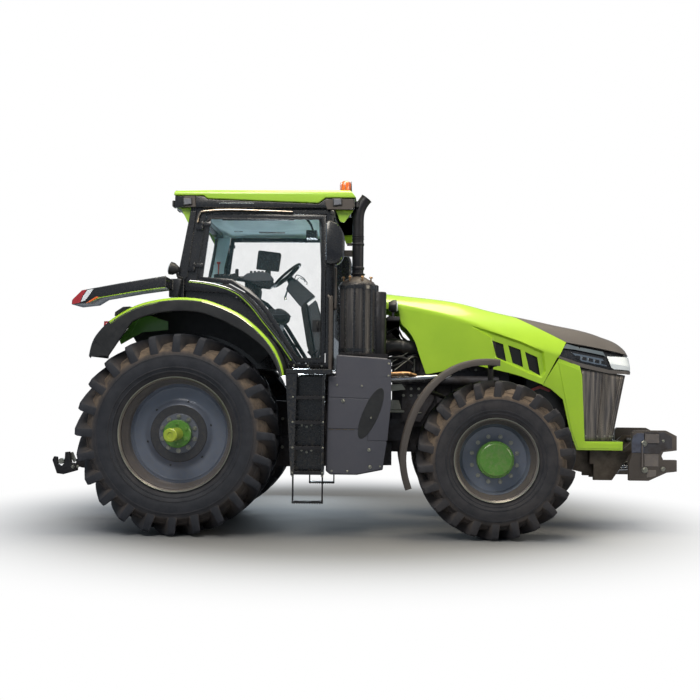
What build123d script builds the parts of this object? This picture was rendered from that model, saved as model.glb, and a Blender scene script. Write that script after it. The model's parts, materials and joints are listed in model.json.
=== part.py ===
from build123d import *
import os
from collections import namedtuple
from math import cos, degrees, radians, sin

os.makedirs("parts", exist_ok=True)

# A four-wheel-drive farm tractor. +X is ahead, +Y is the driver's left, +Z is up, in millimetres.
# The origin is on the ground under the middle of the whole machine.

# --- Driving dimensions -------------------------------------------------------------------------
# Stance
WHEELBASE = 3100.0
REAR_TRACK = 1960.0
FRONT_TRACK = 2036.0
REAR_OVERHANG = 1450.0          # rear axle to the back of the lower links' hooks
FRONT_OVERHANG = 1928.0         # front axle to the tips of the front linkage's jaws
REAR_AXLE_X = (REAR_OVERHANG - FRONT_OVERHANG - WHEELBASE) / 2
FRONT_AXLE_X = REAR_AXLE_X + WHEELBASE

# Wheels: radii at the lugs' tips, the rims' bead seats and the rims' flanges
REAR_TYRE_R = 985.0
REAR_TYRE_WIDTH = 716.0
REAR_BEAD_R = 533.0
REAR_RIM_WIDTH = 624.0
FRONT_TYRE_R = 770.0
FRONT_TYRE_WIDTH = 600.0
FRONT_BEAD_R = 381.0
FRONT_RIM_WIDTH = 544.0
RIM_FLANGE = 26.0               # height of a rim's flange over the bead seat
RIM_SHEET = 12.0
TYRE_WALL = 45.0
TREAD_WALL = 75.0

# Axles
BAR_AXLE_R = 63.0
BAR_AXLE_TIP_Y = 1530.0
TRUMPET_R = 170.0
TRUMPET_END_Y = 800.0
KINGPIN_Y = 720.0
KINGPIN_R = 75.0
FIT_GAP = 0.3                   # running gap round a shaft
SEAT_GAP = 0.3                  # gap between pieces that seat on each other

# Cab
CAB_HALF_WIDTH = 860.0
CAB_WALL = 65.0
CAB_FLOOR_Z = REAR_TYRE_R + 705
CAB_ROOF_Z = CAB_FLOOR_Z + 1570  # underside of the roof
CAB_FRONT = 1509.0              # the cab's stations, ahead of the rear axle
CAB_LEAN = 153.0                # how far the rear pillars lean forwards over their height
REAR_SILL_Z = 2 * REAR_TYRE_R + 455  # over the crown of the rear fenders
CAB_REAR = -108.0
DOOR_GAP = 8.0
GLASS = 6.0
ARCH_HALF_WIDTH = 596.0         # outside of the wheel arches' inner walls

# Roof
ROOF_TOP_Z = CAB_ROOF_Z + 180
ROOF_HALF_WIDTH = 925.0
ROOF_FRONT = 1747.0
ROOF_REAR = -115.0

# Bonnet
BONNET_HALF_WIDTH = 478.0
BONNET_SHEET = 14.0
BONNET_HINGE = 1650.0           # ahead of the rear axle
BONNET_PIVOT = (BONNET_HINGE, 2415.0)
NOSE = 1478.0                   # front of the nose, ahead of the front axle

# Drive line
ENGINE_HALF_WIDTH = 290.0
FRAME_HALF_WIDTH = 240.0
FRAME_BOTTOM_Z = FRONT_TYRE_R + 115
FRAME_TOP_Z = FRAME_BOTTOM_Z + 165
HOUSING_HALF_WIDTH = 300.0

# Rear wings, tanks and ladders
FENDER_OUTER_Y = 1335.0
FENDER_SHEET = 14.0
FLARE_DEPTH = 135.0
TANK_OUTER_Y = 1150.0
TANK_INNER_Y = 480.0
MUDGUARD_INNER_Y = 880.0
MUDGUARD_OUTER_Y = 1290.0
MUDGUARD_GAP = 150.0            # over the front tyre
LADDER_OUTER_Y = 1235.0

SIDES = (("left", 1), ("right", -1))


# --- Helpers --------------------------------------------------------------------------------------
def from_rear(*points):
    """Points given as (ahead of the rear axle, height)."""
    return [(REAR_AXLE_X + x, z) for x, z in points]


def from_front(*points):
    """Points given as (ahead of the front axle, height)."""
    return [(FRONT_AXLE_X + x, z) for x, z in points]


def in_cab(*points):
    """Points given as (ahead of the rear axle, height over the cab's floor)."""
    return [(REAR_AXLE_X + x, CAB_FLOOR_Z + z) for x, z in points]


def round_point(centre, radius, angle):
    """The point at a radius and an angle from a wheel's centre, in the side view."""
    return (centre[0] + radius * cos(radians(angle)), centre[1] + radius * sin(radians(angle)))


def slab(points, y_from, y_to, mode=Mode.ADD):
    """A plate whose side view is a polygon, from one distance off the middle plane to another."""
    with BuildSketch(Plane.XZ.offset(-y_from)) as outline:
        with BuildLine():
            Polyline(*points, close=True)
        make_face()
    extrude(outline.sketch, amount=-(y_to - y_from), mode=mode)


def sheet(points, thickness, y_from, y_to, mode=Mode.ADD):
    """A bent sheet whose side view is a line with a thickness on its left."""
    with BuildSketch(Plane.XZ.offset(-y_from)) as outline:
        with BuildLine():
            Polyline(*points)
            offset(amount=thickness, side=Side.LEFT, closed=True, kind=Kind.INTERSECTION)
        make_face()
    extrude(outline.sketch, amount=-(y_to - y_from), mode=mode)


def box(low, high, mode=Mode.ADD):
    """A box between two corners."""
    with Locations(Vector(*low)):
        Box(*(b - a for a, b in zip(low, high)), align=(Align.MIN, Align.MIN, Align.MIN), mode=mode)


def rod(start, end, radius, mode=Mode.ADD):
    """A round bar between two points."""
    run = Vector(*end) - Vector(*start)
    with BuildSketch(Plane(origin=start, z_dir=run)) as end_face:
        Circle(radius)
    extrude(end_face.sketch, amount=run.length, mode=mode)


def cross_bar(point, y_from, y_to, radius, mode=Mode.ADD):
    """A round bar across the machine, through a point of the side view."""
    x, z = point
    rod((x, y_from, z), (x, y_to, z), radius, mode)


def post(point, z_from, z_to, radius, mode=Mode.ADD):
    """An upright round bar over a point of the plan."""
    x, y = point
    rod((x, y, z_from), (x, y, z_to), radius, mode)


def side_box(sign, low, high, mode=Mode.ADD):
    """A box on the left (sign 1) or the right (sign -1), given as if it were on the left."""
    near, far = sorted((sign * low[1], sign * high[1]))
    box((low[0], near, low[2]), (high[0], far, high[2]), mode)


def turned(x, z, points, mode=Mode.ADD):
    """A ring turned about a wheel's axis, from a polygon of (distance off the middle, radius)."""
    with BuildSketch(Plane(origin=(x, 0, z), x_dir=(0, 1, 0), z_dir=(1, 0, 0))) as section:
        with BuildLine():
            Polyline(*points, close=True)
        make_face()
    revolve(section.sketch, axis=Axis((x, 0, z), (0, 1, 0)), mode=mode)


def turned_sheet(x, z, points, thickness, side=Side.LEFT):
    """A dish turned about a wheel's axis, from a line of (distance off the middle, radius)."""
    with BuildSketch(Plane(origin=(x, 0, z), x_dir=(0, 1, 0), z_dir=(1, 0, 0))) as section:
        with BuildLine():
            Polyline(*points)
            offset(amount=thickness, side=side, closed=True, kind=Kind.INTERSECTION)
        make_face()
    revolve(section.sketch, axis=Axis((x, 0, z), (0, 1, 0)))


# --- Wheels ---------------------------------------------------------------------------------------
# Each disc runs from the barrel in to the hub, as (distance outboard of the rim's middle, radius).
Wheel = namedtuple("Wheel", "axle x y tyre_r width bead_r rim_width well_r disc disc_hole_r lug")
# A lug's outer end lies behind its inner one; reach is how far it runs down the wall, from the tips.
Lug = namedtuple("Lug", "count height inner_width outer_width back reach crown")
LUG_FLOOR = 0.88                # shares of the tyre's half width: edge of the tread's floor,
LUG_END = 0.91                  # the lugs' outer corners
LUG_FOOT = 0.98                 # and where they run out on the wall
TYRE_BULGE = 0.42               # height of the widest place, as a share of the wall's
REAR_DISC_Y = 120.0
FRONT_DISC_Y = 57.0
REAR_HUB_R = 137.0
FRONT_HUB_R = 180.0
WHEELS = (
    Wheel("rear", REAR_AXLE_X, REAR_TRACK / 2, REAR_TYRE_R, REAR_TYRE_WIDTH, REAR_BEAD_R,
          REAR_RIM_WIDTH, REAR_BEAD_R - 45,
          ((40, REAR_BEAD_R - 50), (16, 440), (18, 350), (32, 336), (92, 292),
           (REAR_DISC_Y - 10, 208), (REAR_DISC_Y, 200)),
          REAR_HUB_R, Lug(24, 60, 76, 92, 200, 168, 22)),
    Wheel("front", FRONT_AXLE_X, FRONT_TRACK / 2, FRONT_TYRE_R, FRONT_TYRE_WIDTH, FRONT_BEAD_R,
          FRONT_RIM_WIDTH, FRONT_BEAD_R - 36,
          ((100, FRONT_BEAD_R - 41), (74, 318), (44, 300), (44, 268), (FRONT_DISC_Y, 256)),
          FRONT_HUB_R, Lug(22, 52, 70, 86, 166, 146, 20)),
)


def on_tyre(wheel, across, radius, angle):
    """A point of a wheel: distance outboard of the tyre's middle, radius, and angle ahead of the top."""
    return Vector(wheel.x + radius * sin(radians(angle)), wheel.y + across,
                  wheel.tyre_r + radius * cos(radians(angle)))


def facets(*corners):
    """The triangles of a face with three or four corners."""
    return [Face(Wire.make_polygon([corners[0], *pair])) for pair in zip(corners[1:], corners[2:])]


def band(wheel, start, end, angles, end_angles=None):
    """A ring of facets between two rings of points, each given as (distance outboard, radius)."""
    rings = []
    for (across, radius), turns in ((start, angles), (end, end_angles or angles)):
        rings.append([on_tyre(wheel, across, radius, turn) for turn in turns])
    near, far = rings
    if len(near) == len(far):
        return [face for k in range(len(near)) for face in facets(near[k - 1], near[k], far[k], far[k - 1])]
    pairs = []
    for k, turn in enumerate(angles):
        gaps = [abs((turn - other + 180) % 360 - 180) for other in end_angles]
        pairs.append((near[k], gaps.index(min(gaps))))
    faces = []
    for (point, at), (after, after_at) in zip(pairs, pairs[1:] + pairs[:1]):
        faces += facets(point, after, far[at])
        if at != after_at:
            faces += facets(after, far[after_at], far[at])
    return faces


def tread(wheel, row):
    """One row of tread lugs with the floor between them: the facets, and the angles of its lower edge."""
    lug = wheel.lug
    out = row * wheel.width / 2
    floor = wheel.tyre_r - lug.height
    pitch = 360 / lug.count
    along = degrees(1 / wheel.tyre_r)           # angle of a millimetre along the tread
    first = (pitch - pitch * row) / 4
    faces = []
    edge = []
    for i in range(lug.count):
        lead = first + pitch * i
        trail = lead - lug.inner_width * along
        after = trail + pitch
        other = lead + pitch / 2
        end_lead = lead - (lug.back - lug.outer_width / 2 + lug.inner_width / 2) * along
        end_trail = end_lead - lug.outer_width * along
        end_after = end_trail + pitch
        edge += [end_trail, end_lead]
        middle = (0, floor)
        crest = (0, wheel.tyre_r)
        rim = (LUG_FLOOR * out, floor - lug.crown)
        brow = (LUG_END * out, wheel.tyre_r - lug.crown)
        wall = (LUG_FOOT * out, wheel.tyre_r - lug.reach)
        top = [on_tyre(wheel, *crest, lead), on_tyre(wheel, *crest, trail),
               on_tyre(wheel, *brow, end_trail), on_tyre(wheel, *brow, end_lead)]
        foot = [on_tyre(wheel, *middle, lead), on_tyre(wheel, *middle, trail),
                on_tyre(wheel, *rim, end_trail), on_tyre(wheel, *rim, end_lead)]
        low = [on_tyre(wheel, *wall, end_trail), on_tyre(wheel, *wall, end_lead),
               on_tyre(wheel, *wall, end_after)]
        next_rim = on_tyre(wheel, *rim, end_after)
        centre = [on_tyre(wheel, *middle, turn)
                  for turn in (lead, other - lug.inner_width * along, other, after)]
        faces += facets(*top) + facets(foot[0], foot[1], top[1], top[0])
        faces += facets(foot[1], foot[2], top[2], top[1]) + facets(foot[3], foot[0], top[0], top[3])
        faces += facets(top[2], low[0], low[1], top[3])
        faces += facets(foot[2], low[0], top[2]) + facets(foot[3], low[1], top[3])
        faces += facets(next_rim, foot[3], *centre) + facets(foot[3], next_rim, low[2], low[1])
    return faces, edge


def tyre_solid(wheel):
    """A faceted tyre with two rows of lugs, open at the rim."""
    bead_y = wheel.rim_width / 2 - 2 * RIM_SHEET - 1
    bulge_y = wheel.width / 2
    floor = wheel.tyre_r - wheel.lug.height
    bulge = wheel.bead_r + TYRE_BULGE * (floor - wheel.bead_r)
    turns = [360 / wheel.lug.count * i for i in range(wheel.lug.count)]
    bead = (wheel.bead_r + SEAT_GAP) / cos(radians(turns[1] / 2))
    crown = (bulge_y - TREAD_WALL, floor - TREAD_WALL)
    inside = [(bead_y, bead), (bead_y - TYRE_WALL, bead), (bulge_y - TYRE_WALL, bulge), crown]
    inside += [(-across, radius) for across, radius in reversed(inside)]
    faces = []
    for row in (1, -1):
        lugs, edge = tread(wheel, row)
        wall = (row * LUG_FOOT * bulge_y, wheel.tyre_r - wheel.lug.reach)
        faces += lugs + band(wheel, wall, (row * bulge_y, bulge), edge, turns)
        faces += band(wheel, (row * bulge_y, bulge), (row * bead_y, bead), turns)
    for start, end in zip(inside, inside[1:]):
        faces += band(wheel, start, end, turns)
    return Solid(Shell(faces))


def rim_shell(wheel):
    """A rim's barrel with its drop centre, and the disc that bolts to the hub."""
    mid = wheel.y
    half = wheel.rim_width / 2
    flange = wheel.bead_r + RIM_FLANGE
    barrel = [(RIM_SHEET - half, flange), (2 * RIM_SHEET - half, wheel.bead_r),
              (-0.72 * half, wheel.bead_r - 3), (-0.55 * half, wheel.well_r)]
    barrel += [(-across, radius) for across, radius in reversed(barrel)]
    turned_sheet(wheel.x, wheel.tyre_r, [(mid + across, radius) for across, radius in barrel],
                 RIM_SHEET, Side.RIGHT)
    face = wheel.disc[-1][0]
    turned_sheet(wheel.x, wheel.tyre_r, [(mid + y, r) for y, r in wheel.disc]
                 + [(mid + face, wheel.disc_hole_r + SEAT_GAP)], RIM_SHEET)


for wheel in WHEELS:
    casing = tyre_solid(wheel)
    for side, sign in SIDES:
        with BuildPart() as tyre:
            add(casing)
            if sign < 0:
                mirror(about=Plane.XZ, mode=Mode.REPLACE)
        tyre.part.label = f"{wheel.axle}_tyre_{side}"
        export_step(tyre.part, f"parts/{wheel.axle}_tyre_{side}.step")

        with BuildPart() as rim:
            rim_shell(wheel)
            if sign < 0:
                mirror(about=Plane.XZ, mode=Mode.REPLACE)
        rim.part.label = f"{wheel.axle}_rim_{side}"
        export_step(rim.part, f"parts/{wheel.axle}_rim_{side}.step")


# --- Drive line -----------------------------------------------------------------------------------
FRONT_HUB_Y = 1010.0            # inner face of the front hubs
HUB_CAP_Y = 1225.0
REAR_HUB_FACE_Y = 1190.0
GEARBOX_FRONT = 2100.0
GEARBOX_REAR = 330.0
GEARBOX_HALF_WIDTH = 230.0
HOUSING_TOP_Z = 1330.0
ENGINE_FRONT = 230.0            # ahead of the front axle
PTO_R = 22.0
PTO_Z = 760.0
PTO_LENGTH = 90.0
DRAWBAR_HOLE_R = 17.0
DRAWBAR_REACH = 980.0
DRAWBAR_Z = 480.0
DRAWBAR_SHEET = 45.0
TOP_LINK_R = 16.0
TOP_LINK_Z = 1130.0
LINK_PIVOT = (-330.0, 640.0)    # lower links' pivot, from the rear axle
SHAFT_PIVOT = (-440.0, 1400.0)  # lift shaft
ARM_LENGTH = 400.0
ARM_END = (SHAFT_PIVOT[0] - ARM_LENGTH, SHAFT_PIVOT[1] - 30.0)
LINK_PIVOT_Y = 345.0
LINK_END_Y = 440.0
LINK_SHEET = 44.0
ARM_Y = 300.0
ARM_SHEET = 50.0
PIN_R = 24.0

rear_axle = (REAR_AXLE_X, REAR_TYRE_R)
front_axle = (FRONT_AXLE_X, FRONT_TYRE_R)
link_pivot, shaft_pivot, arm_end, bonnet_pivot = from_rear(LINK_PIVOT, SHAFT_PIVOT, ARM_END, BONNET_PIVOT)
BEAM_HALF = 85.0
STEER_ROD_Z = FRONT_TYRE_R - 75
STEER_ARM = 240.0
STEER_ROD_X = FRONT_AXLE_X - STEER_ARM
STEER_ROD_R = 22.0
STEER_ROD_END_Y = 520.0
EAR_REACH = 160.0               # top and bottom of a knuckle's yoke, from the axle's height
EAR_SHEET = 45.0

with BuildPart() as chassis_frame:
    for side, sign in SIDES:
        slab(from_front((-560, FRAME_BOTTOM_Z), (980, FRAME_BOTTOM_Z), (980, FRAME_TOP_Z),
                        (-560, FRAME_TOP_Z)), sign * (FRAME_HALF_WIDTH - 60), sign * FRAME_HALF_WIDTH)
    box((FRONT_AXLE_X - 560, -FRAME_HALF_WIDTH, FRAME_BOTTOM_Z),
        (FRONT_AXLE_X - 500, FRAME_HALF_WIDTH, FRAME_TOP_Z))
    box((FRONT_AXLE_X + 300, -FRAME_HALF_WIDTH, FRAME_BOTTOM_Z),
        (FRONT_AXLE_X + 360, FRAME_HALF_WIDTH, FRAME_TOP_Z))
    for end in (-1, 1):
        start = FRONT_AXLE_X + end * (BEAM_HALF + 10)
        box((min(start, start + end * 90), -150, FRONT_TYRE_R - 90),
            (max(start, start + end * 90), 150, FRAME_BOTTOM_Z + 100))
        box((min(start, start + end * 90), -FRAME_HALF_WIDTH, FRAME_BOTTOM_Z),
            (max(start, start + end * 90), FRAME_HALF_WIDTH, FRAME_BOTTOM_Z + 100))
    with BuildSketch(Plane(origin=(FRONT_AXLE_X - 190, 0, FRONT_TYRE_R), z_dir=(1, 0, 0))) as pivot_bore:
        Circle(55 + FIT_GAP)
    extrude(pivot_bore.sketch, amount=400, mode=Mode.SUBTRACT)
chassis_frame.part.label = "chassis_frame"
export_step(chassis_frame.part, "parts/chassis_frame.step")

with BuildPart() as engine_block:
    slab([(REAR_AXLE_X + GEARBOX_FRONT + SEAT_GAP, FRAME_TOP_Z + SEAT_GAP),
          (FRONT_AXLE_X + ENGINE_FRONT, FRAME_TOP_Z + SEAT_GAP), (FRONT_AXLE_X + ENGINE_FRONT, 1800),
          (FRONT_AXLE_X - 300, 1900), (REAR_AXLE_X + GEARBOX_FRONT + SEAT_GAP, 1900)],
         -ENGINE_HALF_WIDTH, ENGINE_HALF_WIDTH)
    slab([(REAR_AXLE_X + GEARBOX_FRONT + SEAT_GAP, 780), (FRONT_AXLE_X - 570, 780),
          (FRONT_AXLE_X - 570, FRAME_TOP_Z + SEAT_GAP), (REAR_AXLE_X + GEARBOX_FRONT + SEAT_GAP,
                                                         FRAME_TOP_Z + SEAT_GAP)], -170, 170)
    fillet(engine_block.edges().filter_by(Axis.X), radius=25)
    for side, sign in SIDES:
        slab(from_rear((2110, 1890), (2230, 1890), (1760, 2400),
                       (BONNET_HINGE + 22, BONNET_PIVOT[1] + 22),
                       (BONNET_HINGE - 22, BONNET_PIVOT[1] + 22),
                       (BONNET_HINGE - 22, BONNET_PIVOT[1] - 22)), sign * 190, sign * 230)
    cross_bar(bonnet_pivot, -266, 266, 16)
engine_block.part.label = "engine_block"
export_step(engine_block.part, "parts/engine_block.step")

with BuildPart() as transmission_housing:
    slab(from_rear((-GEARBOX_REAR, 640), (GEARBOX_REAR, 600), (GEARBOX_REAR, HOUSING_TOP_Z),
                   (-GEARBOX_REAR, HOUSING_TOP_Z)), -HOUSING_HALF_WIDTH, HOUSING_HALF_WIDTH)
    slab(from_rear((GEARBOX_REAR, 600), (GEARBOX_FRONT, 640), (GEARBOX_FRONT, HOUSING_TOP_Z - 70),
                   (GEARBOX_REAR, HOUSING_TOP_Z)), -GEARBOX_HALF_WIDTH, GEARBOX_HALF_WIDTH)
    cross_bar(rear_axle, -TRUMPET_END_Y, TRUMPET_END_Y, TRUMPET_R)
    cross_bar(rear_axle, -450, 450, TRUMPET_R + 60)
    # Brackets for the lift shaft, the lower links and the top link
    for side, sign in SIDES:
        slab(from_rear((-GEARBOX_REAR + 40, HOUSING_TOP_Z), (SHAFT_PIVOT[0] - 60, SHAFT_PIVOT[1] - 50),
                       (SHAFT_PIVOT[0] - 60, SHAFT_PIVOT[1] + 60),
                       (SHAFT_PIVOT[0] + 60, SHAFT_PIVOT[1] + 60), (-GEARBOX_REAR + 140, HOUSING_TOP_Z),
                       (-GEARBOX_REAR + 140, 1280), (-GEARBOX_REAR + 40, 1280)), sign * 150, sign * 230)
        slab(from_rear((-GEARBOX_REAR + 60, 560), (LINK_PIVOT[0] - 50, LINK_PIVOT[1] - 50),
                       (LINK_PIVOT[0] - 50, LINK_PIVOT[1] + 50), (-GEARBOX_REAR + 60, 760)),
             sign * (HOUSING_HALF_WIDTH - 30), sign * (LINK_PIVOT_Y - LINK_SHEET / 2 - 6))
        slab(from_rear((-GEARBOX_REAR + 10, TOP_LINK_Z - 70), (-GEARBOX_REAR - 90, TOP_LINK_Z - 45),
                       (-GEARBOX_REAR - 90, TOP_LINK_Z + 45), (-GEARBOX_REAR + 10, TOP_LINK_Z + 70)),
             sign * 32, sign * 57)
    # Bores
    cross_bar(rear_axle, -TRUMPET_END_Y - 1, -TRUMPET_END_Y + 140,
              BAR_AXLE_R + FIT_GAP, Mode.SUBTRACT)
    cross_bar(rear_axle, TRUMPET_END_Y - 140, TRUMPET_END_Y + 1, BAR_AXLE_R + FIT_GAP,
              Mode.SUBTRACT)
    cross_bar(shaft_pivot, -240, 240, 40 + FIT_GAP, Mode.SUBTRACT)
    cross_bar((REAR_AXLE_X - GEARBOX_REAR - 50, TOP_LINK_Z), -60, 60, TOP_LINK_R, Mode.SUBTRACT)
    # Output shaft, drawbar and the lower links' pins
    rod((REAR_AXLE_X - GEARBOX_REAR + 5, 0, PTO_Z), (REAR_AXLE_X - GEARBOX_REAR - PTO_LENGTH, 0, PTO_Z),
        PTO_R)
    slab(from_rear((-DRAWBAR_REACH, DRAWBAR_Z), (-DRAWBAR_REACH, DRAWBAR_Z + DRAWBAR_SHEET),
                   (0, DRAWBAR_Z + DRAWBAR_SHEET), (0, DRAWBAR_Z)), -50, 50)
    slab(from_rear((-280, DRAWBAR_Z + 10), (-280, 660), (-60, 660), (-60, DRAWBAR_Z + 10)), -90, 90)
    with BuildSketch(Plane.XY.offset(DRAWBAR_Z - 5)) as drawbar_hole:
        with Locations((REAR_AXLE_X - DRAWBAR_REACH + 60, 0)):
            Circle(DRAWBAR_HOLE_R)
    extrude(drawbar_hole.sketch, amount=DRAWBAR_SHEET + 10, mode=Mode.SUBTRACT)
    for side, sign in SIDES:
        cross_bar(link_pivot, sign * (HOUSING_HALF_WIDTH - 20),
                  sign * (LINK_PIVOT_Y + LINK_SHEET / 2 + 14), PIN_R)
transmission_housing.part.label = "transmission_housing"
export_step(transmission_housing.part, "parts/transmission_housing.step")

with BuildPart() as front_axle_beam:
    slab(from_front((-BEAM_HALF, FRONT_TYRE_R - 80), (BEAM_HALF, FRONT_TYRE_R - 80),
                    (BEAM_HALF, FRONT_TYRE_R + 80), (-BEAM_HALF, FRONT_TYRE_R + 80)), -640, 640)
    for side, sign in SIDES:
        post((FRONT_AXLE_X, sign * KINGPIN_Y), FRONT_TYRE_R - EAR_REACH + EAR_SHEET + FIT_GAP,
             FRONT_TYRE_R + EAR_REACH - EAR_SHEET - FIT_GAP, KINGPIN_R)
        side_box(sign, (FRONT_AXLE_X - 65, 600, FRONT_TYRE_R - 75),
                 (FRONT_AXLE_X + 65, KINGPIN_Y, FRONT_TYRE_R + 75))
        side_box(sign, (STEER_ROD_X - 30, 150, STEER_ROD_Z - 42),
                 (FRONT_AXLE_X - BEAM_HALF + 5, 190, STEER_ROD_Z + 42))
    rod((FRONT_AXLE_X - 180, 0, FRONT_TYRE_R), (FRONT_AXLE_X + 180, 0, FRONT_TYRE_R), 55)
    cross_bar((STEER_ROD_X, STEER_ROD_Z), -260, 260, 42)
    cross_bar((STEER_ROD_X, STEER_ROD_Z), -261, 261, STEER_ROD_R + FIT_GAP, Mode.SUBTRACT)
front_axle_beam.part.label = "front_axle_beam"
export_step(front_axle_beam.part, "parts/front_axle_beam.step")

with BuildPart() as steering_rod:
    cross_bar((STEER_ROD_X, STEER_ROD_Z), -STEER_ROD_END_Y, STEER_ROD_END_Y, STEER_ROD_R)
    for side, sign in SIDES:
        post((STEER_ROD_X, sign * STEER_ROD_END_Y), STEER_ROD_Z - 26, STEER_ROD_Z + 26, 38)
steering_rod.part.label = "steering_rod"
export_step(steering_rod.part, "parts/steering_rod.step")

MUDGUARD_R = FRONT_TYRE_R + MUDGUARD_GAP
# (angle round the axle, gap over the innermost stretch)
MUDGUARD_TRACK = ((197, 0), (181, 8), (162, 6), (142, 32), (125, 64), (112, 76), (100, 66), (88, 48))
MUDGUARD_SHEET = 10.0
MAST_Y = KINGPIN_Y - 68            # inboard of the tyre
for side, sign in SIDES:
    with BuildPart() as knuckle:
        for level in (-1, 1):
            low = FRONT_TYRE_R + level * (EAR_REACH - EAR_SHEET)
            high = FRONT_TYRE_R + level * EAR_REACH
            post((FRONT_AXLE_X, KINGPIN_Y), low, high, KINGPIN_R + 12)
            box((FRONT_AXLE_X - 70, KINGPIN_Y, min(low, high)),
                (FRONT_AXLE_X + 70, KINGPIN_Y + 150, max(low, high)))
        box((FRONT_AXLE_X - 110, KINGPIN_Y + 100, FRONT_TYRE_R - EAR_REACH),
            (FRONT_AXLE_X + 110, KINGPIN_Y + 160, FRONT_TYRE_R + EAR_REACH))
        cross_bar(front_axle, KINGPIN_Y + 150, FRONT_HUB_Y - SEAT_GAP, 165)
        # Steering arm under the rod's eye
        slab(from_front((-STEER_ARM - 35, FRONT_TYRE_R - EAR_REACH), (0, FRONT_TYRE_R - EAR_REACH),
                        (0, FRONT_TYRE_R - EAR_REACH + 40), (-STEER_ARM - 35, FRONT_TYRE_R - EAR_REACH + 40)),
             KINGPIN_Y - 35, KINGPIN_Y + 35)
        # Arm that carries the mudguard
        post((FRONT_AXLE_X, MAST_Y), FRONT_TYRE_R + EAR_REACH - 20, FRONT_TYRE_R + 225, 40)
        if sign < 0:
            mirror(about=Plane.XZ, mode=Mode.REPLACE)
    knuckle.part.label = f"front_knuckle_{side}"
    export_step(knuckle.part, f"parts/front_knuckle_{side}.step")

    with BuildPart() as mudguard:
        sheet([round_point(front_axle, MUDGUARD_R + gap, angle) for angle, gap in MUDGUARD_TRACK],
              -MUDGUARD_SHEET, MUDGUARD_INNER_Y, MUDGUARD_OUTER_Y)
        top = round_point(front_axle, MUDGUARD_R + 50, 90)[1] - 6
        post((FRONT_AXLE_X, MAST_Y), FRONT_TYRE_R + 225 + SEAT_GAP, top - 12, 28)
        cross_bar((FRONT_AXLE_X, top - 40), MAST_Y, MUDGUARD_OUTER_Y - 120, 24)
        box((FRONT_AXLE_X - 25, MUDGUARD_INNER_Y + 40, top - 50),
            (FRONT_AXLE_X + 25, MUDGUARD_OUTER_Y - 140, top + 8))
        if sign < 0:
            mirror(about=Plane.XZ, mode=Mode.REPLACE)
    mudguard.part.label = f"front_mudguard_{side}"
    export_step(mudguard.part, f"parts/front_mudguard_{side}.step")

    with BuildPart() as front_hub:
        disc_back = FRONT_TRACK / 2 + FRONT_DISC_Y
        cross_bar(front_axle, FRONT_HUB_Y, disc_back, FRONT_HUB_R + 60)
        cross_bar(front_axle, disc_back - 5, HUB_CAP_Y - 18, FRONT_HUB_R)
        cross_bar(front_axle, HUB_CAP_Y - 25, HUB_CAP_Y, FRONT_HUB_R - 22)
        if sign < 0:
            mirror(about=Plane.XZ, mode=Mode.REPLACE)
    front_hub.part.label = f"front_hub_{side}"
    export_step(front_hub.part, f"parts/front_hub_{side}.step")

    with BuildPart() as rear_hub:
        disc_back = REAR_TRACK / 2 + REAR_DISC_Y
        cross_bar(rear_axle, TRUMPET_END_Y - 120, BAR_AXLE_TIP_Y, BAR_AXLE_R)
        cross_bar(rear_axle, disc_back - 60, disc_back, REAR_HUB_R + 58)
        cross_bar(rear_axle, disc_back - 5, REAR_HUB_FACE_Y, REAR_HUB_R)
        if sign < 0:
            mirror(about=Plane.XZ, mode=Mode.REPLACE)
    rear_hub.part.label = f"rear_hub_{side}"
    export_step(rear_hub.part, f"parts/rear_hub_{side}.step")

# --- Rear linkage ---------------------------------------------------------------------------------
HOOK = ((-REAR_OVERHANG, 668), (-REAR_OVERHANG + 16, 706), (-1404, 700), (-1396, 630), (-1357, 600),
        (-1322, 640), (-1316, 752), (-1276, 756), (-1250, 640), (-1190, 636), (-1190, 560), (-1330, 520),
        (-1400, 530))
with BuildPart() as lower_links:
    for side, sign in SIDES:
        slab(from_rear(*HOOK), sign * (LINK_END_Y - 28), sign * (LINK_END_Y + 28))
        with BuildSketch(Plane.XY.offset(LINK_PIVOT[1] - 42)) as bar:
            with BuildLine():
                Polyline((REAR_AXLE_X - 1200, sign * (LINK_END_Y - LINK_SHEET / 2)),
                         (REAR_AXLE_X - 1200, sign * (LINK_END_Y + LINK_SHEET / 2)),
                         (REAR_AXLE_X + LINK_PIVOT[0] + 40, sign * (LINK_PIVOT_Y + LINK_SHEET / 2)),
                         (REAR_AXLE_X + LINK_PIVOT[0] + 40, sign * (LINK_PIVOT_Y - LINK_SHEET / 2)),
                         close=True)
            make_face()
        extrude(bar.sketch, amount=84)
        cross_bar(link_pivot, sign * (LINK_PIVOT_Y - 40),
                  sign * (LINK_PIVOT_Y + 40), PIN_R + FIT_GAP, Mode.SUBTRACT)
lower_links.part.label = "lower_links"
export_step(lower_links.part, "parts/lower_links.step")

ROD_Y = ARM_Y + 170.0
with BuildPart() as lift_rockshaft:
    cross_bar(shaft_pivot, -ARM_Y, ARM_Y, 40)
    for side, sign in SIDES:
        slab(from_rear((SHAFT_PIVOT[0] + 65, SHAFT_PIVOT[1] - 55), (SHAFT_PIVOT[0] + 65, SHAFT_PIVOT[1] + 55),
                       (ARM_END[0] - 40, ARM_END[1] + 38), (ARM_END[0] - 40, ARM_END[1] - 38)),
             sign * (ARM_Y - ARM_SHEET / 2), sign * (ARM_Y + ARM_SHEET / 2))
        cross_bar(arm_end, sign * ARM_Y, sign * (ROD_Y + 24), PIN_R - 4)
lift_rockshaft.part.label = "lift_rockshaft"
export_step(lift_rockshaft.part, "parts/lift_rockshaft.step")

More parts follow.
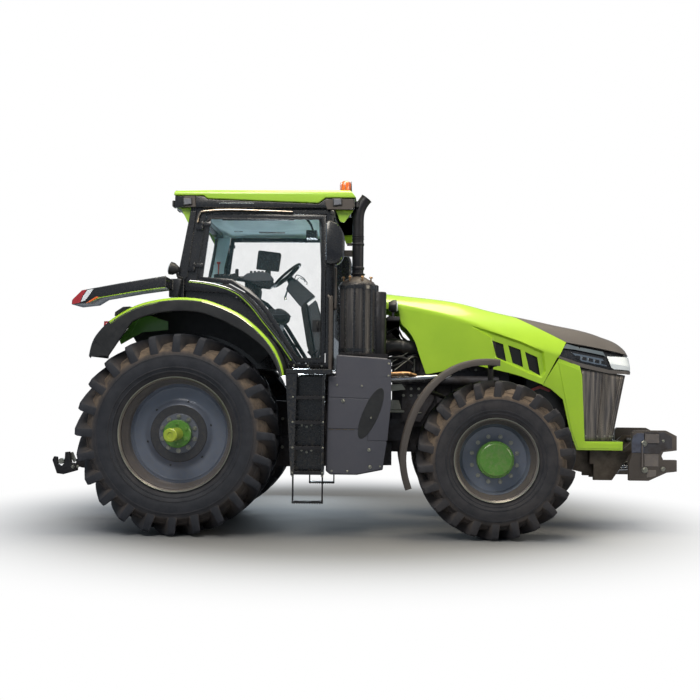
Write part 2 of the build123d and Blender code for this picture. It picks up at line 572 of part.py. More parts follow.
ROD_FOOT_Z = LINK_PIVOT[1] + 5.0
with BuildPart() as lift_rods:
    for side, sign in SIDES:
        x = REAR_AXLE_X + ARM_END[0]
        cross_bar((x, ARM_END[1]), sign * (ROD_Y - 20), sign * (ROD_Y + 20), 42)
        post((x, sign * ROD_Y), ARM_END[1] - 30, ROD_FOOT_Z + 30, 20)
        post((x, sign * ROD_Y), ARM_END[1] - 160, ROD_FOOT_Z + 200, 33)
        cross_bar((x, ROD_FOOT_Z), sign * (ROD_Y - 20), sign * (ROD_Y + 20), 42)
        cross_bar((x, ARM_END[1]), sign * (ROD_Y - 30), sign * (ROD_Y + 30), PIN_R - 4 + FIT_GAP,
                  Mode.SUBTRACT)
lift_rods.part.label = "lift_rods"
export_step(lift_rods.part, "parts/lift_rods.step")

# --- Front linkage --------------------------------------------------------------------------------
ARMS_PIVOT = (1590.0, 916.0)    # from the front axle
RAM_PIVOT = (1150.0, 600.0)
RAM_EYE = (1600.0, 640.0)
RAM_Y = 130.0
arms_pivot, ram_pivot, ram_eye = from_front(ARMS_PIVOT, RAM_PIVOT, RAM_EYE)
JAW_Y = 430.0
JAW_HALF = 34.0
with BuildPart() as front_linkage_frame:
    slab(from_front((880, 620), (1280, 530), (1280, 830), (980, FRAME_BOTTOM_Z - SEAT_GAP),
                    (880, FRAME_BOTTOM_Z - SEAT_GAP)), -FRAME_HALF_WIDTH, -FRAME_HALF_WIDTH + 60)
    slab(from_front((880, 620), (1280, 530), (1280, 830), (980, FRAME_BOTTOM_Z - SEAT_GAP),
                    (880, FRAME_BOTTOM_Z - SEAT_GAP)), FRAME_HALF_WIDTH - 60, FRAME_HALF_WIDTH)
    slab(from_front((1060, 690), (1290, 690), (1290, 830), (1060, 830)), -345, 345)
    for side, sign in SIDES:
        slab(from_front((1100, 826), (1100, 520), (1290, 520), (1480, 800), (1650, 870), (1650, 965),
                        (1540, 965), (1392, 826)), sign * 290, sign * 345)
        slab(from_front((1080, 540), (1200, 540), (1200, 720), (1080, 720)), sign * (RAM_Y + 42),
             sign * (RAM_Y + 62))
        cross_bar(ram_pivot, sign * 50, sign * (RAM_Y + 62), 16)
    cross_bar(arms_pivot, -400, 400, PIN_R + FIT_GAP, Mode.SUBTRACT)
front_linkage_frame.part.label = "front_linkage_frame"
export_step(front_linkage_frame.part, "parts/front_linkage_frame.step")

with BuildPart() as front_linkage_arms:
    for side, sign in SIDES:
        slab(from_front((1476, 1020), (1500, 1045), (1820, 1045), (FRONT_OVERHANG, 990),
                        (FRONT_OVERHANG, 842), (1790, 824), (1772, 784), (1790, 743),
                        (FRONT_OVERHANG, 743), (FRONT_OVERHANG, 626), (1823, 613), (1640, 528),
                        (1440, 528), (1440, 700), (1476, 820)), sign * (JAW_Y - JAW_HALF),
             sign * (JAW_Y + JAW_HALF))
    cross_bar(arms_pivot, -JAW_Y, JAW_Y, PIN_R)
    cross_bar(ram_eye, -JAW_Y, JAW_Y, PIN_R)
front_linkage_arms.part.label = "front_linkage_arms"
export_step(front_linkage_arms.part, "parts/front_linkage_arms.step")

# --- Rear fenders and lamp wings --------------------------------------------------------------------
# Crown of the rear fenders, as (angle round the axle, gap over the tyre)
FENDER_TRACK = ((138.5, 140), (131, 228), (121, 280), (108, 312), (98, 322), (80, 338), (72, 332), (62, 325),
                (52, 305), (42, 282), (33, 235), (29, 205))
with BuildPart() as rear_fenders:
    for side, sign in SIDES:
        sheet([round_point(rear_axle, REAR_TYRE_R + gap, angle) for angle, gap in FENDER_TRACK], FENDER_SHEET,
              sign * ARCH_HALF_WIDTH, sign * (FENDER_OUTER_Y - 12))
rear_fenders.part.label = "rear_fenders"
export_step(rear_fenders.part, "parts/rear_fenders.step")

with BuildPart() as fender_flares:
    for side, sign in SIDES:
        outer = [round_point(rear_axle, REAR_TYRE_R + gap - 2 * SEAT_GAP, angle)
                 for angle, gap in FENDER_TRACK]
        inner = [round_point(rear_axle, REAR_TYRE_R + gap - FLARE_DEPTH, angle)
                 for angle, gap in FENDER_TRACK[1:]]
        foot = [round_point(rear_axle, REAR_TYRE_R + gap, angle) for angle, gap in ((137.9, 133), (132, 18))]
        slab(outer + list(reversed(inner)) + list(reversed(foot)), sign * (FENDER_OUTER_Y - 42),
             sign * FENDER_OUTER_Y)
fender_flares.part.label = "fender_flares"
export_step(fender_flares.part, "parts/fender_flares.step")

# Side view of a lamp wing: (ahead of the rear axle, rise over the cab's rear sill)
LAMP_WING = ((-112, 95), (-112, -7), (-405, -49), (-763, -113), (-854, -169), (-1034, -190), (-1025, -135),
             (-938, -51), (-570, 19))
with BuildPart() as tail_lamp_wings:
    for side, sign in SIDES:
        slab(from_rear(*((x, REAR_SILL_Z + rise) for x, rise in LAMP_WING)), sign * 905, sign * 1290)
        slab(from_rear((-150, REAR_SILL_Z + 105), (-150, REAR_SILL_Z - 80), (-60, REAR_SILL_Z - 80),
                       (-20, REAR_SILL_Z + 105)), sign * (CAB_HALF_WIDTH + SEAT_GAP), sign * 960)
tail_lamp_wings.part.label = "tail_lamp_wings"
export_step(tail_lamp_wings.part, "parts/tail_lamp_wings.step")

# --- Cab ------------------------------------------------------------------------------------------
LEAN = CAB_LEAN / (CAB_ROOF_Z - REAR_SILL_Z)
HINGE_R = 18.0
HINGE_INSET = 148.0             # hinge line ahead of the rear pillars' back edge
HINGE_Y = CAB_HALF_WIDTH + HINGE_R + 4
HINGES_Z = (REAR_SILL_Z + 235, CAB_ROOF_Z - 180)


def rear_pillar_x(z, inset=0.0):
    """How far ahead of the rear axle the leaning rear pillars' back edge lies at a height."""
    return CAB_REAR + LEAN * (z - REAR_SILL_Z) + inset


def hinge_x(z):
    """How far ahead of the rear axle a door's leaning hinge line lies at a height."""
    return rear_pillar_x(z, HINGE_INSET)


def hinge_point(z, sign):
    """A point on a door's hinge line."""
    return (REAR_AXLE_X + hinge_x(z), sign * HINGE_Y, z)


def over_tyre(angle, gap):
    """A point over the rear tyre, at an angle round its axle: (ahead of the rear axle, height)."""
    return round_point((0, REAR_TYRE_R), REAR_TYRE_R + gap, angle)


# The doorway, from the rear bottom corner round by the arch: (ahead of the rear axle, height)
DOORWAY_TOP_Z = CAB_ROOF_Z - 55
DOORWAY_FRONT = CAB_FRONT - 84
DOORWAY = ((rear_pillar_x(REAR_SILL_Z + 135, 200), REAR_SILL_Z + 135),
           (rear_pillar_x(REAR_SILL_Z + 85, 215), REAR_SILL_Z + 85),
           over_tyre(73.3, 582), over_tyre(66.3, 555), over_tyre(60.2, 502), over_tyre(53.4, 441),
           over_tyre(32.1, 343), (DOORWAY_FRONT, CAB_FLOOR_Z), (DOORWAY_FRONT, DOORWAY_TOP_Z),
           (rear_pillar_x(DOORWAY_TOP_Z, 165), DOORWAY_TOP_Z))
HEADER_Z = CAB_ROOF_Z - 70      # underside of the headers
HEADER_HALF = CAB_HALF_WIDTH - 10
WINDSCREEN_Z = CAB_FLOOR_Z + 270
REAR_GLASS_Z = REAR_SILL_Z + 75
with BuildPart() as cab_frame:
    for side, sign in SIDES:
        slab(from_rear((rear_pillar_x(CAB_ROOF_Z), CAB_ROOF_Z), (CAB_REAR, REAR_SILL_Z), over_tyre(73.5, 491),
                       over_tyre(67.5, 481), over_tyre(60.9, 434), over_tyre(53.2, 383), over_tyre(42.5, 324),
                       over_tyre(31.5, 288), (CAB_FRONT, CAB_FLOOR_Z - 40), (CAB_FRONT, CAB_ROOF_Z)),
             sign * (CAB_HALF_WIDTH - CAB_WALL), sign * CAB_HALF_WIDTH)
    for side, sign in SIDES:
        slab(from_rear(*DOORWAY), sign * (CAB_HALF_WIDTH - CAB_WALL - 1), sign * (CAB_HALF_WIDTH + 1),
             Mode.SUBTRACT)
    for side, sign in SIDES:
        for z in HINGES_Z:
            x = REAR_AXLE_X + hinge_x(z)
            rod(hinge_point(z - 45, sign), hinge_point(z - 5, sign), HINGE_R)
            side_box(sign, (x - 60, CAB_HALF_WIDTH - 2, z - 42), (x, HINGE_Y + 8, z - 8))
            rod(hinge_point(z - 40, sign), hinge_point(z + 42, sign), HINGE_R / 2)
    # Headers, sills and the posts' inner faces
    box((REAR_AXLE_X + CAB_FRONT - 70, -HEADER_HALF, HEADER_Z),
        (REAR_AXLE_X + CAB_FRONT, HEADER_HALF, CAB_ROOF_Z))
    slab(from_rear((rear_pillar_x(HEADER_Z), HEADER_Z), (rear_pillar_x(CAB_ROOF_Z), CAB_ROOF_Z),
                   (rear_pillar_x(CAB_ROOF_Z, 90), CAB_ROOF_Z), (rear_pillar_x(HEADER_Z, 90), HEADER_Z)),
         -HEADER_HALF, HEADER_HALF)
    slab(from_rear((CAB_REAR, REAR_SILL_Z), (rear_pillar_x(REAR_GLASS_Z), REAR_GLASS_Z),
                   (rear_pillar_x(REAR_GLASS_Z, 60), REAR_GLASS_Z), (CAB_REAR + 60, REAR_SILL_Z)),
         -HEADER_HALF, HEADER_HALF)
    box((REAR_AXLE_X + CAB_FRONT - 45, -HEADER_HALF, CAB_FLOOR_Z - 50),
        (REAR_AXLE_X + CAB_FRONT, HEADER_HALF, WINDSCREEN_Z))
cab_frame.part.label = "cab_frame"
export_step(cab_frame.part, "parts/cab_frame.step")

CAB_STEP = over_tyre(32.1, 343)[0] - 30  # rear edge of the floor inside the doors
DECK = 2 * REAR_TYRE_R + 80      # raised floor behind the seat
with BuildPart() as cab_floor:
    slab(from_rear((430, CAB_FLOOR_Z - 50), (CAB_FRONT - 45 - SEAT_GAP, CAB_FLOOR_Z - 50),
                   (CAB_FRONT - 45 - SEAT_GAP, CAB_FLOOR_Z), (470, CAB_FLOOR_Z), (470, DECK),
                   (CAB_REAR + 40, DECK), (CAB_REAR + 40, REAR_SILL_Z - SEAT_GAP),
                   (CAB_REAR, REAR_SILL_Z - SEAT_GAP), (CAB_REAR, DECK - 40), (430, DECK - 40)),
         -ARCH_HALF_WIDTH + 30, ARCH_HALF_WIDTH - 30)
    box((REAR_AXLE_X + CAB_STEP, -CAB_HALF_WIDTH + CAB_WALL + SEAT_GAP, CAB_FLOOR_Z - 50),
        (REAR_AXLE_X + CAB_FRONT - 45 - SEAT_GAP, CAB_HALF_WIDTH - CAB_WALL - SEAT_GAP, CAB_FLOOR_Z))
    arch = [round_point(rear_axle, REAR_TYRE_R + gap, angle) for angle, gap in FENDER_TRACK[2:]]
    for side, sign in SIDES:
        slab(arch + from_rear((CAB_STEP, CAB_FLOOR_Z - 50), (-40, CAB_FLOOR_Z - 50),
                              (CAB_REAR, DECK - 40), (CAB_REAR, DECK + 150)),
             sign * (ARCH_HALF_WIDTH - 30), sign * (ARCH_HALF_WIDTH - SEAT_GAP))
        # Shelf over the wheel, inside the door
        sheet([round_point(rear_axle, REAR_TYRE_R + gap + FENDER_SHEET + 6, angle)
               for angle, gap in FENDER_TRACK[4:]], 20,
              sign * (ARCH_HALF_WIDTH - 30), sign * (CAB_HALF_WIDTH - CAB_WALL - SEAT_GAP))
    # Mounts down to the gearbox
    for side, sign in SIDES:
        for x in (520, 1400):
            top = HOUSING_TOP_Z - 70 * (x - 40 - GEARBOX_REAR) / (GEARBOX_FRONT - GEARBOX_REAR)
            post((REAR_AXLE_X + x, sign * 180), top + SEAT_GAP, CAB_FLOOR_Z - 45, 40)
cab_floor.part.label = "cab_floor"
export_step(cab_floor.part, "parts/cab_floor.step")

# Seam between the roof's black base and its green top: (ahead of the rear axle, drop from the roof's top)
ROOF_SEAM = ((ROOF_REAR, 60), (180, 60), (219, 91), (1342, 134), (1413, 80), (ROOF_FRONT - 40, 80))
with BuildPart() as roof_base:
    slab(from_rear((ROOF_REAR, CAB_ROOF_Z + SEAT_GAP), (ROOF_FRONT - 40, CAB_ROOF_Z + SEAT_GAP),
                   *((x, ROOF_TOP_Z - drop) for x, drop in reversed(ROOF_SEAM))),
         -ROOF_HALF_WIDTH + 20, ROOF_HALF_WIDTH - 20)
roof_base.part.label = "roof_base"
export_step(roof_base.part, "parts/roof_base.step")

with BuildPart() as roof_shell:
    slab(from_rear((ROOF_REAR - 8, ROOF_TOP_Z - 60 + SEAT_GAP),
                   *((x, ROOF_TOP_Z - drop + SEAT_GAP) for x, drop in ROOF_SEAM[1:-1]),
                   (ROOF_FRONT - 20, ROOF_TOP_Z - 80 + SEAT_GAP), (ROOF_FRONT, ROOF_TOP_Z - 112),
                   (ROOF_FRONT - 83, ROOF_TOP_Z), (300, ROOF_TOP_Z), (ROOF_REAR, ROOF_TOP_Z - 8)),
         -ROOF_HALF_WIDTH, ROOF_HALF_WIDTH)
    fillet(roof_shell.edges().filter_by(Axis.X).group_by(Axis.Z)[-1], radius=40)
roof_shell.part.label = "roof_shell"
export_step(roof_shell.part, "parts/roof_shell.step")

with BuildPart() as roof_lamps:
    for side, sign in SIDES:
        for x_low, x_high in ((ROOF_FRONT - 40 + SEAT_GAP, ROOF_FRONT - 5),
                              (ROOF_REAR - 40, ROOF_REAR - SEAT_GAP)):
            for y in (500, 760):
                side_box(sign, (REAR_AXLE_X + x_low, y, CAB_ROOF_Z + 12),
                         (REAR_AXLE_X + x_high, y + 110, CAB_ROOF_Z + 80))
        for x in (80, 1520):
            side_box(sign, (REAR_AXLE_X + x, ROOF_HALF_WIDTH - 20 + SEAT_GAP, CAB_ROOF_Z + 20),
                     (REAR_AXLE_X + x + 95, ROOF_HALF_WIDTH + 12, CAB_ROOF_Z + 90))
    post((REAR_AXLE_X + 1600, -600), ROOF_TOP_Z + SEAT_GAP, ROOF_TOP_Z + 35, 62)
    post((REAR_AXLE_X + 1600, -600), ROOF_TOP_Z + 30, ROOF_TOP_Z + 150, 55)
roof_lamps.part.label = "roof_lamps"
export_step(roof_lamps.part, "parts/roof_lamps.step")

with BuildPart() as cab_glass:
    box((REAR_AXLE_X + CAB_FRONT - 20, -CAB_HALF_WIDTH + CAB_WALL + SEAT_GAP, WINDSCREEN_Z + SEAT_GAP),
        (REAR_AXLE_X + CAB_FRONT - 20 + GLASS, CAB_HALF_WIDTH - CAB_WALL - SEAT_GAP, HEADER_Z - SEAT_GAP))
    slab(from_rear((rear_pillar_x(REAR_GLASS_Z, 20), REAR_GLASS_Z + SEAT_GAP),
                   (rear_pillar_x(HEADER_Z, 20), HEADER_Z - SEAT_GAP),
                   (rear_pillar_x(HEADER_Z, 20 + GLASS), HEADER_Z - SEAT_GAP),
                   (rear_pillar_x(REAR_GLASS_Z, 20 + GLASS), REAR_GLASS_Z + SEAT_GAP)),
         -CAB_HALF_WIDTH + CAB_WALL + SEAT_GAP, CAB_HALF_WIDTH - CAB_WALL - SEAT_GAP)
cab_glass.part.label = "cab_glass"
export_step(cab_glass.part, "parts/cab_glass.step")

DOOR_SHEET = 34.0
DOOR_RIM = 46.0
for side, sign in SIDES:
    with BuildPart() as door:
        with BuildSketch(Plane.XZ.offset(-(CAB_HALF_WIDTH - DOOR_SHEET - 2))) as leaf:
            with BuildLine():
                Polyline(*from_rear(*DOORWAY), close=True)
            make_face()
            offset(amount=-DOOR_GAP, kind=Kind.INTERSECTION, mode=Mode.REPLACE)
            offset(amount=-DOOR_RIM, kind=Kind.INTERSECTION, mode=Mode.SUBTRACT)
        extrude(amount=-DOOR_SHEET)
        for z in HINGES_Z:
            x = REAR_AXLE_X + hinge_x(z)
            rod(hinge_point(z - 5 + SEAT_GAP, 1), hinge_point(z + 40, 1), HINGE_R)
            box((x + 2, CAB_HALF_WIDTH + 3, z), (x + 90, HINGE_Y, z + 35))
            box((x + 62, CAB_HALF_WIDTH - 10, z), (x + 90, HINGE_Y, z + 35))
            rod(hinge_point(z - 60, 1), hinge_point(z + 60, 1), HINGE_R / 2 + FIT_GAP, Mode.SUBTRACT)
        if sign < 0:
            mirror(about=Plane.XZ, mode=Mode.REPLACE)
    door.part.label = f"door_{side}"
    export_step(door.part, f"parts/door_{side}.step")

    with BuildPart() as door_glass:
        with BuildSketch(Plane.XZ.offset(-(CAB_HALF_WIDTH - DOOR_SHEET / 2))) as pane:
            with BuildLine():
                Polyline(*from_rear(*DOORWAY), close=True)
            make_face()
            offset(amount=-(DOOR_GAP + DOOR_RIM + SEAT_GAP), kind=Kind.INTERSECTION, mode=Mode.REPLACE)
        extrude(amount=-GLASS)
        if sign < 0:
            mirror(about=Plane.XZ, mode=Mode.REPLACE)
    door_glass.part.label = f"door_glass_{side}"
    export_step(door_glass.part, f"parts/door_glass_{side}.step")

with BuildPart() as operator_seat:
    slab(in_cab((640, SEAT_GAP), (900, SEAT_GAP), (900, 450), (640, 450)), -170, 170)
    slab(in_cab((540, 440), (1010, 440), (1010, 640), (540, 640)), -240, 240)
    slab(in_cab((540, 560), (660, 610), (600, 1070), (500, 1070)), -230, 230)
    slab(in_cab((420, 780), (900, 810), (900, 900), (420, 870)), -400, -270)
    slab(in_cab((560, 510), (680, 510), (720, 810), (560, 790)), -330, -230)
operator_seat.part.label = "operator_seat"
export_step(operator_seat.part, "parts/operator_seat.step")

STEERING_WHEEL_R = 195.0
with BuildPart() as steering_column:
    slab(in_cab((1200, SEAT_GAP), (1400, SEAT_GAP), (1360, 510), (1300, 670), (1020, 950), (960, 880),
                (1230, 510)), -70, 70)
    wheel_x, wheel_z = in_cab((952, 988))[0]
    wheel_plane = Plane(origin=(wheel_x, 0, wheel_z), x_dir=(0.77, 0, 0.64), z_dir=(-0.64, 0, 0.77))
    with BuildSketch(wheel_plane):
        Circle(STEERING_WHEEL_R)
        Circle(STEERING_WHEEL_R - 32, mode=Mode.SUBTRACT)
        Rectangle(2 * STEERING_WHEEL_R - 40, 40)
    extrude(amount=14, both=True)
    rod((wheel_x, 0, wheel_z), (wheel_x + 78, 0, wheel_z - 88), 40)
steering_column.part.label = "steering_column"
export_step(steering_column.part, "parts/steering_column.step")

# --- Side tanks, ladders, exhaust and mirrors ---------------------------------------------------------
TANK_SWEEP_R = ((MUDGUARD_R + 40) ** 2 + (MUDGUARD_OUTER_Y - KINGPIN_Y) ** 2) ** 0.5 + 15
with BuildPart() as side_tanks:
    for side, sign in SIDES:
        slab(from_rear((1470, 1568), (1455, 640), (1500, 604), (1760, 604), (2012, 655), (2090, 1300),
                       (2090, 1740), (1556, 1775), (1542, 1568)), sign * TANK_INNER_Y,
             sign * TANK_OUTER_Y)
        side_box(sign, (REAR_AXLE_X + 1600, GEARBOX_HALF_WIDTH + SEAT_GAP, 700),
                 (REAR_AXLE_X + 1700, TANK_INNER_Y + 10, 800))
        side_box(sign, (REAR_AXLE_X + 1850, GEARBOX_HALF_WIDTH + SEAT_GAP, 700),
                 (REAR_AXLE_X + 1950, TANK_INNER_Y + 10, 800))
    for side, sign in SIDES:
        with BuildSketch(Plane.XY.offset(500)) as sweep_cut:
            with Locations((FRONT_AXLE_X, sign * KINGPIN_Y)):
                Circle(TANK_SWEEP_R)
        extrude(sweep_cut.sketch, amount=1400, mode=Mode.SUBTRACT)
side_tanks.part.label = "side_tanks"
export_step(side_tanks.part, "parts/side_tanks.step")

PLATFORM_Z = CAB_FLOOR_Z - 61
RAIL_TOP_Z = CAB_FLOOR_Z + 650
LADDER_FRONT = 1428.0
RUNGS_Z = (1356, 1114, 867, 626, 345)
with BuildPart() as boarding_ladders:
    for side, sign in SIDES:
        side_box(sign, (REAR_AXLE_X + 1085, CAB_HALF_WIDTH + SEAT_GAP, PLATFORM_Z - 48),
                 (REAR_AXLE_X + 1450, LADDER_OUTER_Y, PLATFORM_Z))
        slab(from_rear((1060, PLATFORM_Z - 40), (1170, PLATFORM_Z - 40), (1150, 600), (1120, 600)),
             sign * 1060, sign * LADDER_OUTER_Y)
        slab(from_rear((LADDER_FRONT, PLATFORM_Z - 40), (LADDER_FRONT + 12, PLATFORM_Z - 40),
                       (LADDER_FRONT + 8, 600), (LADDER_FRONT - 6, 600)), sign * 1060,
             sign * LADDER_OUTER_Y)
        for z in RUNGS_Z:
            side_box(sign, (REAR_AXLE_X + 1135, 1060, z - 18),
                     (REAR_AXLE_X + LADDER_FRONT + 6, LADDER_OUTER_Y, z + 12))
        for x in (1135, LADDER_FRONT - 6):
            side_box(sign, (REAR_AXLE_X + x, 1130, 330), (REAR_AXLE_X + x + 12, 1165, 640))
        # Handrail in front of the door
        post((REAR_AXLE_X + 1487, sign * 930), PLATFORM_Z - 30, RAIL_TOP_Z, 14)
        cross_bar((REAR_AXLE_X + 1487, RAIL_TOP_Z - 30), sign * 930, sign * (CAB_HALF_WIDTH + SEAT_GAP),
                  10)
        side_box(sign, (REAR_AXLE_X + 1440, CAB_HALF_WIDTH + SEAT_GAP, PLATFORM_Z - 48),
                 (REAR_AXLE_X + 1510, 960, PLATFORM_Z))
boarding_ladders.part.label = "boarding_ladders"
export_step(boarding_ladders.part, "parts/boarding_ladders.step")

CANISTER = (1740.0, -793.0)
CANISTER_R = 187.0
STACK_R = 60.0
with BuildPart() as exhaust_canister:
    post((REAR_AXLE_X + CANISTER[0], CANISTER[1]), 1785, 2490, CANISTER_R)
    post((REAR_AXLE_X + CANISTER[0], CANISTER[1]), 2480, 2522, CANISTER_R - 30)
    post((REAR_AXLE_X + 1955, CANISTER[1] + 20), 1785, 2498, 78)
    box((REAR_AXLE_X + 1740, CANISTER[1] - 40, 1785), (REAR_AXLE_X + 1955, CANISTER[1] + 90, 2440))
    slab(from_rear((1570, 1775 + SEAT_GAP), (2050, 1743 + SEAT_GAP), (2050, 1795), (1570, 1795)), -940, -600)
exhaust_canister.part.label = "exhaust_canister"
export_step(exhaust_canister.part, "parts/exhaust_canister.step")

with BuildPart() as exhaust_stack:
    stack_x = REAR_AXLE_X + CANISTER[0]
    with BuildLine(Plane.XZ.offset(-CANISTER[1])) as stack_path:
        Line((stack_x, 2522 + SEAT_GAP), (stack_x, 3130))
        RadiusArc((stack_x, 3130), (stack_x + 90, 3370), -380)
    with BuildSketch(Plane(origin=(stack_x, CANISTER[1], 2522 + SEAT_GAP), z_dir=(0, 0, 1))) as stack_section:
        Circle(STACK_R)
    sweep(stack_section.sketch, path=stack_path.line)
    post((stack_x, CANISTER[1]), 2640, 2670, STACK_R + 14)
    post((stack_x, CANISTER[1]), 2890, 2930, STACK_R + 8)
exhaust_stack.part.label = "exhaust_stack"
export_step(exhaust_stack.part, "parts/exhaust_stack.step")

MIRROR_TOP_Z = CAB_ROOF_Z - 157
with BuildPart() as mirrors:
    for side, sign in SIDES:
        slab(from_rear((1450, MIRROR_TOP_Z - 447), (1615, MIRROR_TOP_Z - 447), (1615, MIRROR_TOP_Z),
                       (1450, MIRROR_TOP_Z)), sign * 990, sign * 1200)
        post((REAR_AXLE_X + 1485, sign * 1095), MIRROR_TOP_Z - 13, MIRROR_TOP_Z + 87, 18)
        cross_bar((REAR_AXLE_X + 1485, MIRROR_TOP_Z + 67), sign * 1095,
                  sign * (CAB_HALF_WIDTH + SEAT_GAP), 13)
mirrors.part.label = "mirrors"
export_step(mirrors.part, "parts/mirrors.step")

# --- Bonnet and nose ------------------------------------------------------------------------------
# Sections from the hinge to the nose; the side's crease and the crown's shoulder each have a half width
Section = namedtuple("Section", "ahead half_width crease_z shoulder_y shoulder_z top_z")
BONNET_SECTIONS = (
    Section(BONNET_HINGE - 10 - WHEELBASE, BONNET_HALF_WIDTH - 30, 2405, 300, 2488, 2503),
    Section(-942, BONNET_HALF_WIDTH, 2327, 300, 2432, 2450),
    Section(-338, BONNET_HALF_WIDTH, 2188, 292, 2360, 2380),
    Section(60, BONNET_HALF_WIDTH, 2050, 285, 2262, 2284),
    Section(652, BONNET_HALF_WIDTH - 8, 1838, 275, 2135, 2160),
    Section(1197, BONNET_HALF_WIDTH - 30, 1740, 262, 2000, 2030),
    Section(NOSE - 34, BONNET_HALF_WIDTH - 62, 1700, 250, 1866, 1892),
    Section(NOSE, BONNET_HALF_WIDTH - 110, 1690, 235, 1810, 1830),
)
BONNET_FLOOR_Z = 1350.0
# Lower edge of the bonnet from the hinge to the headlamps: (ahead of the front axle, height)
BONNET_EDGE = ((BONNET_HINGE - 20 - WHEELBASE, 2300), (-930, 2270), (-911, 2130), (-844, 2058),
               (-773, 1951), (-718, 1791), (-651, 1606), (-402, 1650), (-276, 1728), (-98, 1691),
               (257, 1612), (540, 1515), (711, 1795))
LAMP_EDGE = ((711, 1795), (936, 1716), (1244, 1648), (NOSE + 20, 1632))
CAP_EDGE = ((264, 2400), (264, 2226), (806, 1938), (711, 1795))
VENTS = (((20, 1955), (138, 1910), (168, 1722), (60, 1767)),
         ((186, 1900), (315, 1852), (345, 1665), (237, 1719)),
         ((365, 1832), (493, 1783), (523, 1590), (405, 1640)))


def bonnet_body(inset, mode=Mode.ADD):
    """The bonnet's whole form down to its floor, or the same form a sheet smaller all round."""
    faces = []
    for section in BONNET_SECTIONS:
        x = FRONT_AXLE_X + section.ahead
        x += -inset if section is BONNET_SECTIONS[0] else 0
        x -= inset if section is BONNET_SECTIONS[-1] else 0
        half = section.half_width - inset
        with BuildSketch(Plane(origin=(x, 0, 0), x_dir=(0, 1, 0), z_dir=(1, 0, 0))) as face:
            with BuildLine():
                Polyline((-half, BONNET_FLOOR_Z - inset), (-half, section.crease_z - inset / 2),
                         (-section.shoulder_y, section.shoulder_z - inset), (0, section.top_z - inset),
                         (section.shoulder_y, section.shoulder_z - inset),
                         (half, section.crease_z - inset / 2), (half, BONNET_FLOOR_Z - inset),
                         close=True)
            make_face()
        faces.append(face.sketch)
    loft(faces, ruled=True, mode=mode)


with BuildPart() as bonnet_shell:
    bonnet_body(0)
    bonnet_body(BONNET_SHEET, Mode.SUBTRACT)
    slab(from_front(*BONNET_EDGE, *reversed(CAP_EDGE[:3]), (BONNET_HINGE - 20 - WHEELBASE, 2560)),
         -BONNET_HALF_WIDTH - 10, BONNET_HALF_WIDTH + 10, Mode.INTERSECT)
    for vent in VENTS:
        slab(from_front(*vent), -BONNET_HALF_WIDTH - 10, BONNET_HALF_WIDTH + 10, Mode.SUBTRACT)
    for side, sign in SIDES:
        slab(from_rear((BONNET_HINGE - 5, BONNET_PIVOT[1] - 35), (BONNET_HINGE + 40, BONNET_PIVOT[1] - 35),
                       (BONNET_HINGE + 60, 2478), (BONNET_HINGE - 5, 2485)), sign * 236, sign * 262)
        slab(from_rear((BONNET_HINGE - 25, BONNET_PIVOT[1] - 35), (BONNET_HINGE - 5, BONNET_PIVOT[1] - 35),
                       (BONNET_HINGE - 5, 2440), (BONNET_HINGE - 25, 2440)), sign * 236, sign * 262)
    cross_bar(bonnet_pivot, -270, 270, 16 + FIT_GAP, Mode.SUBTRACT)
bonnet_shell.part.label = "bonnet_shell"
export_step(bonnet_shell.part, "parts/bonnet_shell.step")

with BuildPart() as nose_cap:
    bonnet_body(0)
    bonnet_body(BONNET_SHEET, Mode.SUBTRACT)
    slab(from_front((264 + SEAT_GAP, 2400), (264 + SEAT_GAP, 2226 + SEAT_GAP),
                    (806 + SEAT_GAP, 1938 + SEAT_GAP), (NOSE + 20, 1812 + SEAT_GAP), (NOSE + 20, 2400)),
         -BONNET_HALF_WIDTH - 10, BONNET_HALF_WIDTH + 10, Mode.INTERSECT)
nose_cap.part.label = "nose_cap"
export_step(nose_cap.part, "parts/nose_cap.step")

with BuildPart() as headlamps:
    bonnet_body(0)
    slab(from_front((711 + SEAT_GAP, 1795), *LAMP_EDGE[1:], (NOSE + 20, 1812), (806 + SEAT_GAP, 1938)),
         -BONNET_HALF_WIDTH - 10, BONNET_HALF_WIDTH + 10, Mode.INTERSECT)
    slab(from_front((600, 1500), (NOSE - 60, 1500), (NOSE - 60, 1930), (600, 2000)),
         -BONNET_HALF_WIDTH + 130, BONNET_HALF_WIDTH - 130, Mode.SUBTRACT)
headlamps.part.label = "headlamps"
export_step(headlamps.part, "parts/headlamps.step")

BAR_Z = 836.0
with BuildPart() as nose_frame:
    for side, sign in SIDES:
        slab(from_front((553, 1502), (724, 1778), (936, 1702), (960, 1600), (988, BAR_Z + 90),
                        (1378, BAR_Z + 90), (1372, BAR_Z), (905, BAR_Z), (834, 1036), (764, 1354),
                        (640, 1462)), sign * (BONNET_HALF_WIDTH - 45), sign * (BONNET_HALF_WIDTH - 15))
        side_box(sign, (FRONT_AXLE_X + 875, FRAME_HALF_WIDTH + SEAT_GAP, FRAME_BOTTOM_Z + 45),
                 (FRONT_AXLE_X + 935, BONNET_HALF_WIDTH - 20, FRAME_BOTTOM_Z + 125))
    box((FRONT_AXLE_X + 1335, -BONNET_HALF_WIDTH + 15, BAR_Z),
        (FRONT_AXLE_X + 1375, BONNET_HALF_WIDTH - 15, BAR_Z + 90))
nose_frame.part.label = "nose_frame"
export_step(nose_frame.part, "parts/nose_frame.step")

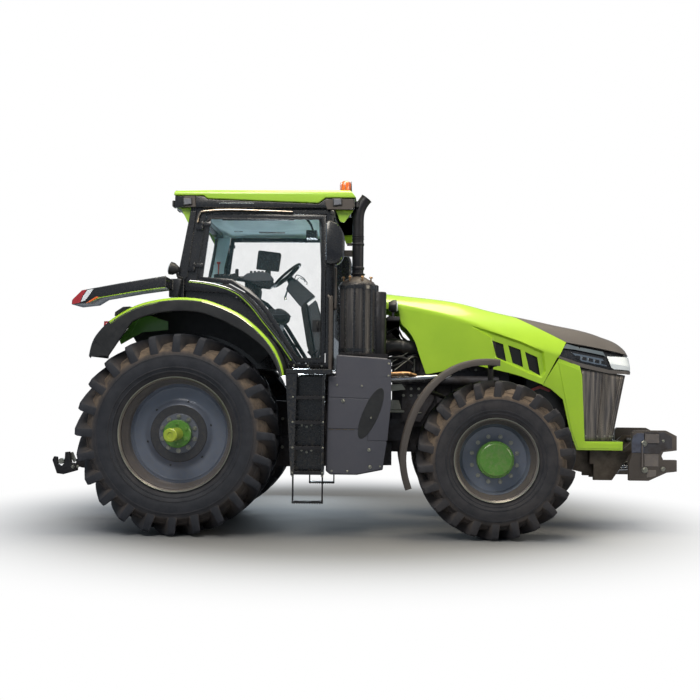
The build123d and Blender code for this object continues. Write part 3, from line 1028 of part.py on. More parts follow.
GRILLE_Y = BONNET_HALF_WIDTH - 48.0
with BuildPart() as grille:
    slab(from_front((900, 1690), (1425, 1600), (1290, 926 + SEAT_GAP), (940, 926 + SEAT_GAP)),
         -GRILLE_Y, GRILLE_Y)
    slab(from_front((850, 1800), (900, 1690), (1405, 1580), (1270, 900), (850, 900)), -GRILLE_Y + 18,
         GRILLE_Y - 18, Mode.SUBTRACT)
grille.part.label = "grille"
export_step(grille.part, "parts/grille.step")

with BuildPart() as radiator_pack:
    box((FRONT_AXLE_X + 400, -300, FRAME_TOP_Z + SEAT_GAP), (FRONT_AXLE_X + 820, 300, 1900))
radiator_pack.part.label = "radiator_pack"
export_step(radiator_pack.part, "parts/radiator_pack.step")
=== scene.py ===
"""A four-wheel-drive farm tractor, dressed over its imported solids.

Every length is in millimetres in the part's own frame: X ahead, Y to the driver's left, Z up. The wheels'
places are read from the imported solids, and each sub-assembly is a class that holds its sizes and makes its
own pieces.
"""

from __future__ import annotations

import json
import logging
import math
from collections.abc import Callable
from dataclasses import dataclass, field
from enum import Enum

import bmesh
import bpy
from mathutils import Matrix, Vector
from mathutils.geometry import delaunay_2d_cdt

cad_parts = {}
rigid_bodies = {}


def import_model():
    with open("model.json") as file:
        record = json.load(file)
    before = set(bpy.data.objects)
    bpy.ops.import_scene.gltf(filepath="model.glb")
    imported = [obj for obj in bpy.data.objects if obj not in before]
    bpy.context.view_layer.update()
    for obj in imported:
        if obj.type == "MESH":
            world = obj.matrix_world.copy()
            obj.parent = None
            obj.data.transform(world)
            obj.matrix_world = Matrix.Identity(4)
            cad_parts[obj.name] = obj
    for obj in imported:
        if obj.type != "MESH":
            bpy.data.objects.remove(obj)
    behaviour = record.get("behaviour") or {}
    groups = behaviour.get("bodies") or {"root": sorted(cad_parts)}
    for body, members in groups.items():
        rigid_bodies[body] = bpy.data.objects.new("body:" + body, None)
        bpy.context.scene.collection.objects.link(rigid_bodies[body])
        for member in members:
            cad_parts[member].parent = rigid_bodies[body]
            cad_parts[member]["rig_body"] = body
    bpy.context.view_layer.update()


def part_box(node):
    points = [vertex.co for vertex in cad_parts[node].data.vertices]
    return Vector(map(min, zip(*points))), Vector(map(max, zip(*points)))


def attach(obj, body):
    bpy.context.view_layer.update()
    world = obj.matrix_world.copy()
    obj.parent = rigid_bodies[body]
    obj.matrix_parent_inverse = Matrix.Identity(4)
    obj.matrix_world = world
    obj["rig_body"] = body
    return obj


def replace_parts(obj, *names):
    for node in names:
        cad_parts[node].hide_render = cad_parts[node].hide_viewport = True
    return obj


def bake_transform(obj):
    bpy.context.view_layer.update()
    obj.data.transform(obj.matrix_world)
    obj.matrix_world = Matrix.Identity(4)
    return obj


LOG = logging.getLogger("tractor")
MM = 0.001
Colour = tuple[float, float, float]
Point = tuple[float, float, float]
Outline = list[tuple[float, float]]


class Side(Enum):
    """The two sides of the machine, as the sign of Y."""

    LEFT = 1
    RIGHT = -1

    @property
    def word(self) -> str:
        """The side's name as the bodies and nodes spell it."""
        return self.name.lower()


def srgb(red: int, green: int, blue: int) -> Colour:
    """Turns a colour of 0 to 255 as seen into the linear values that shaders take."""
    return tuple((c / 255 / 12.92) if c <= 10 else ((c / 255 + 0.055) / 1.055) ** 2.4
                 for c in (red, green, blue))


FOLD = math.radians(28)    # an open sheet's edges stay sharp over this angle


def turns(count: int) -> list[float]:
    """Equal angles all round, in radians."""
    return [2 * math.pi * i / count for i in range(count)]


def spread(count: int, start: float = 0.0) -> list[float]:
    """Equal angles all round from a first one in degrees, in radians."""
    return [math.radians(360 // count * i + start) for i in range(count)]


def on_circle(across: float, up: float, radius: float, angle: float) -> tuple[float, float]:
    """A point on a circle round a centre in a plane."""
    return across + radius * math.cos(angle), up + radius * math.sin(angle)


# --- Mesh work ------------------------------------------------------------------------------------
class Shape:
    """Mesh work in millimetres, made into one object at the end."""

    def __init__(self) -> None:
        """Starts with an empty mesh."""
        self.bm = bmesh.new()
        self.dust = self.bm.verts.layers.float.new("dust")

    def _vert(self, x: float, y: float, z: float, dust: float = 0.0) -> bmesh.types.BMVert:
        """Adds one vertex, with how dusty the surface is there.

        Args:
            x: its X.
            y: its Y.
            z: its Z.
            dust: the soil there, 0 to 1.

        Returns:
            The new vertex.
        """
        vert = self.bm.verts.new((x * MM, y * MM, z * MM))
        vert[self.dust] = dust
        return vert

    def loft(self, rings: list[list[Point]], closed: bool = False, caps: bool = True,
             dust: float = 0.0) -> "Shape":
        """Joins rings of the same count of points by quads.

        Args:
            rings: each ring's points in order.
            closed: whether the last ring joins the first again.
            caps: whether the first and the last ring get a face.
            dust: how dusty the surface is, 0 to 1.

        Returns:
            The shape itself.
        """
        rows = [[self._vert(*p, dust) for p in ring] for ring in rings]
        count = len(rows[0])
        pairs = list(zip(rows, rows[1:])) + ([(rows[-1], rows[0])] if closed else [])
        for a, b in pairs:
            for i in range(count):
                j = (i + 1) % count
                self.bm.faces.new((a[i], a[j], b[j], b[i]))
        if caps and not closed:
            self.bm.faces.new(list(reversed(rows[0])))
            self.bm.faces.new(rows[-1])
        return self

    def strip(self, rows: list[list[Point]], dust: float = 0.0) -> "Shape":
        """Joins rows of points into an open surface.

        Args:
            rows: the points of each row, all of one length.
            dust: the soil on the faces, 0 to 1.

        Returns:
            The shape itself.
        """
        verts = [[self._vert(*p, dust) for p in row] for row in rows]
        for a, b in zip(verts, verts[1:]):
            for i in range(len(a) - 1):
                self.bm.faces.new((a[i], a[i + 1], b[i + 1], b[i]))
        return self

    def prism(self, outline: Outline, y_from: float, y_to: float) -> "Shape":
        """A plate whose side view is a polygon of (x, z)."""
        return self.loft([[(x, y, z) for x, z in outline] for y in (y_from, y_to)])

    def deck(self, outline: Outline, z_from: float, z_to: float) -> "Shape":
        """A plate whose top view is a polygon of (x, y)."""
        return self.loft([[(x, y, z) for x, y in outline] for z in (z_from, z_to)])

    def panel(self, outline: Outline, x_from: float, x_to: float) -> "Shape":
        """A plate whose front view is a polygon of (y, z)."""
        return self.loft([[(x, y, z) for y, z in outline] for x in (x_from, x_to)])

    def box(self, low: Point, high: Point) -> "Shape":
        """A block between two corners."""
        return self.prism([(low[0], low[2]), (high[0], low[2]), (high[0], high[2]), (low[0], high[2])],
                          low[1], high[1])

    def rod(self, start: Point, end: Point, radius: float, end_radius: float | None = None,
            sides: int = 20) -> "Shape":
        """A round bar or cone between two points."""
        return self.tube([start, end], [radius, radius if end_radius is None else end_radius], sides)

    def tube(self, path: list[Point], radius: float | list[float], sides: int = 14,
             caps: bool = True) -> "Shape":
        """A round tube along a path.

        Args:
            path: the points that its middle follows.
            radius: one radius, or one for each point.
            sides: how many flats go round it.
            caps: whether its ends are closed.

        Returns:
            The shape itself.
        """
        points = [Vector(p) for p in path]
        radii = radius if isinstance(radius, list) else [radius] * len(points)
        runs = [b - a for a, b in zip(points, points[1:])]
        heading = [runs[0]] + [(a.normalized() + b.normalized()) for a, b in zip(runs, runs[1:])] + [runs[-1]]
        across = heading[0].orthogonal().normalized()
        rings = []
        for point, way, size in zip(points, heading, radii):
            way = way.normalized()
            across = (across - way * across.dot(way)).normalized()
            other = way.cross(across)
            rings.append([tuple(point + (across * math.cos(a) + other * math.sin(a)) * size)
                          for a in turns(sides)])
        return self.loft(rings, caps=caps)

    def lathe(self, centre: tuple[float, float], profile: Outline, sides: int = 96, closed: bool = True,
              dust: float = 0.0, start: float = 0.0, sweep: float = 360.0) -> "Shape":
        """Turns a profile of (y, radius) about a wheel's axis.

        Args:
            centre: the axis, as (x, z).
            profile: the section's points.
            sides: how many steps go round.
            closed: whether the section is a closed ring.
            dust: how dusty the surface is, 0 to 1.
            start: angle at which the turn starts, from straight ahead upwards.
            sweep: angle that it covers.

        Returns:
            The shape itself.
        """
        full = sweep >= 360
        steps = sides if full else sides + 1
        rows = []
        for i in range(steps):
            a = math.radians(start + sweep * i / sides)
            rows.append([self._vert(centre[0] + r * math.cos(a), y, centre[1] + r * math.sin(a), dust)
                         for y, r in profile])
        pairs = list(zip(rows, rows[1:])) + ([(rows[-1], rows[0])] if full else [])
        count = len(profile)
        for a, b in pairs:
            for i in range(count if closed else count - 1):
                self.bm.faces.new((a[i], b[i], b[(i + 1) % count], a[(i + 1) % count]))
        if closed and not full:
            self.bm.faces.new(rows[0])
            self.bm.faces.new(list(reversed(rows[-1])))
        return self

    def bolt(self, place: Point, way: Point, size: float, washer: bool = True) -> "Shape":
        """A hexagon bolt's head on its washer.

        Args:
            place: where the head meets the surface.
            way: the way out of the surface.
            size: the head's radius over its corners.
            washer: whether a washer lies under it.

        Returns:
            The shape itself.
        """
        out = Vector(way).normalized()
        base = Vector(place)
        if washer:
            self.rod(tuple(base), tuple(base + out * size * 0.18), size * 1.25, sides=18)
        self.tube([tuple(base), tuple(base + out * size * 0.72), tuple(base + out * size * 0.86)],
                  [size, size, size * 0.82], sides=6)
        return self

    def bolts_round(self, centre: Point, radius: float, count: int, size: float, sign: int = 1) -> "Shape":
        """A circle of bolts on a face that looks along Y.

        Args:
            centre: the circle's centre.
            radius: the circle's radius.
            count: how many bolts.
            size: a bolt's size.
            sign: which way along Y the face looks.

        Returns:
            The shape itself.
        """
        for i in range(count):
            a = 2 * math.pi * (i + 0.5) / count
            u, v = on_circle(centre[0], centre[2], radius, a)
            self.bolt((u, centre[1], v), (0, sign, 0), size)
        return self

    def mirrored(self) -> "Shape":
        """Flips the whole shape over to the machine's other side.

        Returns:
            The shape itself.
        """
        for vert in self.bm.verts:
            vert.co.y = -vert.co.y
        bmesh.ops.reverse_faces(self.bm, faces=self.bm.faces)
        return self

    def facing(self, middle: Point) -> "Shape":
        """Turns an open sheet's faces to look away from a point inside it.

        Args:
            middle: a point on the sheet's inner side.

        Returns:
            The shape itself.
        """
        centre = Vector(middle) * MM
        bmesh.ops.recalc_face_normals(self.bm, faces=self.bm.faces)
        turned = sum((face.calc_center_median() - centre).dot(face.normal) * face.calc_area()
                     for face in self.bm.faces)
        if turned < 0:
            bmesh.ops.reverse_faces(self.bm, faces=self.bm.faces)
        return self

    def welded(self, gap: float) -> "Shape":
        """Joins vertices that lie closer than a gap."""
        bmesh.ops.remove_doubles(self.bm, verts=self.bm.verts, dist=gap * MM)
        return self

    def on_side(self, side: Side) -> "Shape":
        """Leaves a shape made for the left as it is, or flips it to the right."""
        return self if side is Side.LEFT else self.mirrored()

    def both_sides(self) -> "Shape":
        """Adds the same shape on the machine's other side.

        Returns:
            The shape itself.
        """
        twin = bmesh.ops.duplicate(self.bm, geom=self.bm.verts[:] + self.bm.edges[:]
                                   + self.bm.faces[:])["geom"]
        for item in twin:
            if isinstance(item, bmesh.types.BMVert):
                item.co.y = -item.co.y
        bmesh.ops.reverse_faces(self.bm, faces=[
            item for item in twin if isinstance(item, bmesh.types.BMFace)])
        return self

    def make(self, name: str, body: str, finish: "Finish", edge: float = 0.0, segments: int = 2,
             crease: float = 32.0, thick: float = 0.0, smooth: int = 0) -> bpy.types.Object:
        """Makes the object, and lets it ride on its body.

        Args:
            name: the object's name.
            body: the body that it moves with, or nothing for a piece that rides on none.
            finish: what its surface is.
            edge: how far its sharp edges are rounded.
            segments: steps in each rounded edge.
            crease: angle in degrees over which an edge counts as sharp.
            thick: thickness given to an open sheet, inwards.
            smooth: levels of subdivision.

        Returns:
            The new object.
        """
        bmesh.ops.recalc_face_normals(self.bm, faces=self.bm.faces)
        for face in self.bm.faces:
            face.smooth = True
        if not edge and not smooth:
            for joint in self.bm.edges:
                joint.smooth = joint.calc_face_angle(0.0) < math.radians(crease)
        obj = self._object(name, body, finish, thick, edge, segments, crease)
        if smooth:
            subdivided = obj.modifiers.new("soften", "SUBSURF")
            subdivided.levels = subdivided.render_levels = smooth
        return obj

    def sheet(self, name: str, body: str, finish: "Finish", thick: float, edge: float) -> bpy.types.Object:
        """Makes an open sheet, thickened inwards, whose faces already look outwards.

        Args:
            name: the object's name.
            body: the body that it moves with.
            finish: what its surface is.
            thick: the sheet's thickness.
            edge: how far its rims are rounded.

        Returns:
            The new object.
        """
        for face in self.bm.faces:
            face.smooth = True
        for joint in self.bm.edges:
            joint.smooth = joint.calc_face_angle(0.0) < FOLD
        return self._object(name, body, finish, thick, edge, segments=2, crease=50)

    def _object(self, name: str, body: str, finish: "Finish", thick: float, edge: float, segments: int,
                crease: float) -> bpy.types.Object:
        """Turns the mesh into an object with its modifiers, material and body.

        Args:
            name: the object's name.
            body: the body that it moves with, if any.
            finish: what its surface is.
            thick: thickness given to an open sheet, inwards.
            edge: how far sharp edges are rounded.
            segments: steps in each rounded edge.
            crease: angle in degrees over which an edge counts as sharp.

        Returns:
            The new object.
        """
        mesh = bpy.data.meshes.new(name)
        self.bm.to_mesh(mesh)
        self.bm.free()
        obj = bpy.data.objects.new(name, mesh)
        bpy.context.scene.collection.objects.link(obj)
        if thick:
            solid = obj.modifiers.new("sheet", "SOLIDIFY")
            solid.thickness = thick * MM
            solid.offset = -1
        if edge:
            bevel = obj.modifiers.new("edges", "BEVEL")
            bevel.width = edge * MM
            bevel.segments = segments
            bevel.limit_method = "ANGLE"
            bevel.angle_limit = math.radians(crease)
            bevel.harden_normals = True
        mesh.materials.append(finish.material())
        if body:
            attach(obj, body)
        return obj


def soften(node: str, finish: "Finish", edge: float = 4.0, segments: int = 2,
           name: str | None = None) -> bpy.types.Object:
    """Stands in for a solid with the same form, its sharp edges rounded.

    Args:
        node: the solid's node.
        finish: what its surface is.
        edge: how far the edges are rounded.
        segments: steps in each rounded edge.
        name: the new object's name.

    Returns:
        The new object.
    """
    frame_node = bpy.data.objects[node]
    shape = Shape()
    shape.bm.from_mesh(frame_node.data)
    bmesh.ops.remove_doubles(shape.bm, verts=shape.bm.verts, dist=1e-5)
    bmesh.ops.dissolve_limit(shape.bm, angle_limit=math.radians(1.0), verts=shape.bm.verts,
                             edges=shape.bm.edges)
    obj = shape.make(name or f"{node}_form", frame_node["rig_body"], finish, edge=edge, segments=segments)
    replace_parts(obj, node)
    return obj


def blended(start: float, end: float, share: float) -> float:
    """The value a share of the way from start to end."""
    return start + (end - start) * share


def smooth_line(points: Outline, steps: int = 6) -> Outline:
    """A smooth line through points, with steps between each two.

    Args:
        points: the points (x, z) to pass through.
        steps: points made for each gap.

    Returns:
        The denser line.
    """
    out = []
    for i in range(len(points) - 1):
        p0, p1, p2 = points[max(i - 1, 0)], points[i], points[i + 1]
        p3 = points[min(i + 2, len(points) - 1)]
        for k in range(steps):
            t = k / steps
            out.append(tuple(0.5 * (2 * b + (c - a) * t + (2 * a - 5 * b + 4 * c - d) * t * t
                                    + (3 * b - a - 3 * c + d) * t ** 3)
                             for a, b, c, d in zip(p0, p1, p2, p3)))
    return out + [points[-1]]


def smooth_path(points: list[Point], steps: int = 6) -> list[Point]:
    """A smooth path in space through points, with steps between each two."""
    return smooth_line(points, steps)


# --- Finishes -------------------------------------------------------------------------------------
class Graph:
    """A material's node tree, with short calls to add and join nodes."""

    def __init__(self, name: str) -> None:
        """Makes the material with its shader and its output.

        Args:
            name: the material's name.
        """
        self.result = bpy.data.materials.new(name)
        self.result.use_nodes = True
        self.tree = self.result.node_tree
        self.shader = self.tree.nodes["Principled BSDF"]
        self.coords = self.tree.nodes.new("ShaderNodeTexCoord").outputs["Object"]

    def node(self, kind: str, **settings: object) -> bpy.types.Node:
        """Adds a node and sets its plain properties.

        Args:
            kind: the node's type.
            settings: its properties by name.

        Returns:
            The new node.
        """
        made = self.tree.nodes.new(kind)
        for key, value in settings.items():
            setattr(made, key, value)
        return made

    def join(self, source: bpy.types.NodeSocket, target: bpy.types.NodeSocket) -> None:
        """Links one socket to another."""
        self.tree.links.new(source, target)

    def put(self, socket: str, value: float | Colour | bpy.types.NodeSocket) -> None:
        """Sets a socket of the shader, or links it.

        Args:
            socket: the socket's name.
            value: a number, a colour, or the socket to link.
        """
        target = self.shader.inputs[socket]
        if isinstance(value, bpy.types.NodeSocket):
            self.join(value, target)
        elif isinstance(value, tuple):
            target.default_value = (*value, 1.0)
        else:
            target.default_value = value

    def noise(self, scale: float, detail: float = 3.0, rough: float = 0.55,
              stretch: Point | None = None) -> bpy.types.NodeSocket:
        """A noise of a scale per metre over the part.

        Args:
            scale: how many grains go to a metre.
            detail: octaves.
            rough: how strong the fine octaves are.
            stretch: how the space is scaled first, for streaks.

        Returns:
            The noise's value, about 0 to 1.
        """
        noise = self.node("ShaderNodeTexNoise")
        noise.inputs["Scale"].default_value = scale
        noise.inputs["Detail"].default_value = detail
        noise.inputs["Roughness"].default_value = rough
        if stretch:
            mapping = self.node("ShaderNodeMapping")
            mapping.inputs["Scale"].default_value = stretch
            self.join(self.coords, mapping.inputs["Vector"])
            self.join(mapping.outputs["Vector"], noise.inputs["Vector"])
        else:
            self.join(self.coords, noise.inputs["Vector"])
        return noise.outputs["Fac"]

    def span(self, value: bpy.types.NodeSocket, low: float, high: float, to_low: float = 0.0,
             to_high: float = 1.0, ease: bool = False) -> bpy.types.NodeSocket:
        """Maps a range of values to another, and keeps it inside.

        Args:
            value: the value to map.
            low: start of its range.
            high: end of its range.
            to_low: the result at the start.
            to_high: the result at the end.
            ease: whether it starts and ends gently.

        Returns:
            The mapped value.
        """
        ramp = self.node("ShaderNodeMapRange", interpolation_type="SMOOTHSTEP" if ease else "LINEAR")
        for key, number in (("From Min", low), ("From Max", high), ("To Min", to_low), ("To Max", to_high)):
            ramp.inputs[key].default_value = number
        self.join(value, ramp.inputs["Value"])
        return ramp.outputs["Result"]

    def product(self, a: bpy.types.NodeSocket, b: bpy.types.NodeSocket | float,
                how: str = "MULTIPLY") -> bpy.types.NodeSocket:
        """Works two values into one.

        Args:
            a: the first value.
            b: the second value.
            how: the operation between them.

        Returns:
            The outcome.
        """
        math_node = self.node("ShaderNodeMath", operation=how)
        self.join(a, math_node.inputs[0])
        if isinstance(b, bpy.types.NodeSocket):
            self.join(b, math_node.inputs[1])
        else:
            math_node.inputs[1].default_value = b
        return math_node.outputs[0]

    def mix(self, share: bpy.types.NodeSocket, a: Colour | bpy.types.NodeSocket,
            b: Colour | bpy.types.NodeSocket) -> bpy.types.NodeSocket:
        """Mixes two colours by a share.

        Args:
            share: how much of the second colour shows.
            a: the first colour.
            b: the second colour.

        Returns:
            The mixed colour.
        """
        mix = self.node("ShaderNodeMix", data_type="RGBA")
        self.join(share, mix.inputs["Factor"])
        for socket, colour in ((mix.inputs[6], a), (mix.inputs[7], b)):
            if isinstance(colour, bpy.types.NodeSocket):
                self.join(colour, socket)
            else:
                socket.default_value = (*colour, 1.0)
        return mix.outputs[2]

    def height(self) -> bpy.types.NodeSocket:
        """How high a point lies over the ground at rest, in metres.

        Returns:
            The socket of the height.
        """
        parts = self.node("ShaderNodeSeparateXYZ")
        self.join(self.coords, parts.inputs["Vector"])
        return parts.outputs["Z"]

    def bump(self, value: bpy.types.NodeSocket, depth: float, strength: float = 1.0) -> None:
        """Adds relief of a depth in metres under what is there.

        Args:
            value: the height, 0 to 1.
            depth: how high 1 is, in metres.
            strength: how strongly it shows.
        """
        bump = self.node("ShaderNodeBump")
        bump.inputs["Distance"].default_value = depth
        bump.inputs["Strength"].default_value = strength
        self.join(value, bump.inputs["Height"])
        old = self.shader.inputs["Normal"].links
        if old:
            self.join(old[0].from_socket, bump.inputs["Normal"])
        self.join(bump.outputs["Normal"], self.shader.inputs["Normal"])


@dataclass(frozen=True)
class Finish:
    """A surface: its name, the record's slot that it belongs to, and its main colour."""

    name: str
    slot: str
    colour: Colour

    def material(self) -> bpy.types.Material:
        """Makes the material once, and gives the same one after.

        Returns:
            The material.
        """
        if self.name not in bpy.data.materials:
            graph = Graph(self.name)
            self.build(graph)
        return bpy.data.materials[self.name]

    def build(self, graph: Graph) -> None:
        """Puts the finish's nodes into the graph."""
        raise NotImplementedError


@dataclass(frozen=True)
class Paint(Finish):
    """Sprayed paint under a clear coat, with road dust low down and a fine orange peel."""

    shade: Colour = (0.0, 0.0, 0.0)
    dust: Colour = srgb(140, 128, 104)
    dusty: float = 0.25
    roughness: float = 0.34
    metallic: float = 0.0
    coat: float = 0.5

    def build(self, graph: Graph) -> None:
        """Mottled colour, dust that fades out upwards, and a rippled coat.

        Args:
            graph: the material's nodes.
        """
        mottle = graph.span(graph.noise(2.3, 4.0), 0.3, 0.75)
        base = graph.mix(mottle, self.colour, self.shade if any(self.shade) else self.colour)
        specks = graph.span(graph.noise(38.0, 6.0, 0.7), 0.46, 0.72)
        low = graph.span(graph.height(), 0.2, 1.9, self.dusty, self.dusty * 0.12)
        dirt = graph.product(specks, low)
        graph.put("Base Color", graph.mix(dirt, base, self.dust))
        graph.put("Roughness", graph.span(dirt, 0.0, 0.3, self.roughness, 0.75))
        graph.put("Metallic", self.metallic)
        graph.put("Coat Weight", self.coat)
        graph.put("Coat Roughness", 0.12)
        graph.bump(graph.noise(420.0, 2.0), 0.0004, 0.12)


@dataclass(frozen=True)
class Rubber(Finish):
    """Tyre rubber, scuffed black on the lugs, with dried soil between them and low down."""

    soil: Colour = srgb(118, 103, 88)

    def build(self, graph: Graph) -> None:
        """Soil by the mesh's own dust values and noise, over mottled rubber; on the tyres those values also
        carry painted shade, with less soil towards the bottom of the tyre.

        Args:
            graph: the material's nodes.
        """
        worn = graph.span(graph.noise(9.0, 5.0, 0.6), 0.35, 0.7)
        base = graph.mix(worn, self.colour, tuple(c * 1.5 for c in self.colour))
        soil_and_shade = graph.node("ShaderNodeAttribute", attribute_name="dust").outputs["Fac"]
        patches = graph.span(graph.noise(9.0, 6.0, 0.66), 0.3, 0.56, 0.25, 1.0)
        dirt = graph.product(soil_and_shade, patches)
        graph.put("Base Color", graph.mix(dirt, base, self.soil))
        graph.put("Roughness", graph.span(dirt, 0.0, 0.5, 0.66, 0.95))
        graph.put("Specular IOR Level", 0.3)
        graph.bump(graph.noise(160.0, 5.0, 0.65), 0.0012, 0.35)


@dataclass(frozen=True)
class Moulding(Finish):
    """Moulded plastic with a fine leather grain."""

    roughness: float = 0.48
    grain: float = 700.0

    def build(self, graph: Graph) -> None:
        """A grained surface with a little dust in the grain.

        Args:
            graph: the material's nodes.
        """
        cells = graph.node("ShaderNodeTexVoronoi", feature="F1")
        cells.inputs["Scale"].default_value = self.grain
        graph.join(graph.coords, cells.inputs["Vector"])
        cloud = graph.span(graph.noise(5.0, 5.0, 0.65), 0.38, 0.75, 0.0, 0.55)
        graph.put("Base Color", graph.mix(cloud, self.colour,
                                          tuple(blended(c, 0.12, 0.22) for c in self.colour)))
        graph.put("Roughness", graph.span(graph.noise(18.0, 4.0), 0.3, 0.7, self.roughness - 0.08,
                                          self.roughness + 0.12))
        graph.bump(cells.outputs["Distance"], 0.0004, 0.25)


@dataclass(frozen=True)
class Metal(Finish):
    """Cast or rolled metal under thin paint, with grime in the low patches."""

    roughness: float = 0.5
    metallic: float = 0.6
    grime: Colour = srgb(52, 44, 38)
    cast: float = 0.0012

    def build(self, graph: Graph) -> None:
        """Grime by broad noise, and a cast skin.

        Args:
            graph: the material's nodes.
        """
        patches = graph.span(graph.noise(6.0, 6.0, 0.7), 0.42, 0.72, 0.0, 0.75)
        graph.put("Base Color", graph.mix(patches, self.colour, self.grime))
        graph.put("Roughness", graph.span(patches, 0.0, 0.75, self.roughness, self.roughness + 0.3))
        graph.put("Metallic", self.metallic)
        graph.bump(graph.noise(210.0, 4.0, 0.6), self.cast, 0.3)


@dataclass(frozen=True)
class Pane(Finish):
    """Clear window glass with a faint film of dust."""

    share: float = 0.04

    def build(self, graph: Graph) -> None:
        """A thin see-through sheet that still mirrors.

        Args:
            graph: the material's nodes.
        """
        film = graph.span(graph.noise(7.0, 5.0, 0.65), 0.35, 0.8, 0.0, 0.03)
        graph.put("Base Color", self.colour)
        graph.put("Roughness", 0.03)
        graph.put("Alpha", graph.product(film, self.share, "ADD"))
        graph.put("Specular IOR Level", 0.7)


@dataclass(frozen=True)
class Lens(Finish):
    """A lamp's lens with moulded ribs behind a smooth front."""

    ribs: float = 260.0

    def build(self, graph: Graph) -> None:
        """Ribbed colour under a glossy coat.

        Args:
            graph: the material's nodes.
        """
        wave = graph.node("ShaderNodeTexWave", wave_type="BANDS", bands_direction="DIAGONAL")
        wave.inputs["Scale"].default_value = self.ribs / 6
        graph.join(graph.coords, wave.inputs["Vector"])
        band = graph.span(wave.outputs["Fac"], 0.0, 1.0, 0.0, 0.6)
        graph.put("Base Color", graph.mix(band, self.colour,
                                          tuple(min(1.0, c * 1.5 + 0.03) for c in self.colour)))
        graph.put("Roughness", graph.span(graph.noise(30.0), 0.2, 0.8, 0.1, 0.2))
        graph.put("Coat Weight", 1.0)
        graph.put("Coat Roughness", 0.05)
        graph.bump(wave.outputs["Fac"], 0.0008, 0.5)


@dataclass(frozen=True)
class Bright(Finish):
    """Polished or brushed metal."""

    roughness: float = 0.16

    def build(self, graph: Graph) -> None:
        """Fine brushing and faint smears.

        Args:
            graph: the material's nodes.
        """
        brush = graph.noise(60.0, 4.0, 0.6, (1.0, 1.0, 30.0))
        graph.put("Base Color", graph.mix(graph.span(brush, 0.3, 0.7), self.colour,
                                          tuple(c * 0.8 for c in self.colour)))
        graph.put("Metallic", 1.0)
        graph.put("Roughness", graph.span(graph.noise(12.0, 5.0), 0.3, 0.7, self.roughness,
                                          self.roughness + 0.12))
        graph.bump(brush, 0.0002, 0.2)


@dataclass(frozen=True)
class Weave(Finish):
    """Woven seat cloth with soft sheen."""

    thread: Colour = srgb(58, 62, 72)

    def build(self, graph: Graph) -> None:
        """Two crossed bands of threads, worn lighter in patches.

        Args:
            graph: the material's nodes.
        """
        bands = []
        for direction in ("X", "Z"):
            wave = graph.node("ShaderNodeTexWave", wave_type="BANDS", bands_direction=direction)
            wave.inputs["Scale"].default_value = 190.0
            wave.inputs["Distortion"].default_value = 0.6
            graph.join(graph.coords, wave.inputs["Vector"])
            bands.append(wave.outputs["Fac"])
        cloth = graph.product(bands[0], bands[1])
        worn = graph.span(graph.noise(8.0, 5.0, 0.6), 0.35, 0.75, 0.0, 0.6)
        base = graph.mix(graph.product(cloth, worn, "ADD"), self.colour, self.thread)
        graph.put("Base Color", base)
        graph.put("Roughness", graph.span(cloth, 0.0, 1.0, 0.95, 0.8))
        graph.put("Sheen Weight", 0.35)
        graph.bump(cloth, 0.0009, 0.5)


@dataclass(frozen=True)
class Mesh(Finish):
    """Woven wire or punched sheet, with painted shade in its holes, for the dark that shows through them."""

    behind: Colour = srgb(18, 18, 20)
    pitch: float = 110.0
    streak: float = 0.0

    def build(self, graph: Graph) -> None:
        """Round holes in a close grid, filled with painted shade, and streaks of dust down the sheet.

        Args:
            graph: the material's nodes.
        """
        cells = graph.node("ShaderNodeTexVoronoi", feature="F1")
        cells.inputs["Scale"].default_value = self.pitch
        cells.inputs["Randomness"].default_value = 0.0
        graph.join(graph.coords, cells.inputs["Vector"])
        hole = graph.span(cells.outputs["Distance"], 0.30, 0.42, 1.0, 0.0)
        streaks = graph.span(graph.noise(34.0, 4.0, 0.6, (1.0, 1.6, 0.05)), 0.35, 0.7, 0.0, self.streak)
        sheet = graph.mix(streaks, self.colour, srgb(150, 142, 134))
        # painted shade: each hole takes the dark colour, as the shade seen through it
        graph.put("Base Color", graph.mix(hole, sheet, self.behind))
        graph.put("Metallic", 0.35)
        graph.put("Roughness", graph.span(hole, 0.0, 1.0, 0.42, 0.9))
        graph.bump(graph.product(hole, -1.0), 0.002, 0.6)


LIME = Paint("lime_paint", "body_green", srgb(160, 200, 44), shade=srgb(146, 188, 38), dusty=0.18)
ROOF_LIME = Paint("roof_lime_paint", "roof_green", srgb(158, 200, 58), shade=srgb(146, 190, 50), dusty=0.1)
HUB_GREEN = Paint("hub_green_paint", "hub_green", srgb(76, 132, 38), shade=srgb(60, 108, 30), dusty=0.5,
                  roughness=0.4)
AXLE_GREEN = Paint("axle_end_paint", "hub_green", srgb(172, 184, 50), shade=srgb(120, 150, 40), dusty=0.5)
DISC_BLUE = Paint("disc_paint", "rim_grey", srgb(104, 112, 128), shade=srgb(88, 95, 110), dusty=0.22,
                  roughness=0.34, metallic=0.25, coat=0.3)
FLANGE_GREY = Paint("flange_paint", "rim_grey", srgb(104, 108, 120), shade=srgb(84, 88, 98), dusty=0.2,
                    roughness=0.36, metallic=0.3, coat=0.2)
RING_GREY = Paint("clamp_paint", "rim_grey", srgb(62, 62, 66), shade=srgb(52, 53, 58), dusty=0.2,
                  roughness=0.36, metallic=0.4, coat=0.2)
RIM_PAINT = Paint("rim_paint", "rim_grey", srgb(112, 106, 104), shade=srgb(92, 88, 90), dusty=0.4,
                  roughness=0.3, metallic=0.35, coat=0.3)
RUBBER = Rubber("scuffed_rubber", "tyre_rubber", srgb(31, 35, 43))
BLACK = Moulding("black_moulding", "black_plastic", srgb(24, 25, 28), 0.4)
CAB_BLACK = Paint("cab_black_paint", "cab_black", srgb(27, 29, 35), shade=srgb(20, 21, 26), dusty=0.3,
                  roughness=0.26, coat=0.45)
TANK_GREY = Moulding("tank_moulding", "grey_plastic", srgb(66, 67, 77), 0.5, 480.0)
GUARD_GREY = Moulding("mudguard_moulding", "grey_plastic", srgb(66, 60, 57), 0.5, 300.0)
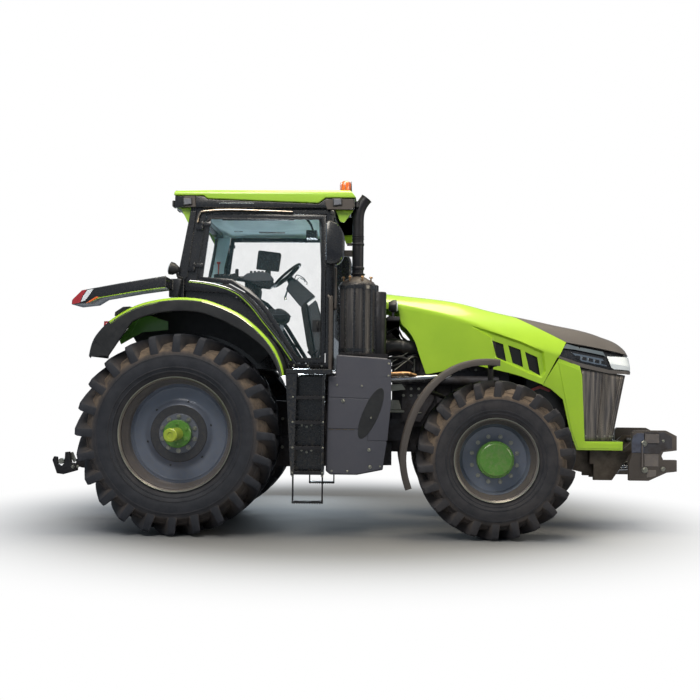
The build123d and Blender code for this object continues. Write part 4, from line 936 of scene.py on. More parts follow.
NOSE_GREY = Moulding("nose_moulding", "nose_grey", srgb(90, 86, 84), 0.4, 520.0)
FRAME_GREY = Metal("frame_steel", "frame_grey", srgb(84, 77, 70))
JAW_BLUE = Metal("jaw_steel", "frame_grey", srgb(84, 90, 108), 0.5, 0.5)
CAST = Metal("cast_iron", "cast_grey", srgb(70, 70, 76), 0.55, 0.5)
DARK_IRON = Metal("dark_iron", "frame_grey", srgb(38, 38, 42), 0.5, 0.5, srgb(24, 22, 22))
STEEL = Bright("bright_steel", "frame_grey", srgb(170, 172, 178))
ZINC = Bright("bolt_zinc", "rim_grey", srgb(156, 156, 146), 0.3)
COPPER = Bright("copper_pipe", "frame_grey", srgb(176, 140, 104), 0.26)
GLASS = Pane("window_glass", "clear_glass", srgb(84, 118, 126))
MIRROR = Bright("mirror_silver", "mirror_black", srgb(170, 178, 186), 0.04)
CLEAR_LENS = Lens("clear_lens", "lamp_lens", srgb(196, 206, 214))
WHITE_LENS = Lens("white_lens", "lamp_lens", srgb(204, 212, 222))
RED_LENS = Lens("red_lens", "lamp_lens", srgb(150, 22, 32))
AMBER_LENS = Lens("amber_lens", "lamp_lens", srgb(214, 96, 24))
WORK_LENS = Lens("work_lamp_lens", "lamp_lens", srgb(96, 98, 106))
WARM_CHROME = Bright("warm_chrome", "mirror_black", srgb(186, 172, 156), 0.14)
SEAT_CLOTH = Weave("seat_weave", "seat_cloth", srgb(30, 32, 38))
TRIM_GREY = Moulding("cab_trim", "grey_plastic", srgb(78, 82, 90), 0.6, 620.0)
HEADLINER = Weave("headliner_weave", "seat_cloth", srgb(206, 238, 246), thread=srgb(176, 214, 222))
# the meshes carry painted shade in their holes
GRILLE_MESH = Mesh("grille_mesh", "black_plastic", srgb(66, 66, 72), pitch=95.0, streak=0.85)
VENT_MESH = Mesh("vent_mesh", "black_plastic", srgb(30, 31, 34), pitch=120.0)
CANISTER_SHEET = Mesh("canister_sheet", "exhaust_black", srgb(46, 47, 52), srgb(14, 14, 16), 150.0, 0.25)
SOOT = Metal("stack_steel", "exhaust_black", srgb(40, 41, 46), 0.4, 0.6, srgb(22, 21, 22))
RED_PAINT = Paint("red_paint", "frame_grey", srgb(176, 44, 34), shade=srgb(150, 34, 28))
CHROME = Bright("door_trim", "mirror_black", srgb(196, 200, 196), 0.1)


# --- The machine's places -------------------------------------------------------------------------
@dataclass(frozen=True)
class Stance:
    """Where the wheels stand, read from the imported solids."""

    rear_x: float
    front_x: float
    rear_r: float
    front_r: float

    @staticmethod
    def read() -> "Stance":
        """Reads the wheels' centres and radii from the tyres' boxes.

        Returns:
            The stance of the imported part.
        """
        found = {}
        for axle in ("rear", "front"):
            low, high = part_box(f"{axle}_tyre_left")
            found[axle] = ((low.x + high.x) / 2 / MM, (high.z - low.z) / 2 / MM)
        return Stance(found["rear"][0], found["front"][0], found["rear"][1], found["front"][1])

    def rear(self, *points: tuple[float, ...]) -> list[tuple[float, ...]]:
        """Points, flat (x, z) or in space, whose X is given ahead of the rear axle."""
        return [(self.rear_x + x, *rest) for x, *rest in points]

    def front(self, *points: tuple[float, ...]) -> list[tuple[float, ...]]:
        """Points, flat (x, z) or in space, whose X is given ahead of the front axle."""
        return [(self.front_x + x, *rest) for x, *rest in points]


# --- Wheels ---------------------------------------------------------------------------------------
@dataclass(frozen=True)
class LugStation:
    """One place along a tread lug: across the tyre, back along the tread, and its height and width there."""

    across: float
    back: float
    drop: float
    root: float
    width: float


@dataclass
class Wheel:
    """One wheel: its tyre with two rows of tread lugs, its rim with the disc, and its hub."""

    axle: str
    side: Side
    centre: tuple[float, float]
    middle: float
    radius: float
    width: float
    bead: float
    rim_width: float
    lugs: int
    lug_height: float
    stations: list[LugStation]
    rim_steps: Outline
    disc: Outline
    hub: Outline
    bolt_circle: float
    bolt_count: int
    bolt_size: float
    bolt_face: float
    grime: float

    def build(self) -> None:
        """Makes the tyre, the rim and the hub."""
        body = f"{self.axle}_wheel_{self.side.word}"
        name = f"{self.axle}_{{}}_{self.side.word}"
        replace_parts(self._tyre().make(name.format("tyre_form"), body, RUBBER, crease=24), name.format("tyre"))
        rim = self._turn(self.rim_steps)
        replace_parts(rim.make(name.format("rim_form"), body, RIM_PAINT, crease=30), name.format("rim"))
        self._turn(self.disc).make(name.format("disc"), body, DISC_BLUE, crease=24)
        # painted highlight: a thin ring of bright metal on each rim lip stands for light catching the lip
        lip, edge = self.rim_width / 2, self.bead + 26
        lip_highlights = Shape()
        for sign in (1, -1):
            lip_highlights.lathe(self.centre, [(self.middle + sign * y, r)
                                     for y, r in (
                (lip - 2, edge - 10), (lip + 2, edge - 6), (lip + 2, edge), (lip - 2, edge))][::sign])
        lip_highlights.on_side(self.side).make(name.format("rim_lips"), body, ZINC)
        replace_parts(self._turn(self.hub).make(name.format("hub_form"), body, HUB_GREEN, crease=28),
                    name.format("hub"))
        self._bolts().make(name.format("wheel_bolts"), body, ZINC, crease=30)
        self._extras(body, name)

    def _turn(self, profile: Outline) -> Shape:
        """Turns a closed profile of (outboard of the middle, radius), on this wheel's side."""
        return Shape().lathe(self.centre, [(self.middle + y, r) for y, r in profile]).on_side(self.side)

    def _carcass(self) -> Outline:
        """The casing's section, from bead to bead over the tread.

        Returns:
            The section's points (y, radius).
        """
        half = self.width / 2
        bead_y = self.rim_width / 2 - 25
        floor = self.radius - self.lug_height
        wall = floor - self.bead
        right = [(bead_y, self.bead + 1), (bead_y + 12, self.bead + 0.1 * wall),
                 (half * 0.92, self.bead + 0.2 * wall), (half * 0.97, self.bead + 0.29 * wall),
                 (half, self.bead + 0.42 * wall), (half * 0.995, self.bead + 0.56 * wall),
                 (half * 0.975, self.bead + 0.66 * wall), (half * 0.945, self.bead + 0.72 * wall),
                 (half * 0.93, self.bead + 0.73 * wall), (half * 0.88, floor - 92), (half * 0.72, floor - 44),
                 (half * 0.3, floor - 12)]
        inner = [(half * 0.8, floor - 60), (half - 50, self.bead + 0.45 * wall), (bead_y - 40, self.bead + 1)]
        return right + [(-y, r) for y, r in reversed(right)] + [(-y, r) for y, r in reversed(inner)] + inner

    def _tyre(self) -> Shape:
        """The casing with its lugs, raised rings on the walls, and soil between the lugs, thinned towards the
        tyre's bottom as painted shade.

        Returns:
            The tyre.
        """
        shape = Shape()
        shape.lathe(self.centre, [(self.middle + y, r) for y, r in self._carcass()], sides=120)
        half = self.width / 2
        floor = self.radius - self.lug_height
        wall = floor - self.bead
        for vert in shape.bm.verts:
            x, z = vert.co.x / MM - self.centre[0], vert.co.z / MM - self.centre[1]
            r = math.hypot(x, z)
            # painted shade: the soil thins towards the bottom of the tyre, so the lower tread is darker
            upper = min(1.0, max(0.35, 0.6 + 1.2 * z / r))
            near_bead = max(0.0, 1 - (r - self.bead) / 60)
            vert[shape.dust] = max(min(1.0, max(0.0, (r - floor + 150) / 50)) * upper, 0.4 * near_bead,
                                   self.grime)
        for at, out in ((0.20, 0.928), (0.30, 0.98), (0.585, 0.998)):
            r = self.bead + at * wall
            for sign in (1, -1):
                ring = [(half * out - 8, r - 9), (half * out + 1, r - 5), (half * out + 1, r + 5),
                        (half * out - 8, r + 9)]
                shape.lathe(self.centre, [(self.middle + sign * y, q) for y, q in ring][::sign], sides=120,
                            dust=0.08)
        pitch = 2 * math.pi / self.lugs
        first = -self.stations[1].width / 2 / self.radius
        for i in range(self.lugs):
            self._lug(shape, first + i * pitch, 1)
            self._lug(shape, first + (i + 0.5) * pitch, -1)
        for vert in shape.bm.verts:
            vert[shape.dust] *= blended(0.75, 1.0, 0.5 + 0.5 * math.sin(vert.co.x * 7 + vert.co.z * 9))
        return shape.on_side(self.side)

    def _lug(self, shape: Shape, turn: float, row: int) -> None:
        """Adds one lug, from the middle of the tread out and down over the shoulder.

        Args:
            shape: the tyre, for the left.
            turn: the lug's angle round the wheel.
            row: which of the two rows it is in.
        """
        rings = []
        for station in self.stations:
            top = self.radius - station.drop
            ring = []
            for ahead, radius, across in ((0.78, top - station.root, -10), (0.5, top - 6, -1.5),
                                          (0.42, top, 0), (-0.42, top, 0), (-0.5, top - 6, -1.5),
                                          (-0.84, top - station.root, -10)):
                angle = turn + (ahead * station.width - station.back) / self.radius
                side_step = across if station.drop > 30 else 0
                y = self.middle + row * (station.across + side_step)
                ring.append((self.centre[0] + radius * math.sin(angle), y,
                             self.centre[1] + radius * math.cos(angle)))
            rings.append(ring if row > 0 else ring[::-1])
        first = len(shape.bm.verts)
        shape.loft(rings)
        shape.bm.verts.ensure_lookup_table()
        for i in range(first, len(shape.bm.verts)):
            shape.bm.verts[i][shape.dust] = 0.4 if (i - first) % 6 in (0, 5) else self.grime

    def _bolts(self) -> Shape:
        """The wheel bolts, round the disc.

        Returns:
            The bolts.
        """
        face = self.middle + self.bolt_face
        shape = Shape()
        shape.bolts_round((self.centre[0], face, self.centre[1]), self.bolt_circle, self.bolt_count,
                          self.bolt_size)
        return shape.on_side(self.side)

    def _extras(self, body: str, name: str) -> None:
        """What only this kind of wheel has."""


@dataclass
class RearWheel(Wheel):
    """A rear wheel, on a bar axle that stands out of the hub."""

    def _extras(self, body: str, name: str) -> None:
        """The clamp ring, black plugs as painted shade in the holes round the disc, a thin black ring as
        painted shade in the disc's groove, and the bar axle's end with dark plugs as painted shade in its
        holes.

        Args:
            body: the body that the wheel turns with.
            name: the pieces' names, with a gap for the part.
        """
        x, z = self.centre
        clamp = Shape().lathe(self.centre, [(self.middle + y, r) for y, r in
                                            ((96, 197), (112, 199), (112, 276), (108, 282), (96, 282))])
        # painted shade: black plugs stand for the holes round the disc
        holes = Shape()
        for a in spread(6, 15):
            px, pz = on_circle(x, z, 322, a)
            holes.rod((px, self.middle + 50, pz), (px, self.middle + 80, pz), 11, sides=20)
        axle = Shape().lathe(self.centre, [(1190, 0.5), (1190, 63), (1496, 63), (1504, 66), (1520, 66),
                                           (1530, 58), (1530, 30), (1522, 26), (1522, 0.5)], sides=48)
        # painted shade: dark plugs stand for the holes in the axle's end
        keys = Shape()
        for u, v in (on_circle(x, z, 45, a) for a in spread(3, 30)):
            keys.rod((u, 1505, v), (u, 1529, v), 9, sides=12)
        wedge = Shape()
        wedge.bolts_round((x, 1190, z), 100, 6, 17)
        flange = Shape().lathe(self.centre, [(self.middle + y, r)
                                             for y, r in (
            (90, 137), (120, 137), (120, 192), (116, 197), (90, 197))])
        # painted shade: a thin black ring stands for the shaded groove near the disc's edge
        holes.lathe(self.centre, [(self.middle + y, r)
                                  for y, r in ((60, 457), (68, 458), (68, 465), (60, 466))])
        for shape, part, finish in ((clamp, "clamp_ring", RING_GREY), (flange, "hub_flange", FLANGE_GREY),
                                    (holes, "disc_holes", BLACK), (axle, "bar_axle", AXLE_GREEN),
                                    (keys, "axle_end_holes", DARK_IRON), (wedge, "wedge_bolts", HUB_GREEN)):
            shape.on_side(self.side).make(name.format(part), body, finish, crease=30)


@dataclass
class FrontWheel(Wheel):
    """A front wheel, with a planetary hub under a green cap."""

    def _extras(self, body: str, name: str) -> None:
        """The cap's bolts and its three plugs.

        Args:
            body: the body that the wheel turns with.
            name: the pieces' names, with a gap for the part.
        """
        x, z = self.centre
        cap = Shape().bolts_round((x, 1207, z), 168, 12, 9)
        plugs = Shape()
        for u, v in (on_circle(x, z, 92, a) for a in spread(3, 112)):
            plugs.rod((u, 1216, v), (u, 1226, v), 17, 13)
        tip = Shape().lathe(self.centre, [(1200, 0.5), (1200, 60), (1223, 56), (1225, 40), (1225, 0.5)],
                            sides=40)
        for shape, part, finish in ((cap, "cap_bolts", HUB_GREEN), (plugs, "hub_plugs", HUB_GREEN),
                                    (tip, "hub_boss", HUB_GREEN)):
            shape.on_side(self.side).make(name.format(part), body, finish, crease=30)


def rear_wheel(stance: Stance, side: Side) -> RearWheel:
    """A rear wheel of 42 inches with a wide radial tyre.

    Args:
        stance: where the wheels stand.
        side: the side it is on.

    Returns:
        The wheel, ready to build.
    """
    stations = [LugStation(-26, -4, 4, 76, 80), LugStation(30, 16, 0, 78, 72), LugStation(110, 62, 1, 84, 70),
                LugStation(200, 122, 3, 106, 68), LugStation(285, 176, 8, 138, 68),
                LugStation(332, 202, 12, 160, 70), LugStation(347, 210, 34, 150, 72),
                LugStation(353, 214, 110, 90, 76), LugStation(351, 216, 180, 30, 72)]
    rim = [(310, 559), (312, 552), (296, 536), (222, 532), (172, 500), (150, 490), (-150, 490), (-172, 500),
           (-222, 532), (-296, 536), (-312, 552), (-310, 559), (-300, 557), (-290, 545), (-224, 541),
           (-166, 506), (166, 506), (224, 541), (290, 545), (300, 557)]
    disc = [(104, 137), (104, 280), (100, 288), (92, 300), (80, 316), (72, 330), (66, 348), (64, 366),
            (62, 440), (64, 452), (70, 456), (70, 466), (64, 470), (64, 491), (44, 491), (44, 372), (50, 340),
            (70, 300), (84, 280), (92, 270), (92, 137)]
    hub = [(60, 137), (204, 137), (210, 130), (210, 63), (40, 63), (40, 130)]
    return RearWheel(axle="rear", side=side, centre=(stance.rear_x, stance.rear_r), middle=980,
                     radius=stance.rear_r, width=716, bead=533, rim_width=624, lugs=24, lug_height=60,
                     stations=stations, rim_steps=rim, disc=disc, hub=hub, bolt_circle=167.5, bolt_count=10,
                     bolt_size=19, bolt_face=120, grime=0.05)


def front_wheel(stance: Stance, side: Side) -> FrontWheel:
    """A front wheel of 30 inches with a wide radial tyre.

    Args:
        stance: where the wheels stand.
        side: the side it is on.

    Returns:
        The wheel, ready to build.
    """
    stations = [LugStation(-22, -4, 4, 68, 74), LugStation(30, 18, 0, 70, 66), LugStation(100, 58, 1, 76, 62),
                LugStation(170, 104, 3, 96, 62), LugStation(236, 146, 8, 126, 62),
                LugStation(278, 168, 12, 142, 64), LugStation(291, 175, 32, 128, 66),
                LugStation(296, 178, 98, 76, 70), LugStation(294, 180, 154, 26, 66)]
    rim = [(270, 407), (272, 400), (256, 384), (198, 380), (156, 352), (136, 344), (-136, 344), (-156, 352),
           (-198, 380), (-256, 384), (-272, 400), (-270, 407), (-260, 405), (-250, 393), (-200, 389),
           (-150, 360), (150, 360), (200, 389), (250, 393), (260, 405)]
    disc = [(57, 180), (57, 300), (60, 312), (72, 320), (78, 324), (92, 328), (110, 345), (92, 345),
            (76, 336), (58, 328), (44, 316), (41, 300), (41, 180)]
    hub = [(-8, 238), (42, 238), (42, 180), (60, 180), (178, 178), (188, 172), (190, 158), (202, 158),
           (207, 150), (207, 60), (200, 40), (200, 0.5), (-8, 0.5)]
    return FrontWheel(axle="front", side=side, centre=(stance.front_x, stance.front_r), middle=1018,
                      radius=stance.front_r, width=600, bead=381, rim_width=544, lugs=22, lug_height=52,
                      stations=stations, rim_steps=rim, disc=disc, hub=hub, bolt_circle=226, bolt_count=12,
                      bolt_size=17, bolt_face=57, grime=0.12)


# --- Bonnet and nose ------------------------------------------------------------------------------
def inside(outline: Outline, x: float, y: float) -> bool:
    """Whether a point lies inside a polygon.

    Args:
        outline: the polygon's corners.
        x: the point's first number.
        y: the point's second number.

    Returns:
        True where it lies inside.
    """
    hit = False
    for (ax, ay), (bx, by) in zip(outline, outline[1:] + outline[:1]):
        if (ay > y) != (by > y) and x < (bx - ax) * (y - ay) / (by - ay) + ax:
            hit = not hit
    return hit


def dense(outline: Outline, step: float) -> Outline:
    """A polygon's sides cut into steps no longer than given.

    Args:
        outline: the polygon's corners.
        step: the longest side to leave.

    Returns:
        The polygon with its added corners.
    """
    out = []
    for (ax, ay), (bx, by) in zip(outline, outline[1:] + outline[:1]):
        count = max(1, math.ceil(math.hypot(bx - ax, by - ay) / step))
        out += [(blended(ax, bx, k / count), blended(ay, by, k / count)) for k in range(count)]
    return out


def grown(outline: Outline, out: float) -> Outline:
    """A polygon with its sides moved outwards, or inwards for a negative distance.

    Args:
        outline: the polygon's corners.
        out: how far the sides move.

    Returns:
        The new corners.
    """
    area = sum(ax * by - bx * ay for (ax, ay), (bx, by) in zip(outline, outline[1:] + outline[:1]))
    turn = 1 if area > 0 else -1
    result = []
    for before, here, after in zip(outline[-1:] + outline[:-1], outline, outline[1:] + outline[:1]):
        first = (Vector(here) - Vector(before)).normalized()
        second = (Vector(after) - Vector(here)).normalized()
        normal_a, normal_b = Vector((first.y, -first.x)) * turn, Vector((second.y, -second.x)) * turn
        middle = (normal_a + normal_b).normalized()
        reach = out / max(0.35, middle.dot(normal_a))
        result.append((here[0] + middle.x * reach, here[1] + middle.y * reach))
    return result


def skin(shape: Shape, outline: Outline, place: Callable[[float, float], Point],
         holes: list[Outline] | None = None, lines: list[Outline] | None = None, step: float = 28.0) -> Shape:
    """Meshes a flat region, with holes, and lifts each of its points into space.

    Args:
        shape: the shape that gets the mesh.
        outline: the region's edge.
        place: where a flat point (u, v) lies in space.
        holes: openings in the region.
        lines: closed lines that the mesh's edges follow.
        step: size of the mesh's cells.

    Returns:
        The shape itself.
    """
    holes = holes or []
    loops = [dense(loop, step) for loop in [outline] + holes + (lines or [])]
    points = [Vector(p) for loop in loops for p in loop]
    edges, start = [], 0
    for loop in loops:
        edges += [(start + i, start + (i + 1) % len(loop)) for i in range(len(loop))]
        start += len(loop)
    lows = [min(p[k] for p in outline) for k in (0, 1)]
    highs = [max(p[k] for p in outline) for k in (0, 1)]
    u = lows[0] + step / 2
    while u < highs[0]:
        v = lows[1] + step / 2
        while v < highs[1]:
            if inside(outline, u, v):
                points.append(Vector((u, v)))
            v += step
        u += step
    flat, _, faces, *_ = delaunay_2d_cdt(points, edges, [], 1, 1e-4)
    verts = [shape._vert(*place(p.x, p.y)) for p in flat]
    for face in faces:
        cu, cv = (sum(flat[i][k] for i in face) / len(face) for k in (0, 1))
        if inside(outline, cu, cv) and not any(inside(hole, cu, cv) for hole in holes):
            try:
                shape.bm.faces.new([verts[i] for i in face])
            except ValueError:
                continue
    loose = [vert for vert in verts if not vert.link_faces]
    bmesh.ops.delete(shape.bm, geom=loose, context="VERTS")
    return shape


@dataclass(frozen=True)
class Section:
    """A cross section of the bonnet: its half width, the crease, and the crown's shoulder and top."""

    ahead: float
    half: float
    crease_z: float
    shoulder_y: float
    shoulder_z: float
    top_z: float


@dataclass
class BonnetForm:
    """The bonnet's outer surface.

    A place round it runs from 0 on top to 1 at the shoulder, 2 at the crease, and 3 at the floor.
    """

    stance: Stance
    sections: tuple[Section, ...] = (Section(-1460, 448, 2405, 300, 2488, 2503),
                                     Section(-942, 478, 2327, 300, 2432, 2450),
                                     Section(-338, 478, 2188, 292, 2360, 2380),
                                     Section(60, 478, 2050, 285, 2262, 2284),
                                     Section(652, 470, 1838, 275, 2135, 2160),
                                     Section(1197, 448, 1740, 262, 2000, 2030),
                                     Section(1444, 416, 1700, 250, 1866, 1892),
                                     Section(1478, 368, 1690, 235, 1810, 1830))
    floor_z: float = 1350.0
    scoop: Outline = field(default_factory=lambda: [
        (-225, 2125), (24, 1985), (60, 1782), (120, 1752), (237, 1700), (405, 1622), (548, 1572), (590, 1640),
        (566, 1846), (330, 1950), (60, 2040)])
    scoop_depth: float = 26.0

    def read(self, ahead: float, key: str) -> float:
        """One of the section's sizes at a place along the bonnet.

        Args:
            ahead: how far ahead of the front axle.
            key: the size's name.

        Returns:
            The size there.
        """
        rows = [(s.ahead, getattr(s, key)) for s in self.sections]
        for i in range(len(rows) - 1):
            if ahead <= rows[i + 1][0] or i == len(rows) - 2:
                (x1, y1), (x2, y2) = rows[i], rows[i + 1]
                x0, y0 = rows[i - 1] if i else (2 * x1 - x2, 2 * y1 - y2)
                x3, y3 = rows[i + 2] if i + 2 < len(rows) else (2 * x2 - x1, 2 * y2 - y1)
                t = min(1.0, max(0.0, (ahead - x1) / (x2 - x1)))
                m1 = 0.5 * ((y1 - y0) / (x1 - x0) + (y2 - y1) / (x2 - x1)) * (x2 - x1)
                m2 = 0.5 * ((y2 - y1) / (x2 - x1) + (y3 - y2) / (x3 - x2)) * (x2 - x1)
                return ((2 * t ** 3 - 3 * t * t + 1) * y1 + (t ** 3 - 2 * t * t + t) * m1
                        + (3 * t * t - 2 * t ** 3) * y2 + (t ** 3 - t * t) * m2)
        return rows[-1][1]

    def round_at(self, ahead: float, z: float) -> float:
        """The place round the surface that a point of the side view has.

        Args:
            ahead: how far ahead of the front axle.
            z: the point's height.

        Returns:
            The place round the surface.
        """
        top, shoulder, crease = (self.read(ahead, key) for key in ("top_z", "shoulder_z", "crease_z"))
        if z >= shoulder:
            return max(0.0, (top - z) / max(1.0, top - shoulder))
        if z >= crease:
            return 1 + (shoulder - z) / max(1.0, shoulder - crease)
        return 2 + (crease - z) / max(1.0, crease - self.floor_z)

    def at(self, ahead: float, place: float, sunk: float = 0.0) -> Point:
        """The point on the right-hand side's surface at a place along and round it.

        Args:
            ahead: how far ahead of the front axle.
            place: the place round the surface.
            sunk: how far under the surface.

        Returns:
            The point in space.
        """
        top, shoulder, crease = (self.read(ahead, key) for key in ("top_z", "shoulder_z", "crease_z"))
        half, inner = self.read(ahead, "half"), self.read(ahead, "shoulder_y")
        if place <= 1:
            y, z = inner * place, blended(top, shoulder, place ** 2.2)
        elif place <= 2:
            t = place - 1
            y, z = blended(inner, half, t ** 0.86), blended(shoulder, crease, t ** 1.12)
            y += 9 * math.sin(math.pi * t)
        else:
            t = place - 2
            y = half - 10 * math.sin(min(1.0, t * 2) * math.pi / 2) * (1 - t)
            z = blended(crease, self.floor_z, t)
            depth = self._scooped(ahead, z)
            y -= depth * self.scoop_depth
        return self.stance.front_x + ahead, -(y - sunk), z - sunk * 0.3

    def _scooped(self, ahead: float, z: float) -> float:
        """How deep the scoop round the vents is at a point, 0 to 1.

        Args:
            ahead: how far ahead of the front axle.
            z: the point's height.

        Returns:
            The share of the full depth.
        """
        if not inside(self.scoop, ahead, z):
            return 0.0
        nearest = min(_edge_distance((ahead, z), a, b)
                      for a, b in zip(self.scoop, self.scoop[1:] + self.scoop[:1]))
        t = min(1.0, nearest / 22.0)
        return t * t * (3 - 2 * t)


def _edge_distance(point: tuple[float, float], a: tuple[float, float], b: tuple[float, float]) -> float:
    """Distance from a point to a straight edge.

    Args:
        point: the point.
        a: the edge's start.
        b: the edge's end.

    Returns:
        The distance.
    """
    p, start, run = Vector(point), Vector(a), Vector(b) - Vector(a)
    share = min(1.0, max(0.0, (p - start).dot(run) / run.length_squared))
    return (p - start - run * share).length


ROUND_SCALE = (300.0, 330.0, 620.0)


def _flat(place: float) -> float:
    """Turns a place round the bonnet into a length, so that a flat mesh has even cells."""
    whole = min(2, int(place))
    return sum(ROUND_SCALE[:whole]) + (place - whole) * ROUND_SCALE[whole]


def _round(length: float) -> float:
    """Turns such a length into the place round the bonnet again.

    Args:
        length: a length round the section.

    Returns:
        The place round the bonnet.
    """
    for whole, size in enumerate(ROUND_SCALE):
        if length <= size or whole == 2:
            return whole + length / size
        length -= size
    return 3.0


@dataclass
class Bonnet:
    """The one-piece bonnet with its grey cap, vents and headlamps."""

    stance: Stance
    sheet: float = 11.0
    edge: Outline = field(default_factory=lambda: smooth_line([(-1468, 2300), (-960, 2276)], 4)[:-1]
                          + smooth_line([(-935, 2262), (-911, 2130), (-844, 2058), (-773, 1951), (-718, 1791),
                                         (-655, 1612)], 5) + smooth_line([
        (-640, 1604), (-560, 1618), (-402, 1655), (-276, 1720)], 4)
                          + smooth_line([(-240, 1722), (-98, 1691), (257, 1612), (430, 1552), (556, 1506)], 5)
                          + [(700, 1778), (717, 1796)])
    cap_edge: Outline = field(default_factory=lambda: [(806, 1938), (560, 2066), (350, 2176), (264, 2226)])
    vents: tuple[tuple[tuple[float, float], ...], ...] = (
        ((30, 1962), (148, 1922), (182, 1742), (80, 1784)),
        ((200, 1912), (328, 1866), (356, 1684), (246, 1730)),
        ((374, 1846), (500, 1790), (534, 1596), (418, 1662)))

    def build(self) -> None:
        """Makes every piece that lifts with the bonnet."""
        form = BonnetForm(self.stance)
        self._shell(form)
        self._cap(form)
        self._vent_mesh(form)
        self._lamps(form)

    def _on_form(self, form: BonnetForm, sunk: float = 0.0) -> Callable[[float, float], Point]:
        """Places a flat point of the bonnet's mesh in space."""
        return lambda u, v: form.at(u, _round(v), sunk)

    def _unrolled(self, form: BonnetForm, side_view: Outline) -> Outline:
        """Side-view points on the flat mesh."""
        return [(x, _flat(form.round_at(x, z))) for x, z in side_view]

    def _shell(self, form: BonnetForm) -> None:
        """The green shell, open for the vents.

        Args:
            form: the bonnet's surface.
        """
        crown = [(x, 0.0) for x in (264, -100, -500, -900, -1200, -1460)]
        back = [(-1460, _flat(place)) for place in (0.4, 0.8, 1.2, 1.6, 1.9)]
        front = [(806, 1938)] + self.cap_edge[1:]
        cap_top = [(264, _flat(place)) for place in (0.7, 0.4)]
        outline = (crown + back + self._unrolled(form, dense_line(self.edge, 30))
                   + self._unrolled(form, dense_line(front, 30)) + cap_top)
        holes = [self._unrolled(form, dense(list(vent), 25)) for vent in self.vents]
        scoop = [self._unrolled(form, dense(form.scoop, 20)),
                 self._unrolled(form, dense(grown(form.scoop, -22), 20))]
        shape = skin(Shape(), outline, self._on_form(form), holes, scoop, 24.0)
        shape.both_sides()
        shape.welded(0.4).facing((self.stance.front_x - 300, 0, 1700))
        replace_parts(shape.sheet("bonnet_skin", "bonnet", LIME, self.sheet, 3.0), "bonnet_shell")

    def _cap(self, form: BonnetForm) -> None:
        """The grey cap over the nose, rounded down at its front.

        Args:
            form: the bonnet's surface.
        """
        crown = [(x, 0.0) for x in (264, 600, 1000, 1300, 1444, 1476)]
        tip = [(1476, _flat(place)) for place in (0.5, 0.9)]
        front = self._unrolled(form, dense_line([(1476, 1812), (1300, 1850), (1100, 1888), (806, 1938)], 40))
        side = self._unrolled(form, dense_line(self.cap_edge, 30))
        shape = skin(Shape(), crown + tip + front + side[1:] + [(264, _flat(0.7)), (264, _flat(0.4))],
                     self._on_form(form, -1.5), step=26.0)
        shape.both_sides()
        shape.welded(0.4).facing((self.stance.front_x + 700, 0, 1500))
        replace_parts(shape.sheet("nose_cap_skin", "bonnet", NOSE_GREY, self.sheet, 4.0), "nose_cap")

    def _vent_mesh(self, form: BonnetForm) -> None:
        """Dark mesh a little way behind each vent.

        Args:
            form: the bonnet's surface.
        """
        shape = Shape()
        for vent in self.vents:
            skin(shape, self._unrolled(form, dense(grown(list(vent), 12), 25)), self._on_form(form, 16.0),
                 step=40.0)
        shape.both_sides().facing((self.stance.front_x + 200, 0, 1750))
        shape.sheet("vent_mesh", "bonnet", VENT_MESH, 2.0, 0.0)

    def _lamps(self, form: BonnetForm) -> None:
        """The headlamps: a dark bowl, a bright strip, lamp modules, a clear front and a dark lip under it.

        Args:
            form: the bonnet's surface.
        """
        bowl = [(716, 1806), (806, 1936), (1100, 1884), (1474, 1808), (1476, 1642), (1244, 1656), (940, 1722)]
        strip = [(770, 1884), (812, 1928), (905, 1900), (1190, 1848), (1215, 1800), (1190, 1812), (900, 1868),
                 (800, 1880)]
        front = [(1225, 1800), (1470, 1790), (1472, 1660), (1290, 1672), (1262, 1690)]
        modules = [(860, 1842), (1180, 1782), (1225, 1704), (960, 1758)]
        lip = [(716, 1806), (720, 1784), (940, 1690), (1244, 1626), (1470, 1618), (1474, 1650), (1244, 1664),
               (944, 1732)]
        for name, finish, outline, sunk, step in (("lamp_bowl", CAB_BLACK, bowl, 30.0, 30.0),
                                                  ("lamp_strip", CHROME, strip, 12.0, 24.0),
                                                  ("lamp_front", WHITE_LENS, front, 1.0, 26.0),
                                                  ("lamp_modules", MIRROR, modules, 22.0, 26.0),
                                                  ("lamp_lip", NOSE_GREY, lip, -2.0, 26.0)):
            flat = self._unrolled(form, dense(outline, step))
            shape = skin(Shape(), flat, self._on_form(form, sunk), step=step).both_sides()
            shape.facing((self.stance.front_x + 1000, 0, 1700)).sheet(name, "bonnet", finish, 5.0, 1.5)
        place = self._on_form(form, 3.0)
        bars = Shape()
        for i in range(5):
            x, y, z = place(900 + 66 * i, _flat(form.round_at(900 + 66 * i, 1800 - 13 * i)))
            bars.prism([(x, z - 22), (x + 46, z - 31), (x + 46, z + 5), (x, z + 14)], y + 12, y + 22)
        plate = [(-205, 1640), (-205, 1806), (-120, 1822), (0, 1828), (120, 1822), (205, 1806), (205, 1640)]
        nose = Shape().panel(plate, self.stance.front_x + 1440, self.stance.front_x + 1468)
        eyes = Shape()
        for y in (265, 335):
            eyes.tube(self.stance.front((1400, y, 1735), (1440, y, 1735), (1444, y, 1735)), [40, 44, 36], 28)
        bars.both_sides().make("lamp_diodes", "bonnet", CAB_BLACK, edge=3)
        eyes.both_sides().make("lamp_eyes", "bonnet", CLEAR_LENS, edge=3)
        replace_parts(nose.make("nose_plate", "bonnet", CAB_BLACK, edge=10, segments=3), "headlamps")


def dense_line(points: Outline, step: float) -> Outline:
    """An open line cut into steps no longer than given."""
    return dense(points, step)[:-max(1, math.ceil(math.dist(points[-1], points[0]) / step))] + [points[-1]]


